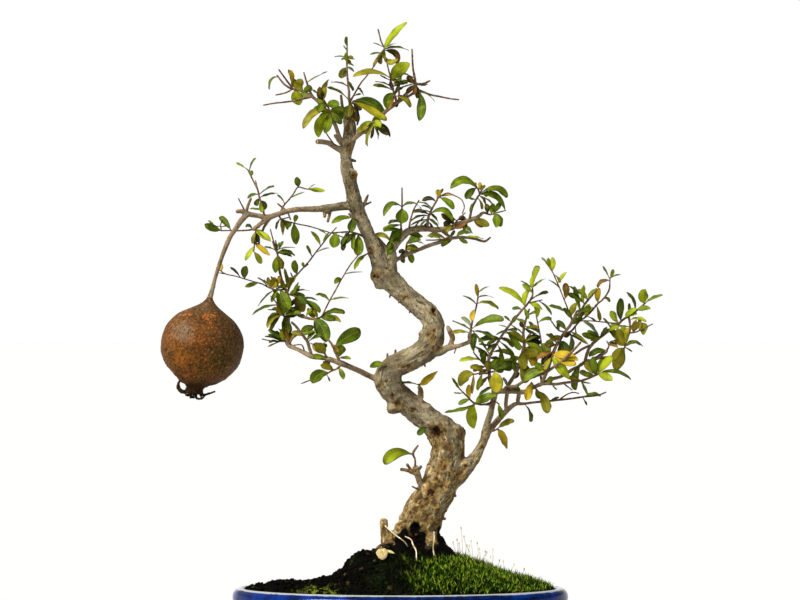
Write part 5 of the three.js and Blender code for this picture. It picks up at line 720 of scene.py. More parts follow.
class Graph:
    """Short calls that add nodes to one tree."""

    def __init__(self, tree):
        self.tree = tree

    def add(self, kind, **given):
        """A node. Names with a capital feed its inputs, with _ for a space, and the others are settings."""
        node = self.tree.nodes.new(kind)
        for key, value in given.items():
            if key[0].islower():
                setattr(node, key, value)
        for key, value in given.items():
            if key[0].isupper():
                self.feed(node.inputs[key.replace("_", " ")], value)
        return node

    def make(self, kind, out=0, **given):
        return Value(self, self.add(kind, **given).outputs[out])

    def geo(self, kind, out=0, **given):
        return self.make("GeometryNode" + kind, out, **given)

    def feed(self, socket, value):
        if isinstance(value, Value):
            self.tree.links.new(value.socket, socket)
        else:
            if socket.type == "RGBA" and len(value) == 3:
                value = (*value, 1)
            socket.default_value = value

    def join(self, operation, first, second):
        """Arithmetic between numbers, vectors, or a vector and the number that scales it."""
        if operation == "MULTIPLY" and is_vector(first) != is_vector(second):
            vector, scale = (first, second) if is_vector(first) else (second, first)
            node = self.add("ShaderNodeVectorMath", operation="SCALE", Scale=scale)
            self.feed(node.inputs[0], vector)
            return Value(self, node.outputs[0])
        return (self.vector if is_vector(first) else self.math)(operation, first, second)

    def math(self, operation, *values):
        node = self.add("ShaderNodeMath", operation=operation)
        for socket, value in zip(node.inputs, values):
            self.feed(socket, value)
        return Value(self, node.outputs[0])

    def vector(self, operation, *values):
        node = self.add("ShaderNodeVectorMath", operation=operation)
        for socket, value in zip(node.inputs, values):
            self.feed(socket, value)
        return Value(self, node.outputs["Value" if operation == "DISTANCE" else "Vector"])

    def split(self, vector):
        node = self.add("ShaderNodeSeparateXYZ", Vector=vector)
        return [Value(self, socket) for socket in node.outputs]

    def combine(self, x, y, z):
        return self.make("ShaderNodeCombineXYZ", X=x, Y=y, Z=z)

    def noise(self, vector, scale, detail, roughness=0.5, distortion=0.0):
        return self.make("ShaderNodeTexNoise", "Fac", Vector=vector, Scale=scale, Detail=detail,
                         Roughness=roughness, Distortion=distortion)

    def remap(self, value, low, high, to_low=0.0, to_high=1.0):
        return self.make("ShaderNodeMapRange", interpolation_type="SMOOTHSTEP", Value=value, From_Min=low,
                         From_Max=high, To_Min=to_low, To_Max=to_high)

    def mix(self, share, first, second, blend="MIX"):
        node = self.add("ShaderNodeMix", data_type="RGBA", blend_type=blend)
        for index, value in ((0, share), (6, first), (7, second)):
            self.feed(node.inputs[index], value)
        return Value(self, node.outputs[2])

    def named(self, name, kind="FLOAT"):
        return self.geo("InputNamedAttribute", Name=name, data_type=kind)

    def store(self, geometry, name, value, kind="FLOAT", domain="POINT"):
        return self.geo("StoreNamedAttribute", Geometry=geometry, Name=name, Value=value, data_type=kind,
                        domain=domain)

    def chance(self, seed, low=0.0, high=1.0):
        """A random number for each point, or a random vector where the ends are vectors."""
        first, kind = (0, "FLOAT_VECTOR") if is_vector(low) else (2, "FLOAT")
        node = self.add("FunctionNodeRandomValue", data_type=kind, Seed=seed)
        node.inputs[first].default_value, node.inputs[first + 1].default_value = low, high
        return Value(self, node.outputs[first // 2])

    def settings(self, **defaults):
        """The tree's inputs, a material where there is no default, as the values they give inside it."""
        kinds = {int: "NodeSocketInt", float: "NodeSocketFloat", type(None): "NodeSocketMaterial"}
        for key, default in defaults.items():
            name = key.replace("_", " ").title()
            kind = kinds[type(default)]
            socket = self.tree.interface.new_socket(name, in_out="INPUT", socket_type=kind)
            if default is not None:
                socket.default_value = default
        given = self.add("NodeGroupInput").outputs
        return SimpleNamespace(**{key_of(socket): Value(self, socket) for socket in given if socket.name})

    def both(self, first, second):
        node = self.add("GeometryNodeJoinGeometry")
        for value in (first, second):
            self.feed(node.inputs[0], value)
        return Value(self, node.outputs[0])

    def close(self, geometry, finish, other_finish=None, where=None):
        """Give the geometry out, with the other finish on the faces that carry the name in where."""
        smooth = self.geo("SetShadeSmooth", Geometry=geometry)
        real = self.geo("RealizeInstances", Geometry=smooth)
        done = self.geo("SetMaterial", Geometry=real, Material=finish)
        if where:
            done = self.geo("SetMaterial", Geometry=done, Selection=self.named(where, "BOOLEAN"),
                            Material=other_finish)
        self.add("NodeGroupOutput", Geometry=done)


def key_of(socket):
    return socket.name.lower().replace(" ", "_")


def new_tree(name):
    """A Geometry Nodes tree with a geometry going in and out, and its graph."""
    tree = bpy.data.node_groups.new(name, "GeometryNodeTree")
    for way in ("INPUT", "OUTPUT"):
        tree.interface.new_socket("Geometry", in_out=way, socket_type="NodeSocketGeometry")
    return tree, Graph(tree)


def tubes(graph, geometry, sides, relief, relief_size):
    """Round limbs along the edges of a mesh, as thick as its girth says, with uneven bark."""
    girth = graph.named("girth")
    skin = graph.geo(
        "CurveToMesh", Curve=graph.geo("MeshToCurve", Mesh=geometry), Scale=girth, Fill_Caps=True,
        Profile_Curve=graph.geo("CurvePrimitiveCircle", Resolution=sides, Radius=1.0))
    swell = graph.noise(graph.geo("InputPosition"), relief_size, 2) - 0.5
    offset = graph.geo("InputNormal") * (swell * relief * girth)
    return graph.geo("SetPosition", Geometry=skin, Offset=offset)


def limb_tree():
    """Plain limbs: roots, stalks, thorns and the thin ends of branches."""
    tree, graph = new_tree("Limb Skin")
    given = graph.settings(sides=10, relief=0.5, relief_size=300.0, finish=None)
    graph.close(tubes(graph, given.geometry, given.sides, given.relief, given.relief_size), given.finish)
    return tree


BLADE_SIDES = 12
CROWDING = 1.5  # how far a blade's stations crowd towards its tip
TWIST_CENTRE = 0.45  # where along the blade its twist is nil
# Each of these changes from blade to blade: how much in all, and the least or most
TAPER, BLUNT, FULLNESS = (0.25, 0.7), (-0.28, 0.73), (-0.2, 1.56)
FOLD_LEAST = 0.35
# Ripples: how fast they turn along the blade and across it, and how far they shift from blade to blade
RIPPLES_ALONG, RIPPLES_ACROSS, RIPPLE_SHIFT = 17.0, 2.0, 40.0
# The midrib: how narrow it is, how thick at the stalk, and the thickness of the rest of the blade
RIB_SHARPNESS, RIB_THICKNESS, BLADE_REST = 4.0, 0.9, 0.5
THINNING = 0.4  # how fast the blade thins towards its tip


def shoot_tree():
    """A leafy shoot: its twigs, and a curved, folded blade for each point that carries a leaf."""
    tree, graph = new_tree("Leafy Shoot")
    given = graph.settings(
        twig_sides=8, twig_relief=0.7, blade_stations=13, blade_thickness=0.0004, fold=0.22, ripple=0.05,
        twist=1.6, twig_finish=None, leaf_finish=None)
    leafy = graph.named("leafy", "BOOLEAN")
    parts = graph.add("GeometryNodeSeparateGeometry", Geometry=given.geometry, Selection=leafy).outputs
    bare, carrying = Value(graph, parts["Inverted"]), Value(graph, parts["Selection"])
    twigs = tubes(graph, bare, given.twig_sides, given.twig_relief, 500.0)

    # one blade: x across, y through its thickness and z along, as a closed tube
    blank = graph.geo("MeshCylinder", Vertices=BLADE_SIDES, Side_Segments=given.blade_stations, Radius=1.0,
                      Depth=1.0)
    marked = graph.store(blank, "blank", graph.geo("InputPosition"), "FLOAT_VECTOR")
    many = graph.geo("InstanceOnPoints", Points=carrying, Instance=marked)
    loose = graph.geo("RealizeInstances", Geometry=many)

    blank, shape, root, pull, tip = (
        graph.named(name, "FLOAT_VECTOR") for name in ("blank", "shape", "root", "pull", "tip"))
    across, through, along = graph.split(blank)
    width, turn_sine, turn_cosine = graph.split(shape)
    chance = graph.named("chance")
    # stations crowd towards the tip, where the outline turns fastest
    run = (0.5 - along).clamped()
    share = (1.0 - run**CROWDING).clamped()
    rest = (1.0 - share).clamped()
    spine = root * (rest * rest) + pull * (rest * share * 2.0) + tip * (share * share)
    heading = graph.vector("NORMALIZE", (pull - root) * rest + (tip - pull) * share)
    level = graph.vector("NORMALIZE", graph.vector("CROSS_PRODUCT", heading, ALMOST_BACK))
    face = level * turn_sine - graph.vector("CROSS_PRODUCT", level, heading) * turn_cosine
    side = graph.vector("CROSS_PRODUCT", heading, face)
    # the blade twists a little about its midrib, one way or the other
    spin = (share - TWIST_CENTRE) * ((chance - 0.5) * given.twist)
    face = face * graph.math("COSINE", spin) + side * graph.math("SINE", spin)
    side = graph.vector("CROSS_PRODUCT", heading, face)
    # a short stalk, then a blade that is widest past its middle, with a tip from pointed to blunt
    blade = (share - STALK_SHARE).clamped() / (1 - STALK_SHARE)
    taper, blunt, full = (chance * span + start for span, start in (TAPER, BLUNT, FULLNESS))
    half = graph.math("MAXIMUM", blade**taper * rest**blunt * width * full, rest * STALK_GIRTH)
    # its halves fold up, its edges ripple, and its midrib is thickest at the stalk
    edge = graph.math("ABSOLUTE", across)
    crease = edge * half * (given.fold * (chance + FOLD_LEAST))
    phase = chance * RIPPLE_SHIFT
    beat = graph.math("SINE", share * RIPPLES_ALONG + phase)
    lean = graph.math("SINE", across * RIPPLES_ACROSS + phase)
    ripple = beat * lean * given.ripple * (edge**1.5 * width)
    rib = (1.0 - edge).clamped() ** RIB_SHARPNESS
    fat = BLADE_REST + rib * (rest * RIB_THICKNESS)
    body = through * (rest**THINNING * given.blade_thickness) * fat
    where = spine + side * (across * half) + face * (crease + ripple + body)
    blades = graph.geo("SetPosition", Geometry=loose, Position=where)
    blades = graph.store(blades, "blade", graph.combine(share, across, through), "FLOAT_VECTOR")
    blades = graph.store(blades, "is_blade", True, "BOOLEAN", "FACE")
    blades = graph.geo("MergeByDistance", Geometry=blades, Distance=TOUCHING)
    graph.close(graph.both(blades, twigs), given.twig_finish, given.leaf_finish, "is_blade")
    return tree


TILT_SEED, SIZE_SEED, STRETCH_SEED, CHANCE_SEED = 3, 5, 9, 13
SIZE_SPREAD = (0.45, 1.35)
STRETCH_SPREAD = ((0.7, 0.7, 0.6), (1.3, 1.3, 1.2))
UPWARD = (0.0, 0.0, 0.6)  # how strongly scattered shapes turn upwards
# A moss blade is a slim cone: its foot's radius, its height, and how far it is sunk in the cushion
MOSS_FOOT, MOSS_TALL, MOSS_SUNK = 0.15, 2.0, (0.0, 0.0, -0.2)


def scatter_tree(name, shape):
    """Many small closed shapes spread over a surface: moss blades or crumbs of soil."""
    tree, graph = new_tree(name)
    given = graph.settings(density=1.0, size=0.001, tilt=0.5, seed=SEED, ground_finish=None, finish=None)
    points = graph.geo(
        "DistributePointsOnFaces", "Points", distribute_method="RANDOM", Mesh=given.geometry,
        Selection=graph.named("cover", "BOOLEAN"), Density=given.density * graph.named("thick"),
        Seed=given.seed)
    if shape == "blade":
        unit = graph.geo("MeshCone", Vertices=3, Side_Segments=2, Radius_Top=0.0, Radius_Bottom=MOSS_FOOT,
                         Depth=MOSS_TALL)
        unit = graph.geo("Transform", Geometry=unit, Translation=MOSS_SUNK)
        # each blade's height, which the moss's finish turns into painted shade at its foot
        unit = graph.store(unit, "rise", graph.split(graph.geo("InputPosition"))[2])
    else:
        unit = graph.geo("MeshIcoSphere", Radius=1.0, Subdivisions=1)
    tilted = graph.chance(TILT_SEED, (-1.0, -1.0, -1.0), (1.0, 1.0, 1.0)) * given.tilt
    upright = tilted + graph.geo("InputNormal") + UPWARD
    turned = graph.make("FunctionNodeAlignRotationToVector", Vector=upright, axis="Z")
    scale = graph.chance(SIZE_SEED, *SIZE_SPREAD) * given.size
    stretch = graph.chance(STRETCH_SEED, *STRETCH_SPREAD)
    many = graph.geo("InstanceOnPoints", Points=points, Instance=unit, Rotation=turned, Scale=stretch * scale)
    many = graph.store(many, "chance", graph.chance(CHANCE_SEED), domain="INSTANCE")
    real = graph.geo("RealizeInstances", Geometry=many)
    real = graph.store(real, "scattered", True, "BOOLEAN", "FACE")
    graph.close(graph.both(real, given.geometry), given.ground_finish, given.finish, "scattered")
    return tree


def shared_tree(name, make, *given):
    """The tree of that name, made the first time it is asked for."""
    return bpy.data.node_groups.get(name) or make(*given)


# ---- Meshes and pieces ----
def placed(name, mesh):
    """A new object in the scene that shows the mesh."""
    made = bpy.data.objects.new(name, mesh)
    bpy.context.scene.collection.objects.link(made)
    return made


def piece(name, mesh, slot, nodes=(), finish=None):
    """A finished piece of the tree, which rides on the body and stands for CAD nodes."""
    if finish:
        mesh.materials.clear()
        mesh.materials.append(finish)
        mesh.shade_smooth()
    mesh.name = name
    made = placed(name, mesh)
    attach(made, BODY)
    if nodes:
        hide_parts(*nodes)


def evaluated(holder):
    """The mesh of an object with its modifiers done. The object, and the mesh it had, are removed."""
    graph = bpy.context.evaluated_depsgraph_get()
    result = bpy.data.meshes.new_from_object(holder.evaluated_get(graph), depsgraph=graph)
    source = holder.data
    bpy.data.objects.remove(holder)
    if not source.users:
        bpy.data.meshes.remove(source)
    return result


def grown(name, mesh, tree, **values):
    """The plain mesh that a Geometry Nodes tree makes of a mesh."""
    holder = placed(name, mesh)
    modifier = holder.modifiers.new(tree.name, "NODES")
    modifier.node_group = tree
    for item in tree.interface.items_tree:
        if item.in_out == "INPUT" and key_of(item) in values:
            modifier[item.identifier] = values[key_of(item)]
    result = evaluated(holder)
    if not result.polygons:
        raise RuntimeError(f"{tree.name} made nothing for {name}")
    return result


@contextmanager
def edited(mesh, outward=True):
    """The mesh open as a bmesh, whose faces are turned outward at the end unless that is switched off."""
    work = bmesh.new()
    work.from_mesh(mesh)
    yield work
    if outward:
        bmesh.ops.recalc_face_normals(work, faces=work.faces)
    work.to_mesh(mesh)
    work.free()


def turn_outward(mesh):
    with edited(mesh):
        pass


def carry(mesh, name, values, kind="FLOAT", domain="POINT"):
    """Give a mesh values under a name."""
    field = {"FLOAT_VECTOR": "vector", "FLOAT_COLOR": "color"}.get(kind, "value")
    mesh.attributes.new(name, kind, domain).data.foreach_set(field, values)


def route_mesh(name, paths):
    """Edges along smoothed routes, each point with its girth."""
    points, edges, start = np.vstack(paths), [], 0
    for path in paths:
        edges.extend((i, i + 1) for i in range(start, start + len(path) - 1))
        start += len(path)
    mesh = bpy.data.meshes.new(name)
    mesh.from_pydata(points[:, :3].tolist(), edges, [])
    carry(mesh, "girth", points[:, 3].tolist())
    return mesh


def limbs(name, paths, **values):
    """The mesh of round limbs along paths."""
    return grown(name, route_mesh(name, paths), shared_tree("Limb Skin", limb_tree), **values)


def limb_piece(name, paths, slot, finish, sides, relief, relief_size):
    mesh = limbs(name, paths, finish=finish, sides=sides, relief=relief, relief_size=relief_size)
    piece(name, mesh, slot)


def leaf_course(paths, row, index):
    """Where a leaf's midrib runs, how wide its blade is and how far it is turned about the midrib."""
    base_right, base_down, mid_right, mid_down, tip_right, tip_down, shown, tone = row[:8]
    given = np.array(at(base_right, base_down))
    spots = np.vstack(paths)
    away = np.hypot(spots[:, 0] - given[0], spots[:, 2] - given[2])
    seat = Vector(spots[away.argmin(), :3])
    stalked = away.min() > SHORTEST_STALK * MM
    depth = seat.y / MM
    base = at(base_right, base_down, depth) if stalked else seat
    length = math.hypot(mid_right - base_right, mid_down - base_down)
    length += math.hypot(tip_right - mid_right, tip_down - mid_down)
    width = max(shown, min(LEAF_PROPORTION * length, LEAF_WIDEST))
    true_length = max(length, shown / LEAF_PROPORTION)
    reach = min(math.sqrt(true_length**2 - length**2) + LEAN_SHARE * length, LEAF_LEAN_MOST)
    lean = row[8] if len(row) > 8 else (reach if index % 2 else -reach)
    tip = at(tip_right, tip_down, depth + lean)
    pull = at(mid_right, mid_down, depth + MIDRIB_LEAN * lean).lerp((base + tip) / 2, MIDRIB_EASE)
    turn = math.acos(min(shown / width, 1))
    upward = 1 if tip_right >= base_right else -1
    shape = (width * MM, upward * math.sin(turn), math.cos(turn))
    return {"seat": seat, "stalked": stalked, "root": base, "pull": pull, "tip": tip, "shape": shape,
            "tone": tone}


def shoot_mesh(name, paths, courses, chances):
    """The twigs as edges and each leaf as a loose point that carries its course."""
    mesh = route_mesh(name, paths)
    first = len(mesh.vertices)
    mesh.vertices.add(len(courses))
    for i, course in enumerate(courses):
        mesh.vertices[first + i].co = course["root"]
    for key in ("root", "pull", "tip", "shape"):
        flat = [number for course in courses for number in course[key]]
        carry(mesh, key, [0.0] * 3 * first + flat, "FLOAT_VECTOR")
    tones = [number for course in courses for number in (*TONES[course["tone"]][0], 1.0)]
    carry(mesh, "tone", [0.0] * 4 * first + tones, "FLOAT_COLOR")
    carry(mesh, "chance", [0.0] * first + list(chances))
    carry(mesh, "leafy", [False] * first + [True] * len(courses), "BOOLEAN")
    return mesh


# ---- Finishes ----
FINE = "fine_"  # keeps the finishes' names apart from the solids' own materials


def tinted(tint):
    """A tint given by its display values, or a colour that is one already."""
    return srgb(*tint) if isinstance(tint, tuple) else tint


class Paint(Graph):
    """A finish in the making, and the colour laid on it so far."""

    def __init__(self, name, roughness, gloss):
        self.material = bpy.data.materials.new(FINE + name)
        self.material.use_nodes = True
        super().__init__(self.material.node_tree)
        self.shader = self.tree.nodes["Principled BSDF"]
        self.shader.inputs["Roughness"].default_value = roughness
        self.shader.inputs["Specular IOR Level"].default_value = gloss
        self.place = self.make("ShaderNodeTexCoord", "Object")

    def carried(self, name, out="Fac"):
        """A value that the mesh carries."""
        return self.make("ShaderNodeAttribute", out, attribute_name=name)

    def cloud(self, scale, detail, roughness, distortion=0.0, place=None):
        return self.noise(place or self.place, scale, detail, roughness, distortion)

    def dots(self, scale):
        return self.make("ShaderNodeTexVoronoi", "Distance", feature="F1", Vector=self.place, Scale=scale,
                         Randomness=1.0)

    def between(self, first, second, value, low, high, most=1.0):
        """From the first tint to the second one as the value goes from low to high."""
        return self.mix(self.remap(value, low, high, 0, most), tinted(first), tinted(second))

    def base(self, *given):
        self.colour = self.between(*given)

    def lay(self, tint, value, low=None, high=None, most=1.0):
        """Lay a tint over the colour where the value goes from low to high, or by the value's own share."""
        share = value if low is None else self.remap(value, low, high, 0, most)
        self.colour = self.mix(share, self.colour, tinted(tint))

    def done(self, height=None, distance=0.0):
        self.feed(self.shader.inputs["Base Color"], self.colour)
        if height:
            bump = self.make("ShaderNodeBump", Height=height, Distance=distance, Strength=1.0)
            self.feed(self.shader.inputs["Normal"], bump)
        return self.material


def bark_finish(colours):
    """Flaking grey-tan bark, ochre and pitted low down, dark and reddish on thin twigs, with painted shade in
    its pits and at its foot.
    """
    paint = Paint("bark", 0.8, 0.03)
    height = paint.split(paint.place)[2]
    girth, hollow, scarred = (paint.carried(name) for name in ("girth", "hollow", "scarred"))
    grain = paint.carried("grain", "Vector")
    streaks = paint.cloud(210, 5, 0.6, 0.3, grain)
    flakes = paint.cloud(300, 5, 0.72)
    specks = paint.cloud(760, 3, 0.65)
    paint.base(colours.bark, colours.bark_light, paint.cloud(36, 6, 0.68), 0.36, 0.62)
    paint.lay((84, 70, 48), streaks, 0.56, 0.36, 0.45)
    paint.lay((166, 150, 116), flakes, 0.52, 0.68, 0.42)
    # old brown and ochre wood shows low on the trunk
    low = paint.remap(height, 0.25, 0.16)
    ragged = paint.cloud(60, 5, 0.7, 0.6) + low * 0.13
    worn = paint.remap(height, 0.26, 0.2) * paint.remap(ragged, 0.555, 0.62)
    ochre = paint.between((74, 52, 24), (164, 134, 78), flakes, 0.4, 0.58)
    paint.lay(paint.between(ochre, (58, 40, 18), streaks, 0.5, 0.38, 0.7), worn * 0.9)
    cream = paint.remap(paint.cloud(230, 4, 0.7, 0.5, grain), 0.55, 0.66)
    paint.lay((220, 200, 150), cream * (low * 0.6 + 0.3))
    cracks = paint.remap(paint.cloud(380, 4, 0.7, 0, grain), 0.44, 0.33, 0, 0.8)
    paint.lay((44, 32, 18), cracks)
    paint.lay((40, 29, 16), specks, 0.42, 0.32, 0.75)
    paint.lay((206, 192, 156), specks, 0.63, 0.72, 0.35)
    # lichen
    paint.lay((112, 114, 74), paint.cloud(82, 4, 0.65), 0.58, 0.68, 0.45)
    # old scars are dark brown, with pale splinters and an ochre rim
    scar = paint.between((50, 32, 18), (128, 100, 60), streaks, 0.46, 0.62)
    paint.lay((156, 132, 74), scarred, 0.0, 0.3, 0.35)
    paint.lay(scar, scarred, 0.2, 0.9, 0.78)
    # each pit has a rusty rim, and its cup is painted shade that turns near black as the pit deepens
    paint.lay((116, 78, 40), hollow, 0.02, 0.3, 0.5)
    paint.lay((30, 20, 12), hollow, 0.3, 0.85, 0.92)
    # young wood is browner, and twigs darken as they thin
    young = paint.remap(girth, 0.0042, 0.0026, 0, 0.5) * paint.remap(flakes, 0.4, 0.55)
    paint.lay((124, 92, 66), young)
    paint.lay(paint.between((64, 42, 30), (136, 104, 76), flakes, 0.4, 0.65), girth, 0.002, 0.0009)
    # the foot turns soil-dark towards the bottom, and painted shade blackens parts of it
    paint.lay(colours.soil, height + paint.cloud(90, 4, 0.7) * 0.022, 0.121, 0.112)
    paint.lay(colours.soil, paint.carried("darkened"))
    relief = streaks * 0.5 + flakes * 0.7 + cracks * -0.5 + specks * 0.3
    return paint.done(relief * paint.remap(girth, 0.0, 0.006, 0.25, 1.0), 0.0021)


def leaf_finish():
    """Satin blades: pale midrib, darker rim, mottled tone, browned tips and a paler underside."""
    paint = Paint("leaf", 0.4, 0.06)
    share, across, through = paint.split(paint.carried("blade", "Vector"))
    chance = paint.carried("chance")
    edge = paint.math("ABSOLUTE", across)
    mottle = paint.cloud(170, 4, 0.65)
    paint.base(paint.carried("tone", "Color"), (158, 142, 24), mottle, 0.5, 0.72, 0.5)
    shade = paint.remap(paint.cloud(85, 2, 0.5), 0.3, 0.62, 0.5, 1.05)
    paint.colour = paint.mix(1.0, paint.colour, paint.combine(shade, shade, shade), "MULTIPLY")
    paint.lay((30, 52, 8), chance, 0.5, 1.0, 0.4)
    # the half that faces away from the light is duller
    paint.lay((34, 44, 8), across, -0.05, 0.25, 0.2)
    # veins, midrib and rim
    vein = paint.math("SINE", share * 62.0 + edge * -9.0)
    paint.lay((150, 156, 60), vein, 0.86, 1.0, 0.1)
    paint.lay((160, 158, 66), edge, 0.09, 0.03, 0.3)
    paint.lay((40, 40, 10), edge, 0.72, 0.98, 0.6)
    # brown spots, tips and stalks
    spots = paint.remap(paint.dots(210), 0.16, 0.08, 0, 0.55)
    paint.lay((70, 44, 14), spots * paint.remap(chance, 0.3, 0.8))
    tips = paint.remap(share, 0.88, 1.0) * paint.remap(chance, 0.35, 0.6)
    paint.lay((66, 40, 16), tips * 0.8)
    paint.lay((104, 50, 22), share, 0.1, 0.0, 0.8)
    under = paint.mix(0.3, paint.colour, srgb(120, 128, 62))
    paint.lay(under, through, 0.1, -0.1)
    return paint.done(vein * 0.2 + mottle * 0.6, 0.0003)


def plain_finish(name, roughness, gloss, scale, detail, grain, first, second, low, high, relief=0.0):
    """A finish of two tints under one cloudy noise, which also lifts the surface."""
    paint = Paint(name, roughness, gloss)
    cloud = paint.cloud(scale, detail, grain)
    paint.base(first, second, cloud, low, high)
    return paint.done(cloud if relief else None, relief)


# Roughness, gloss, the noise's scale, detail and roughness, two tints, the values between which the noise
# turns one into the other, and how high it lifts the surface, in metres
PLAIN_FINISHES = {
    "cut_wood": (0.7, 0.05, 700, 4, 0.7, (150, 124, 78), (214, 196, 140), 0.35, 0.65, 0.0005),
    "fine_root": (0.6, 0.08, 160, 3, 0.6, (236, 224, 190), (170, 146, 106), 0.4, 0.62, 0.0006),
    "withered_crown": (0.6, 0.06, 300, 4, 0.7, (20, 13, 9), (82, 56, 28), 0.45, 0.68, 0.0008),
    "moss_stalk": (0.5, 0.1, 120, 2, 0.5, (196, 190, 120), (122, 118, 46), 0.42, 0.6),
}

FRUIT_FRONT = -66  # y of the front of the fruit
# Patches on the rind's front: right, down, reach in metres, tint and strength; one grey-pink patch is a
# painted highlight
RIND_PATCHES_AND_HIGHLIGHT = [
    (189, 312, 0.008, (178, 100, 36), 0.95), (212, 317, 0.006, (178, 98, 38), 0.9),
    # the grey-pink patch at 188, 330 is a painted highlight
    (188, 330, 0.017, (112, 92, 72), 0.85), (206, 302, 0.012, (98, 80, 60), 0.8),
    (173, 340, 0.009, (134, 80, 34), 0.5), (203, 340, 0.013, (118, 62, 20), 0.6),
    (186, 358, 0.011, (142, 82, 26), 0.5), (164, 350, 0.008, (84, 66, 26), 0.7),
    (224, 358, 0.016, (60, 50, 18), 0.75), (206, 370, 0.012, (84, 58, 20), 0.6),
    (197, 322, 0.009, (96, 56, 22), 0.7),
]
PATCH_STRETCH = 0.35  # how much the depth counts in a patch's outline


def rind_finish(colours):
    """Leathery rind: orange blush under grey-brown russet, fine pale specks and dark dots, with painted shade
    on its right and a painted highlight.
    """
    paint = Paint("rind", 0.5, 0.03)
    x, _, z = paint.split(paint.place)
    blotch = paint.cloud(110, 5, 0.72, 0.4)
    grit = paint.cloud(380, 5, 0.8)
    paint.base((58, 38, 15), colours.rind, paint.cloud(44, 6, 0.72, 0.6), 0.36, 0.6)
    paint.lay((122, 62, 30), paint.cloud(75, 4, 0.7), 0.54, 0.64, 0.7)
    paint.lay((88, 74, 34), paint.cloud(52, 4, 0.7, 0.5), 0.56, 0.66, 0.6)
    # the blush is warmest on the left; the right is painted duller as painted shade, and the shoulder is
    # duller too
    warm = paint.remap(x, -0.18, -0.24) * paint.remap(blotch, 0.44, 0.6)
    paint.lay((118, 68, 26), warm * 0.4)
    right, shoulder = paint.remap(x, -0.21, -0.175, 0, 0.85), paint.remap(z, 0.325, 0.342, 0, 0.85)
    shaded_right_dull_shoulder = paint.math("MAXIMUM", right, shoulder)
    paint.lay((82, 62, 38), shaded_right_dull_shoulder * paint.remap(blotch, 0.3, 0.55, 0.55, 1.0))
    flat = paint.place * (1.0, PATCH_STRETCH, 1.0)
    for right, down, reach, tint, strength in RIND_PATCHES_AND_HIGHLIGHT:
        centre = at(right, down, FRUIT_FRONT)
        away = paint.vector("DISTANCE", flat, (centre.x, centre.y * PATCH_STRETCH, centre.z))
        paint.lay(tint, away + (blotch - 0.5) * 0.05, reach, reach * 0.35, strength)
    paint.lay((48, 30, 12), grit, 0.5, 0.4, 0.85)
    paint.lay((166, 112, 48), grit, 0.55, 0.63, 0.62)
    paint.lay((184, 142, 84), paint.cloud(900, 2, 0.6), 0.62, 0.72, 0.6)
    dots = paint.dots(300)
    paint.lay((28, 18, 10), dots, 0.22, 0.13, 0.75)
    paint.lay((34, 24, 12), paint.remap(z, 0.274, 0.264) * 0.85)
    return paint.done(blotch * 0.6 + grit * 0.6 + dots * 0.25, 0.0012)


def soil_finish(colours):
    """Damp dark soil with a few brown and ashen crumbs, greened in patches."""
    paint = Paint("soil", 0.9, 0.01)
    x = paint.split(paint.place)[0]
    lumps = paint.cloud(240, 5, 0.75)
    chance = paint.carried("chance")
    paint.base(colours.soil, (21, 19, 14), lumps, 0.5, 0.75)
    paint.lay((66, 50, 31), chance, 0.92, 0.96, 0.8)
    paint.lay((70, 62, 50), chance, 0.988, 0.992, 0.7)
    paint.lay((24, 34, 7), paint.cloud(70, 4, 0.65), 0.56, 0.66, 0.6)
    # a little moss has caught along the front left of the lip
    patch = paint.vector("DISTANCE", paint.place * (1.0, 0.6, 0.0), (-0.1, -0.054, 0.0))
    patch = patch + paint.cloud(60, 3, 0.6) * 0.03
    caught = paint.remap(patch, 0.042, 0.032) * paint.remap(paint.cloud(200, 3, 0.6), 0.48, 0.58)
    paint.lay((92, 104, 28), caught)
    # and darker moss creeps over the soil from the cushion
    creep = paint.remap(x + paint.cloud(50, 3, 0.6) * 0.06, -0.02, 0.02, 0, 0.75)
    paint.lay((30, 50, 10), creep * paint.remap(paint.cloud(260, 3, 0.65), 0.47, 0.57))
    return paint.done(lumps, 0.002)


def moss_finish(colours, name, depth):
    """Moss: painted shade on its bed, at the feet of its blades and between its clumps, light at its tips,
    and nearly black where it is not green.
    """
    paint = Paint(name, 0.75, 0.02)
    chance = paint.carried("chance")
    fine = paint.cloud(700, 3, 0.7)
    paint.base((30, 60, 8), colours.moss, paint.cloud(80, 4, 0.65), 0.36, 0.62)
    paint.lay((190, 214, 68), chance, 0.6, 0.95, 0.95)
    paint.lay((2, 12, 1), chance, 0.4, 0.1, 0.9)
    # painted shade: the feet of the blades turn near black
    paint.lay((2, 8, 1), paint.carried("rise"), 0.85, 0.1, 0.97)
    # painted shade under the blades: the bed is darkened by the share given as depth
    paint.lay((3, 9, 1), depth)
    paint.lay((14, 30, 4), fine, 0.45, 0.3, 0.5)
    # shade between the clumps
    paint.lay((2, 9, 1), paint.cloud(150, 2, 0.5), 0.5, 0.38, 0.9)
    # nearly black where the moss is not green
    dark_moss = paint.between((11, 14, 6), (74, 80, 26), chance, 0.8, 1.0, 0.5)
    paint.colour = paint.mix(paint.carried("bright"), dark_moss, paint.colour)
    return paint.done(fine, 0.001)


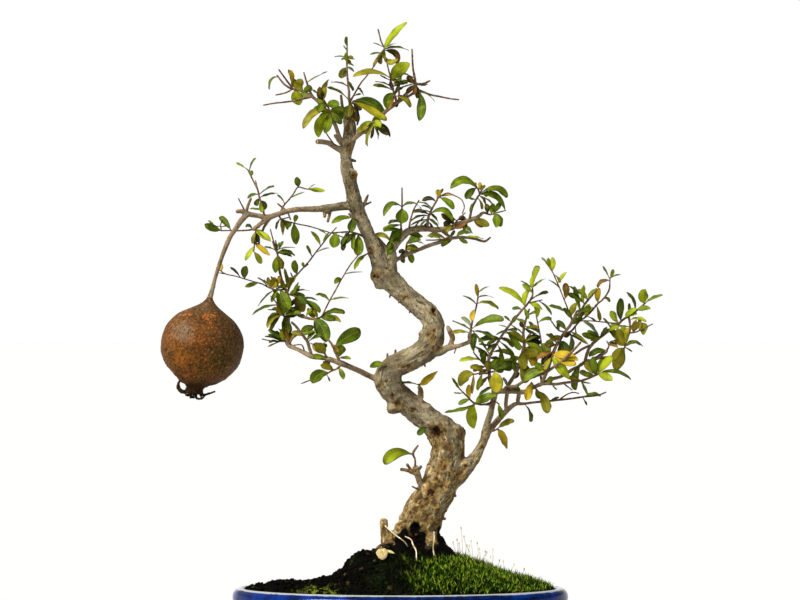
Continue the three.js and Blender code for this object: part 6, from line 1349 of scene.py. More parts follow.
def glaze_finish(colours):
    """Cobalt glaze that pools darker in patches, with paler streaks that are painted highlights, and breaks
    pale over the lip, partly as a painted highlight.
    """
    paint = Paint("glaze", 0.14, 0.1)
    height = paint.split(paint.place)[2]
    flow = paint.cloud(30, 5, 0.62, 0.8)
    fine = paint.cloud(420, 3, 0.6)
    paint.base((2, 12, 44), colours.glaze, flow, 0.38, 0.66)
    # paler blue streaks are painted highlights
    paint.lay((30, 80, 160), flow, 0.6, 0.74, 0.5)
    # the pale lip is partly thin glaze and partly a painted highlight
    paint.lay(colours.lip, height + (flow - 0.5) * 0.003, 0.0609, 0.0617, 0.85)
    rust = paint.remap(fine, 0.56, 0.68) * paint.remap(height, 0.06, 0.062)
    paint.lay((64, 58, 50), rust * 0.7)
    # bare clay at the foot
    clay = paint.mix(fine, srgb(70, 46, 32), srgb(120, 88, 64))
    paint.lay(clay, height + (flow - 0.5) * 0.006, 0.0088, 0.0068)
    return paint.done(flow + fine * 0.12, 0.0005)


def fallen_finish():
    """A dry pale leaf."""
    paint = Paint("dry_leaf", 0.6, 0.08)
    edge = paint.math("ABSOLUTE", paint.split(paint.carried("blade", "Vector"))[1])
    cloud = paint.cloud(420, 3, 0.6)
    paint.base((206, 200, 128), (158, 140, 74), cloud, 0.4, 0.65)
    paint.lay((226, 220, 160), edge, 0.16, 0.05, 0.7)
    return paint.done(cloud, 0.0004)


def finish(name, make=None, *given):
    """The material of that name, made the first time it is asked for."""
    done = bpy.data.materials.get(FINE + name)
    if done:
        return done
    return make(*given) if make else plain_finish(name, *PLAIN_FINISHES[name])


# ---- Settings ----
def colour_property(name, description, *tint):
    return bpy.props.FloatVectorProperty(
        name=name, description=description, default=srgb(*tint), subtype="COLOR", size=3, min=0.0, max=1.0)


def length_property(name, description, default):
    return bpy.props.FloatProperty(
        name=name, description=description, default=default, unit="LENGTH", subtype="DISTANCE", precision=4)


def number_property(name, description, default):
    return bpy.props.FloatProperty(name=name, description=description, default=default)


class BonsaiColours(bpy.types.PropertyGroup):
    """The tree's main colours."""

    bark: colour_property("Bark", "Bark in the shade of its ridges", 96, 85, 63)
    bark_light: colour_property("Bark Ridges", "Bark on its ridges", 153, 141, 113)
    rind: colour_property("Rind", "The fruit's main colour", 98, 60, 22)
    moss: colour_property("Moss", "The moss cushion", 58, 104, 14)
    soil: colour_property("Soil", "Damp soil", 8, 7, 5)
    glaze: colour_property("Glaze", "The pot's wall", 6, 40, 112)
    # the lip's pale tone is partly thin glaze and partly a painted highlight
    lip: colour_property("Lip", "The pot's lip, where the glaze is thin", 168, 170, 166)


class BonsaiSizes(bpy.types.PropertyGroup):
    """Sizes of the fine things that repeat."""

    wood_detail: length_property("Wood Detail", "Edge of the cells that the trunk's skin is made of", 0.00115)
    blade: length_property("Leaf Thickness", "Thickness of a leaf's blade", 0.0004)
    fold: number_property("Leaf Fold", "Rise of a blade's edges over its half width", 0.24)
    moss_blade: length_property("Moss Blade", "Half the length of one blade of moss", 0.0034)
    moss_density: number_property("Moss Density", "Blades of moss to a square metre", 800000.0)
    crumb: length_property("Soil Crumb", "Radius of a crumb of soil", 0.0025)
    crumb_density: number_property("Crumb Density", "Crumbs to a square metre", 60000.0)


class BonsaiStage(bpy.types.PropertyGroup):
    """The camera and light."""

    distance: length_property("Camera Distance", "From the camera to the trunk", 4.309)
    height: length_property("Camera Height", "The camera's height over the table", 0.35)
    width: length_property("View Width", "Width that the camera sees at the trunk", 0.8)
    sun: number_property("Sun", "Strength of the soft key light", 5.5)


# ---- Wood ----
WOOD_STEP = 1.0  # between the points of the wood's smooth paths, mm
OVERLAP = 4  # points of its stout part that a limb's slim part starts inside
THICK = 2.1 * MM  # wood stouter than this is one skin, and thinner wood is plain tubes
ROOT_GIRTH = 1.1 * MM  # the hanging roots are thinner than this, and lower than the next
ROOT_TOP = 150 * MM
FOOT_SHADE_TOP = 145 * MM
FRONT_FACING = 0.2  # pits and scars are only where the skin's normal has a smaller y than this
NEIGHBOURS = 12  # points of the spine among which the one that a place belongs to is found
STOUT = 0.006  # creases between swellings melt on wood of more than this radius
EASE_ROUNDS, EASE_SHARE = 12, 0.6
FULL_RELIEF = 0.012  # the radius at which the bark's relief is full
SCAR_DEPTH = 0.0007
# The bark's relief: how high in metres, and how fine
FLUTES, LUMPS, GRAINS = (0.0004, 45), (0.0010, 70), (0.0005, 260)
RIDGES, CRACKS = (0.0006, 300), (0.0011, 190)  # these run along the wood
CRACK_FROM, CRACK_OVER = 0.4, 0.3
# A pit's rim as a share of its radius, how fine its edge is, and the depth at which its painted shade is full
PIT_RIM, PIT_RAGGED, PIT_FULL_SHADE = 0.6, 420, 0.0025
# How ragged the edges of the foot's painted shade and of scars are, how fine, and over how much they fade
FOOT_SHADE_EDGE, SCAR_EDGE = (0.35, 110, 0.25), (0.6, 230, 0.55)


def wood_paths():
    """Every route of wood as a smooth path: the stout part of each, and the slim part."""
    thick, thin = [], []
    for route in (TRUNK, *LIMBS):
        path = smoothed(route, WOOD_STEP)
        slim = np.flatnonzero(path[:, 3] < THICK)
        end = slim[0] if len(slim) else len(path)
        if end >= OVERLAP:
            thick.append(path[: end + 1])
        if end < len(path) - 1:
            thin.append(path[max(end - OVERLAP, 0):])
    return thick, thin


def ball(mesh, place, across, upright):
    """A rounded swelling added to a bmesh."""
    made = bmesh.ops.create_icosphere(mesh, subdivisions=3, radius=1.0)
    for vertex in made["verts"]:
        co = vertex.co
        vertex.co = place + Vector((co.x * across, co.y * across, co.z * upright)) * MM


def hull_of_wood(thick, size):
    """Trunk, limbs, roots and swellings as one closed skin of even cells."""
    paths = [tapered(path, 0.5) for path in thick]
    mesh = limbs("wood_core", paths, sides=20, relief=0.12, relief_size=150.0)
    with edited(mesh, outward=False) as work:
        for right, down, y, across, upright in BURRS + KNOBS:
            ball(work, at(right, down, y), across, upright)
    holder = placed("wood_hull", mesh)
    remesh = holder.modifiers.new("cells", "REMESH")
    remesh.mode, remesh.voxel_size = "VOXEL", size
    soften = holder.modifiers.new("soften", "SMOOTH")
    soften.factor, soften.iterations = 0.5, 3
    return evaluated(holder)


def spine_of(paths):
    """Every point of the paths with its radius, heading, side and distance along, and a search tree."""
    rows_of_spine = []
    for path in paths:
        heading = np.gradient(path[:, :3], axis=0)
        heading /= np.linalg.norm(heading, axis=1)[:, None]
        side = np.cross(heading, (0.0, 1.0, 0.0))
        side /= np.maximum(np.linalg.norm(side, axis=1), 1e-6)[:, None]
        along = np.concatenate([[0], np.cumsum(np.linalg.norm(np.diff(path[:, :3], axis=0), axis=1))])
        rows_of_spine.append(np.column_stack([path, heading, side, along]))
    spine = np.vstack(rows_of_spine)
    tree = kdtree.KDTree(len(spine))
    for i, row in enumerate(spine):
        tree.insert(row[:3], i)
    tree.balance()
    return spine, tree


def ease(mesh, rows_near):
    """Melt the creases between swellings, on stout wood alone."""
    count = len(mesh.vertices)
    places, ends = np.empty(count * 3), np.empty(len(mesh.edges) * 2, int)
    mesh.vertices.foreach_get("co", places)
    mesh.edges.foreach_get("vertices", ends)
    places, (one, other) = places.reshape(-1, 3), ends.reshape(-1, 2).T
    beside = np.bincount(one, minlength=count) + np.bincount(other, minlength=count)
    share = EASE_SHARE * np.clip((rows_near[:, 3:4] - STOUT) / STOUT, 0, 1)
    for _ in range(EASE_ROUNDS):
        total = [np.bincount(one, places[other, k], count) + np.bincount(other, places[one, k], count)
                 for k in range(3)]
        places += (np.array(total).T / beside[:, None] - places) * share
    mesh.vertices.foreach_set("co", places.ravel())
    mesh.update()


def spots_of(table):
    """Oval spots on the front elevation: place, reach across, and reach up and down."""
    return [(at(right, down), across * MM, upright * MM) for right, down, across, upright in table]


def spot_share(place, spots, uneven, fine, blur):
    """1 inside the nearest of the spots, and 0 away from all of them, with a ragged edge between."""
    reached = min(math.hypot((place.x - spot.x) / across, (place.z - spot.z) / upright)
                  for spot, across, upright in spots)
    ragged = reached + uneven * noise.fractal(place * fine, 0.9, 2.1, 3)
    return clamped((1.1 - ragged) / blur)


def carve_bark(mesh, paths):
    """Flutes, flakes, cracks and pits, and what the bark's finish reads from the mesh."""
    spine, tree = spine_of(paths)
    count = len(mesh.vertices)
    nearest = [min(tree.find_n(vertex.co, NEIGHBOURS), key=lambda hit: hit[2] / spine[hit[1], 3])[1]
               for vertex in mesh.vertices]
    rows_near = spine[nearest]
    ease(mesh, rows_near)
    normals = np.empty(count * 3)
    mesh.vertices.foreach_get("normal", normals)
    normals = normals.reshape(-1, 3)
    grain = np.empty((count, 3))
    hollow, darkened, scarred = np.zeros((3, count))
    pits = [(at(right, down), radius * MM, deep * MM) for right, down, radius, deep in PITS]
    shade_spots, scars = spots_of(FOOT_SHADE_SPOTS), spots_of(SCARS)
    for i, vertex in enumerate(mesh.vertices):
        place = vertex.co.copy()
        row = rows_near[i]
        centre, radius, heading, side, along = row[:3], row[3], row[4:7], row[7:10], row[10]
        out = np.array(place) - centre
        angle = math.atan2(out @ np.cross(heading, side), out @ side)
        grain[i] = (math.cos(angle) * radius, math.sin(angle) * radius, along * 0.4)
        lengthwise = Vector(grain[i])
        stout = min(radius / FULL_RELIEF, 1.4)
        lift = FLUTES[0] * stout * math.sin(3 * angle + along * FLUTES[1])
        lift += LUMPS[0] * stout * noise.fractal(place * LUMPS[1], 0.9, 2.1, 3)
        lift += GRAINS[0] * stout * noise.fractal(place * GRAINS[1], 0.8, 2.1, 3)
        lift += RIDGES[0] * min(stout, 1) * noise.fractal(lengthwise * RIDGES[1], 0.8, 2.2, 3)
        crack = noise.noise(lengthwise * CRACKS[1] + Vector((3, 1, 2)))
        if crack > CRACK_FROM:
            lift -= CRACKS[0] * stout * (crack - CRACK_FROM) / CRACK_OVER
        in_front = normals[i][1] < FRONT_FACING
        for spot, reach, deep in pits if in_front else ():
            away = math.hypot(place.x - spot.x, place.z - spot.z)
            if away < reach * 1.5:
                ragged = away + reach * PIT_RIM * noise.noise(place * PIT_RAGGED)
                inside = clamped((reach - ragged) / (reach * PIT_RIM))
                lift -= deep * inside
                # how far inside a pit: its rusty rim, then painted shade that deepens with the pit
                hollow[i] = max(hollow[i], inside * (0.5 + 0.5 * min(deep / PIT_FULL_SHADE, 1)))
        # painted shade at the trunk's foot
        if place.z < FOOT_SHADE_TOP:
            darkened[i] = spot_share(place, shade_spots, *FOOT_SHADE_EDGE)
        if in_front:
            scarred[i] = spot_share(place, scars, *SCAR_EDGE)
        lift -= SCAR_DEPTH * stout * scarred[i]
        vertex.co = place + Vector(normals[i]) * lift
    carry(mesh, "girth", rows_near[:, 3].copy())
    carry(mesh, "hollow", hollow)
    carry(mesh, "darkened", darkened)
    carry(mesh, "scarred", scarred)
    carry(mesh, "grain", grain.ravel(), "FLOAT_VECTOR")


# A cut end is a lens: each ring's share of the radius, and its rise
LENS = [(0.0, 0.28), (0.55, 0.24), (0.9, 0.12), (1.0, 0.0), (0.8, -0.5), (0.0, -0.7)]
LENS_SIDES = 18


def cut_face(mesh, place, radius, facing):
    """A slightly domed, ragged disc of bare wood on the end of a stub, as a closed lens."""
    turn = Vector((0, 0, 1)).rotation_difference(Vector(facing).normalized())
    rings = []
    for share, rise in LENS:
        ring = []
        for angle in circle(LENS_SIDES) if share else (0.0,):
            ragged = 1 + 0.09 * math.sin(3 * angle + radius) + 0.05 * math.sin(7 * angle)
            spot = Vector((math.cos(angle), math.sin(angle), 0)) * share * ragged * radius
            ring.append(mesh.verts.new(place + turn @ (spot + Vector((0, 0, rise * radius * 0.5)))))
        rings.append(ring)
    for above, below in zip(rings, rings[1:]):
        for j in range(LENS_SIDES):
            k = (j + 1) % LENS_SIDES
            corners = [ring[i % len(ring)] for ring, i in ((above, j), (below, j), (below, k), (above, k))]
            mesh.faces.new(tuple(dict.fromkeys(corners)))


def grow_trunk(sizes, colours):
    thick, thin = wood_paths()
    mesh = hull_of_wood(thick, sizes.wood_detail)
    carve_bark(mesh, thick)
    bark = finish("bark", bark_finish, colours)
    piece("trunk_bark", mesh, "bark", ["trunk"], bark)
    slim = np.array((1, 1, 1, 0.75))
    roots, slender = [], []
    for path in thin:
        if path[:, 3].max() < ROOT_GIRTH and path[:, 2].max() < ROOT_TOP:
            roots.append(tapered(path * slim))
        else:
            slender.append(tapered(path))
    slender += [tapered(smoothed(route)) for route in THORNS]
    limb_piece("fine_roots", roots, "bark", finish("fine_root"), 8, 0.8, 500.0)
    limb_piece("thin_wood", slender, "bark", bark, 10, 0.7, 420.0)
    ends = bpy.data.meshes.new("cut_ends")
    with edited(ends) as work:
        for right, down, y, radius, facing in CUTS:
            cut_face(work, at(right, down, y), radius * MM, facing)
    piece("cut_ends", ends, "bark", finish=finish("cut_wood"))


# ---- Pot, soil and moss ----
# Half lengths and heights of the pot's wall, mm
POT_OUTSIDE = [(139, 6), (148, 12), (157, 26), (164, 42), (167.6, 51), (167, 57.5), (163, 61.5),
               (159, 62.5), (155.6, 60)]
POT_INSIDE = [(153, 46), (147, 26), (138, 15)]
POT_FEET = [(-95, -62), (95, -62), (95, 62), (-95, 62)]
POT_SECTORS = 160
FOOT_PROFILE = [(0, 0), (13.2, 0), (14.4, 0.7), (15.4, 2.6), (16.4, 5.6), (17, 8), (17, 9), (0, 9)]
FOOT_SECTORS = 32
DRAINS = (-75, 75)
DRAIN_RADIUS, DRAIN_LENGTH, DRAIN_SECTORS = 7 * MM, 0.1, 32
WALL_STEP, INSIDE_STEP = 1.6, 4  # between the rings of the wall, outside and inside, mm
SHARP_EDGE = math.radians(50)
# The soil's ridge: right and down
RIDGE = rows("""
245 588, 252 585, 264 584, 273 580, 290 581, 306 581, 320 578, 332 576, 340 569, 350 560, 358 551,
372 550, 392 549, 416 551, 440 554, 452 555.5, 466 558, 480 563, 497 570.5, 512 575, 530 579, 545 584,
556 589""")
SOIL_EDGE_Z = 58.5
SOIL_HALF = POT_OUTSIDE[-1][0]  # half the length of the soil's edge
SOIL_SECTORS, SOIL_RINGS = 200, 56
SOIL_SLOPE = 4  # rings over which the lumps start at the wall
SOIL_ROUNDNESS = 0.75  # how the mound falls to the front and the back
WALL_GAP = 0.5  # between the soil and the wall, mm
# Lumps here and below: height in mm, how fine and how rough
SOIL_LUMPS = ((2.4, 0.075, 1), (1.8, 0.24, 0.9))
SOIL_SETTLED, SOIL_UNDER_MOSS = 2.2, 4.5  # how far it lies under its smooth height, mm
SOIL_FACING_UP, CRUMBS_ABOVE = 0.2, 0.056
MOSS_ANGLES = (-1.72, 1.25)
MOSS_SHARES = (0.24, 0.975)
MOSS_STEPS, MOSS_LINES = 150, 40
MOSS_SIDE_SLOPE, MOSS_RIM_SLOPE = 7, 4  # steps and lines over which the cushion rises from its edges
MOSS_SHARE_MOST = 0.985
MOSS_BLUR = (0.2, 0.06, 0.03)  # over how much of the angle and of the share the moss begins and ends
MOSS_UNDERSIDE = 6  # how far under the soil's surface the cushion's skirt goes, mm
MOSS_HUMMOCKS, MOSS_OUTLINE = ((1.6, 0.16, 1),), ((14, 0.05, 1),)
MOSS_SETTLED, MOSS_EDGE_SUNK = 2.4, 1.6
MOSS_FACING_UP = 0.25
MOSS_GREEN_FROM, MOSS_GREEN_OVER = 403, 16  # right, and the width over which it turns green
# Places where the moss turns nearly black: right, y and reach
MOSS_GAPS = [(514, -22, 10), (520, 8, 8), (549, -14, 7), (424, -10, 12), (452, 2, 8), (412, -36, 15),
             (430, -30, 12), (418, -60, 11), (500, -50, 7), (532, -30, 6), (480, -8, 6)]


def skin(name, rings):
    """A mesh over rings of equal numbers of points, capped at both ends."""
    around = len(rings[0])
    faces = [(i + j, i + (j + 1) % around, i + around + (j + 1) % around, i + around + j)
             for i in range(0, (len(rings) - 1) * around, around) for j in range(around)]
    faces.append(tuple(reversed(range(around))))
    faces.append(tuple(range((len(rings) - 1) * around, len(rings) * around)))
    mesh = bpy.data.meshes.new(name)
    mesh.from_pydata([point for ring in rings for point in ring], [], faces)
    return mesh


def rounded(profile, step):
    """A profile of pairs with smooth points between its own."""
    path = smoothed([(a - ELEVATION_LEFT, ELEVATION_TOP - b, 0, 1) for a, b in profile], step)
    return path[:, [0, 2]] / MM


def oval(half, z, sectors=POT_SECTORS):
    return [((POT_CENTRE_X + half * math.cos(a)) * MM, (half - POT_ROUNDING) * math.sin(a) * MM, z * MM)
            for a in 2 * np.pi * np.arange(sectors) / sectors]


def add_foot(work, x, y):
    """A turned foot with its centre at a place under the pot."""
    rings = [[work.verts.new(Vector((x + radius * math.cos(angle), y + radius * math.sin(angle), z)) * MM)
              for angle in circle(FOOT_SECTORS)] for radius, z in FOOT_PROFILE]
    for below, above in zip(rings, rings[1:]):
        for j in range(FOOT_SECTORS):
            k = (j + 1) % FOOT_SECTORS
            work.faces.new((below[j], below[k], above[k], above[j]))


def build_pot(colours):
    profile = [*rounded(POT_OUTSIDE, WALL_STEP), *rounded(POT_INSIDE, INSIDE_STEP)]
    mesh = skin("pot_wall", [oval(half, z) for half, z in profile])
    with edited(mesh) as work:
        for x, y in POT_FEET:
            add_foot(work, POT_CENTRE_X + x, y)
        bmesh.ops.remove_doubles(work, verts=work.verts, dist=TOUCHING)
    holder = placed("pot_wall", mesh)
    cutters = []
    for x in DRAINS:
        cutter = placed("drain", bpy.data.meshes.new("drain"))
        with edited(cutter.data, outward=False) as work:
            bmesh.ops.create_cone(work, cap_ends=True, segments=DRAIN_SECTORS, radius1=DRAIN_RADIUS,
                                  radius2=DRAIN_RADIUS, depth=DRAIN_LENGTH)
            bmesh.ops.translate(work, verts=work.verts, vec=Vector((POT_CENTRE_X + x, 0, 0)) * MM)
        cut = holder.modifiers.new("drain", "BOOLEAN")
        cut.operation, cut.object, cut.solver = "DIFFERENCE", cutter, "EXACT"
        cutters.append(cutter)
    mesh = evaluated(holder)
    for cutter in cutters:
        bpy.data.objects.remove(cutter)
    piece("glazed_pot", mesh, "glaze", ["pot"], finish("glaze", glaze_finish, colours))
    mesh.set_sharp_from_angle(angle=SHARP_EDGE)


def ground_height(x, y):
    """The soil's smooth height at a place in the pot, mm."""
    ridge = float(np.interp(x - ELEVATION_LEFT, [right for right, _ in RIDGE],
                            [ELEVATION_TOP - down for _, down in RIDGE], left=SOIL_EDGE_Z, right=SOIL_EDGE_Z))
    across = min(abs((x - POT_CENTRE_X) / SOIL_HALF), 0.999)
    half_depth = (SOIL_HALF - POT_ROUNDING) * math.sqrt(1 - across**2)
    fall = max(1 - (y / half_depth) ** 2, 0) ** SOIL_ROUNDNESS
    return SOIL_EDGE_Z + max(ridge - SOIL_EDGE_Z, 0) * fall


def pot_place(share, angle):
    half = SOIL_HALF - WALL_GAP
    return (POT_CENTRE_X + share * half * math.cos(angle), share * (half - POT_ROUNDING) * math.sin(angle))


def on_ground(share, angle, lift):
    """A point at a share of the pot's radius, lifted off the soil's smooth height."""
    x, y = pot_place(share, angle)
    return (x * MM, y * MM, (ground_height(x, y) + lift) * MM)


def cover_attributes(mesh, covered, thick):
    """Which faces carry scattered shapes, and how thickly they stand at each point."""
    carry(mesh, "cover", [covered(face) for face in mesh.polygons], "BOOLEAN", "FACE")
    carry(mesh, "thick", [thick(vertex.co) for vertex in mesh.vertices])
    carry(mesh, "chance", [0.5] * len(mesh.vertices))


def moss_share(x, y):
    """1 well inside the moss, 0 outside it."""
    half = SOIL_HALF - WALL_GAP
    across, deep = (x - POT_CENTRE_X) / half, y / (half - POT_ROUNDING)
    angle, share = math.atan2(deep, across), math.hypot(across, deep)
    sides = min(angle - MOSS_ANGLES[0], MOSS_ANGLES[1] - angle) / MOSS_BLUR[0]
    inner, outer = (share - MOSS_SHARES[0]) / MOSS_BLUR[1], (MOSS_SHARES[1] - share) / MOSS_BLUR[2]
    return clamped(min(sides, inner, outer))


def moss_greenness(co):
    """How green the moss is: nearly black at the trunk's left, green to its right, with dark gaps."""
    x, y = co.x / MM, co.y / MM
    right = x - ELEVATION_LEFT
    edge = right + lumps(Vector((x, y, 0)), MOSS_OUTLINE)
    green = clamped((edge - MOSS_GREEN_FROM) / MOSS_GREEN_OVER)
    for gap_x, gap_y, reach in MOSS_GAPS:
        away = math.hypot(right - gap_x, y - gap_y) + 4 * noise.noise(Vector((x, y, 3)) * 0.2)
        green *= clamped((away - reach * 0.6) / (reach * 0.4))
    return green


def build_soil(sizes, colours):
    rings = [oval(half - WALL_GAP, z + WALL_GAP, SOIL_SECTORS) for half, z in reversed(POT_INSIDE)]
    for i in range(SOIL_RINGS, 0, -1):
        ring = []
        for angle in circle(SOIL_SECTORS):
            x, y = pot_place(i / SOIL_RINGS, angle)
            inward = min((SOIL_RINGS - i) / SOIL_SLOPE, 1)
            lift = lumps(Vector((x, y, 0)), SOIL_LUMPS) - SOIL_SETTLED - SOIL_UNDER_MOSS * moss_share(x, y)
            ring.append(on_ground(i / SOIL_RINGS, angle, inward * lift))
        rings.append(ring)
    mesh = skin("soil_mound", rings)
    cover_attributes(mesh, lambda face: face.normal.z > SOIL_FACING_UP and face.center.z > CRUMBS_ABOVE
                     and moss_share(face.center.x / MM, face.center.y / MM) < 0.5,
                     lambda co: max(0.7 + 1.2 * noise.noise(co * 45), 0.1))
    soil = finish("soil", soil_finish, colours)
    made = grown("soil_mound", mesh, shared_tree("Soil Crumbs", scatter_tree, "Soil Crumbs", "crumb"),
                 density=sizes.crumb_density, size=sizes.crumb, tilt=2.0, seed=SEED, ground_finish=soil,
                 finish=soil)
    piece("soil_mound", made, "soil", ["soil"])


def moss_height(x, y):
    waves = 1.4 * math.sin(x * 0.47 + y * 0.23) + 1.1 * math.cos(y * 0.61 - x * 0.13)
    return waves + lumps(Vector((x, y, 0)), MOSS_HUMMOCKS) - MOSS_SETTLED


def build_moss(sizes, colours):
    rings = []
    for i in range(MOSS_STEPS + 1):
        angle = MOSS_ANGLES[0] + (MOSS_ANGLES[1] - MOSS_ANGLES[0]) * i / MOSS_STEPS
        ragged = 0.02 * noise.noise(Vector((angle * 9, 0, 0)))
        column = []
        for j in range(MOSS_LINES + 1):
            share = MOSS_SHARES[0] + (MOSS_SHARES[1] - MOSS_SHARES[0]) * j / MOSS_LINES + ragged
            share = min(share, MOSS_SHARE_MOST)
            inward = min(min(i, MOSS_STEPS - i) / MOSS_SIDE_SLOPE, min(j, MOSS_LINES - j) / MOSS_RIM_SLOPE, 1)
            lift = moss_height(*pot_place(share, angle)) * inward - MOSS_EDGE_SUNK * (1 - inward)
            column.append(on_ground(share, angle, lift))
        column += [on_ground(share, angle, -MOSS_UNDERSIDE) for share in reversed(MOSS_SHARES)]
        rings.append(column)
    mesh = skin("moss_cushion", rings)
    turn_outward(mesh)
    carry(mesh, "bright", [moss_greenness(vertex.co) for vertex in mesh.vertices])
    cover_attributes(mesh, lambda face: face.normal.z > MOSS_FACING_UP,
                     lambda co: (0.7 + 0.6 * noise.noise(co * 60)) * (0.45 + 0.55 * moss_greenness(co)))
    made = grown("moss_cushion", mesh, shared_tree("Moss Blades", scatter_tree, "Moss Blades", "blade"),
                 density=sizes.moss_density, size=sizes.moss_blade, tilt=0.36, seed=SEED + 1,
                 # the bed is painted 0.7 of the way to near black, as painted shade under the blades
                 ground_finish=finish("moss_bed", moss_finish, colours, "moss_bed", 0.7),
                 finish=finish("moss_blade", moss_finish, colours, "moss_blade", 0.0))
    piece("moss_cushion", made, "moss", ["moss"])


# Moss stalks: the foot, a place on the way and the capsule, each right and down, and the depth
STALKS = rows("""
463 556 462 541 461 529 -6, 456 556 455 549 453 543 -12, 460 557 460 550 459 545 2,
473 558 472 549 471 542 -4, 487 566 486 559 485 552 -10, 492 569 493 560 493 551 4,
498 571 498 566 499 561 -14, 474 561 473 559.5 472 558 -20, 467 560 468 551 469 546 -16,
448 556 447 550 447 546 -10, 479 563 480 555 479 550 -3, 470 560 470 553 467 547 6,
482 565 484 557 487 554 8, 503 574 504 567 503 562 -8, 510 576 512 569 514 566 3,
455 557 458 549 457 541 -2, 465 558 466 547 464 538 3, 476 562 478 553 477 544 -8,
521 579 522 573 524 570 -6, 490 568 489 561 490 557 -18""")
CAPSULE_GIRTHS = (0.2, 0.5, 0.55, 0.2)
CAPSULE_STEP = 0.9 * MM


def build_stalks():
    stems, tops = [], []
    for foot_right, foot_down, mid_right, mid_down, top_right, top_down, depth in STALKS:
        stem = smoothed([(foot_right, foot_down + 3, depth, 0.26), (mid_right, mid_down, depth - 1, 0.22),
                         (top_right, top_down, depth - 0.5, 0.2)])
        stems.append(stem)
        tops.append(np.array([[*(stem[-1, :3] + (0, 0, CAPSULE_STEP * k)), girth * MM]
                              for k, girth in enumerate(CAPSULE_GIRTHS)]))
    limb_piece("moss_stalks", stems + tops, "moss", finish("moss_stalk"), 6, 0.3, 600.0)


# ---- Fruit ----
FRUIT_TOP = (211, 298.6, -30)
FRUIT_TILT = math.radians(9.5)
FRUIT_SECTORS = 128
FRUIT_STEP, LOBE_STEP = 1.1, 0.8  # between the rings of the rind, and along the crown's lobes, mm
FRUIT_CORNERS, CORNER_SWELL, CORNER_TURN = 5, 0.018, 0.6  # it is a little five-sided
# Radius and drop from the fruit's top, down to the rim of its crown
FRUIT_PROFILE = [(2.9, -1), (3.6, 0.6), (5.4, 3.2), (9.5, 7), (18, 12.3), (29, 19.5), (36.5, 29),
                 (40.3, 39), (40.8, 49), (39.2, 60), (34, 69.5), (26, 78), (17.5, 84), (10.5, 87.4),
                 (8.6, 90), (9, 93), (9.6, 96)]
CROWN_INSIDE = [(8.2, 95.4), (6.6, 92.5), (4.0, 90.0)]
CROWN_START = 90
RIND_LUMPS = ((0.75, 0.06, 1), (0.22, 0.4, 0.9))
CROWN_LOBES = routes("""
190 387 -31 2.2, 187 391 -32 2, 183 390.5 -33 2.1, 180.2 387 -33 2, 180.2 383 -34 1.5, 182 379.5 -34 .9;
200 389 -29 2, 204 394 -28 1.4, 210 393 -27 1.1, 216 391 -26 .9;
198 390 -33 1.8, 198 397 -35 1.2, 203 398 -34 1, 206 395 -32 .9;
193 390 -24 2, 192 396 -20 1.5, 195 397 -15 1.1;
194 389 -36 2, 191 394 -40 1.5, 188 394 -44 1.1;
196 392 -31 1.4, 194.5 396 -31 1, 191.6 397.4 -32 .7;
201 391 -34 1.3, 203 396.5 -37 .9, 202 398 -41 .6;
188 388 -28 1.4, 186.5 392.5 -25 1.1, 189 395.5 -22 .7""")


def rind_bulge(spot, angle, radius, drop):
    """How much further out than a turned shape a place on the rind is."""
    rough = lumps(spot, RIND_LUMPS)
    if drop > CROWN_START:
        rough += 1.6 * noise.noise(Vector((angle * 3, 1, 2))) * (drop - CROWN_START) / 6
    return 1 + min(radius / 30, 1) * rough / max(radius, 12)


def build_fruit(colours):
    top = at(*FRUIT_TOP)
    lean = Euler((0, FRUIT_TILT, 0)).to_matrix()
    rings = []
    for radius, drop in rounded(FRUIT_PROFILE, FRUIT_STEP):
        ring = []
        for angle in circle(FRUIT_SECTORS):
            reach = radius * (1 + CORNER_SWELL * math.sin(FRUIT_CORNERS * angle + CORNER_TURN))
            spot = Vector((reach * math.cos(angle), reach * math.sin(angle), -drop))
            spot *= rind_bulge(spot, angle, radius, drop)
            ring.append(top + lean @ (spot * MM))
        rings.append(ring)
    for radius, drop in CROWN_INSIDE:
        rings.append([top + lean @ (Vector((radius * math.cos(angle), radius * math.sin(angle), -drop)) * MM)
                      for angle in circle(FRUIT_SECTORS)])
    mesh = skin("rind", rings)
    turn_outward(mesh)
    piece("pomegranate", mesh, "rind", ["fruit"], finish("rind", rind_finish, colours))
    lobes = [tapered(smoothed(route, LOBE_STEP)) for route in CROWN_LOBES]
    limb_piece("fruit_crown", lobes, "rind", finish("withered_crown"), 9, 1.1, 520.0)


# ---- Sprays ----
def grow_sprays(sizes, colours):
    """Each leafy shoot with its fine leaves, as one piece in its own solid's place."""
    luck = np.random.default_rng(SEED)
    tree = shared_tree("Leafy Shoot", shoot_tree)
    bark, leaf = finish("bark", bark_finish, colours), finish("leaf", leaf_finish)
    for name, plan in SPRAYS.items():
        twigs, *kinds_of_leaf = plan.split("|")
        twigs = [smoothed(route) for route in routes(twigs)]
        courses = [leaf_course(twigs, row, i) for kind in kinds_of_leaf for i, row in enumerate(rows(kind))]
        stalks = [np.array([[*course["seat"], STALK_RADII[0]], [*course["root"], STALK_RADII[1]]])
                  for course in courses if course["stalked"]]
        wood = [tapered(twig) for twig in twigs] + stalks
        mesh = shoot_mesh(name, wood, courses, luck.random(len(courses)))
        made = grown(name, mesh, tree, blade_thickness=sizes.blade, fold=sizes.fold, twig_finish=bark,
                     leaf_finish=leaf)
        tones = [row[7] for row in rows(kinds_of_leaf[0])]
        commonest = max(dict.fromkeys(tones), key=tones.count)
        piece("leaves_" + name, made, TONES[commonest][1], ["spray_" + name])


# The fallen leaf: four places along it, half its width in metres, and how far it is turned
FALLEN_PLACES = ((382.6, 549, -30.5), (384, 549.2, -31), (389, 549.6, -33), (395.5, 552.4, -35))
FALLEN_WIDTH, FALLEN_TURN = 0.005, 1.1


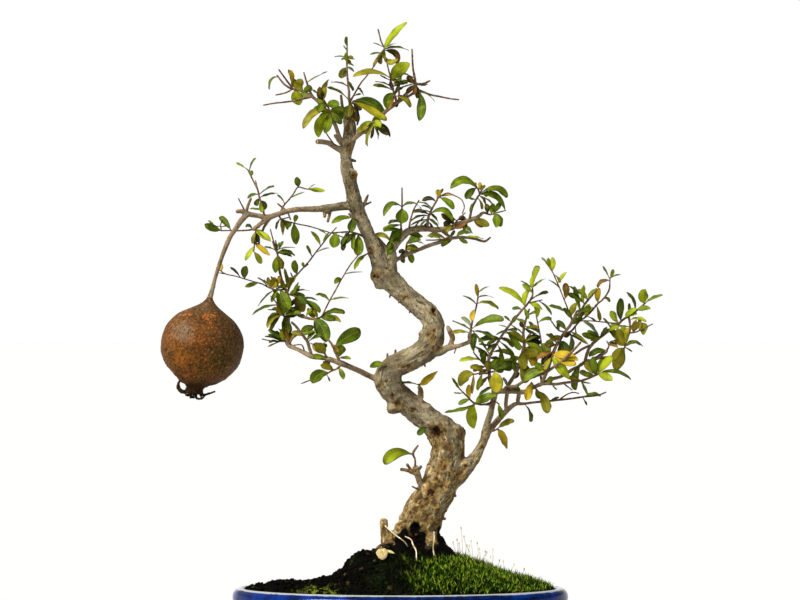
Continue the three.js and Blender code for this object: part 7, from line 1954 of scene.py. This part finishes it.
def lay_fallen_leaf():
    stem_end, root, middle, tip = (at(*place) for place in FALLEN_PLACES)
    course = {"root": root, "pull": middle * 2 - (root + tip) / 2, "tip": tip, "tone": "y",
              "shape": (FALLEN_WIDTH, math.sin(FALLEN_TURN), math.cos(FALLEN_TURN))}
    stem = np.array([[*stem_end, 0.35 * MM], [*root, STALK_RADII[1]]])
    dry = finish("dry_leaf", fallen_finish)
    made = grown("fallen_leaf", shoot_mesh("fallen_leaf", [stem], [course], [0.3]),
                 shared_tree("Leafy Shoot", shoot_tree), twig_finish=dry, leaf_finish=dry)
    piece("dry_leaf", made, "fallen_leaf", ["fallen_leaf"])


# ---- Stage ----
FLOOR_TONE = (204, 204, 204)  # under the sun it shows as white
FLOOR_HALF, FLOOR_Z = 30, -0.0002
SUN_HEADING = (0.68, 0.6, -0.95)
SUN_SPREAD = math.radians(24)
SENSOR = 36


def set_stage(stage):
    scene = bpy.context.scene
    floor = bpy.data.meshes.new("floor")
    corners = ((-1, -1), (1, -1), (1, 1), (-1, 1))
    floor.from_pydata([(x * FLOOR_HALF, y * FLOOR_HALF, FLOOR_Z) for x, y in corners], [], [(0, 1, 2, 3)])
    matt = Paint("floor", 1.0, 0.0)
    matt.colour = srgb(*FLOOR_TONE)
    floor.materials.append(matt.done())
    placed("floor", floor)
    world = bpy.data.worlds.new("pale_room")
    world.use_nodes = True
    sky = Graph(world.node_tree)
    right, _, height = sky.split(sky.make("ShaderNodeTexCoord", "Generated"))
    # a white backdrop all round, and above and below it a dimmer room, dimmest on the right
    room = sky.mix(sky.remap(right, 0.1, 0.6), (0.5, 0.5, 0.5), (0.12, 0.12, 0.12))
    room = sky.mix(sky.remap(sky.math("ABSOLUTE", height), 0.12, 0.3), (1, 1, 1), room)
    backdrop = world.node_tree.nodes["Background"].inputs
    sky.feed(backdrop["Color"], room)
    backdrop["Strength"].default_value = 1.0
    scene.world = world
    sun = bpy.data.lights.new("sun", "SUN")
    sun.energy, sun.angle, sun.color = stage.sun, SUN_SPREAD, (1.0, 0.98, 0.95)
    placed("sun", sun).rotation_euler = Vector(SUN_HEADING).to_track_quat("-Z", "Y").to_euler()
    camera = bpy.data.cameras.new("camera")
    camera.sensor_width = SENSOR
    camera.lens = SENSOR * stage.distance / stage.width
    camera.clip_end = 100
    eye = placed("camera", camera)
    eye.location = (VIEW_CENTRE_X * MM, -stage.distance, stage.height)
    eye.rotation_euler = (math.pi / 2, 0, 0)
    scene.camera = eye
    scene.view_settings.view_transform = "Standard"


# ---- Operators ----
class BONSAI_OT_grow_wood(bpy.types.Operator):
    """Grow the trunk, its limbs, roots, thorns and cut ends over the trunk's solid"""

    bl_idname = "bonsai.grow_wood"
    bl_label = "Grow Wood"

    def execute(self, context):
        grow_trunk(context.scene.bonsai_sizes, context.scene.bonsai_colours)
        return {"FINISHED"}


class BONSAI_OT_grow_sprays(bpy.types.Operator):
    """Grow every leafy shoot over its own solid"""

    bl_idname = "bonsai.grow_sprays"
    bl_label = "Grow Leafy Sprays"

    def execute(self, context):
        grow_sprays(context.scene.bonsai_sizes, context.scene.bonsai_colours)
        return {"FINISHED"}


class BONSAI_OT_hang_fruit(bpy.types.Operator):
    """Shape the pomegranate and its withered crown"""

    bl_idname = "bonsai.hang_fruit"
    bl_label = "Hang Fruit"

    def execute(self, context):
        build_fruit(context.scene.bonsai_colours)
        return {"FINISHED"}


class BONSAI_OT_glaze_pot(bpy.types.Operator):
    """Turn the oval pot with its feet and drain holes"""

    bl_idname = "bonsai.glaze_pot"
    bl_label = "Glaze Pot"

    def execute(self, context):
        build_pot(context.scene.bonsai_colours)
        return {"FINISHED"}


class BONSAI_OT_heap_soil(bpy.types.Operator):
    """Heap the crumbly soil in the pot"""

    bl_idname = "bonsai.heap_soil"
    bl_label = "Heap Soil"

    def execute(self, context):
        build_soil(context.scene.bonsai_sizes, context.scene.bonsai_colours)
        return {"FINISHED"}


class BONSAI_OT_lay_moss(bpy.types.Operator):
    """Lay the moss cushion with its blades and stalks"""

    bl_idname = "bonsai.lay_moss"
    bl_label = "Lay Moss"

    def execute(self, context):
        build_moss(context.scene.bonsai_sizes, context.scene.bonsai_colours)
        build_stalks()
        return {"FINISHED"}


class BONSAI_OT_drop_leaf(bpy.types.Operator):
    """Lay the dry leaf at the trunk's foot"""

    bl_idname = "bonsai.drop_leaf"
    bl_label = "Drop Dry Leaf"

    def execute(self, context):
        lay_fallen_leaf()
        return {"FINISHED"}


class BONSAI_OT_set_stage(bpy.types.Operator):
    """Set the pale floor, the soft light and the camera"""

    bl_idname = "bonsai.set_stage"
    bl_label = "Set Stage"

    def execute(self, context):
        set_stage(context.scene.bonsai_stage)
        return {"FINISHED"}


OPERATORS = (
    BONSAI_OT_glaze_pot, BONSAI_OT_heap_soil, BONSAI_OT_lay_moss, BONSAI_OT_grow_wood,
    BONSAI_OT_hang_fruit, BONSAI_OT_drop_leaf, BONSAI_OT_grow_sprays, BONSAI_OT_set_stage,
)


class VIEW3D_PT_bonsai(bpy.types.Panel):
    """The steps in the order in which they run, and their settings"""

    bl_label = "Bonsai"
    bl_idname = "VIEW3D_PT_bonsai"
    bl_space_type = "VIEW_3D"
    bl_region_type = "UI"
    bl_category = "Bonsai"

    def draw(self, context):
        layout = self.layout
        for step in OPERATORS:
            layout.operator(step.bl_idname)
        scene = context.scene
        for settings in (scene.bonsai_sizes, scene.bonsai_colours, scene.bonsai_stage):
            box = layout.box()
            for key in settings.__annotations__:
                box.prop(settings, key)


CLASSES = (BonsaiColours, BonsaiSizes, BonsaiStage, *OPERATORS, VIEW3D_PT_bonsai)


def register():
    for each in CLASSES:
        bpy.utils.register_class(each)
    bpy.types.Scene.bonsai_colours = bpy.props.PointerProperty(type=BonsaiColours)
    bpy.types.Scene.bonsai_sizes = bpy.props.PointerProperty(type=BonsaiSizes)
    bpy.types.Scene.bonsai_stage = bpy.props.PointerProperty(type=BonsaiStage)


def unregister():
    del bpy.types.Scene.bonsai_stage
    del bpy.types.Scene.bonsai_sizes
    del bpy.types.Scene.bonsai_colours
    for each in reversed(CLASSES):
        bpy.utils.unregister_class(each)


def main():
    register()
    bpy.ops.bonsai.glaze_pot()
    bpy.ops.bonsai.heap_soil()
    bpy.ops.bonsai.lay_moss()
    bpy.ops.bonsai.grow_wood()
    bpy.ops.bonsai.hang_fruit()
    bpy.ops.bonsai.drop_leaf()
    bpy.ops.bonsai.grow_sprays()
    bpy.ops.bonsai.set_stage()


if __name__ == "__main__":
    main()
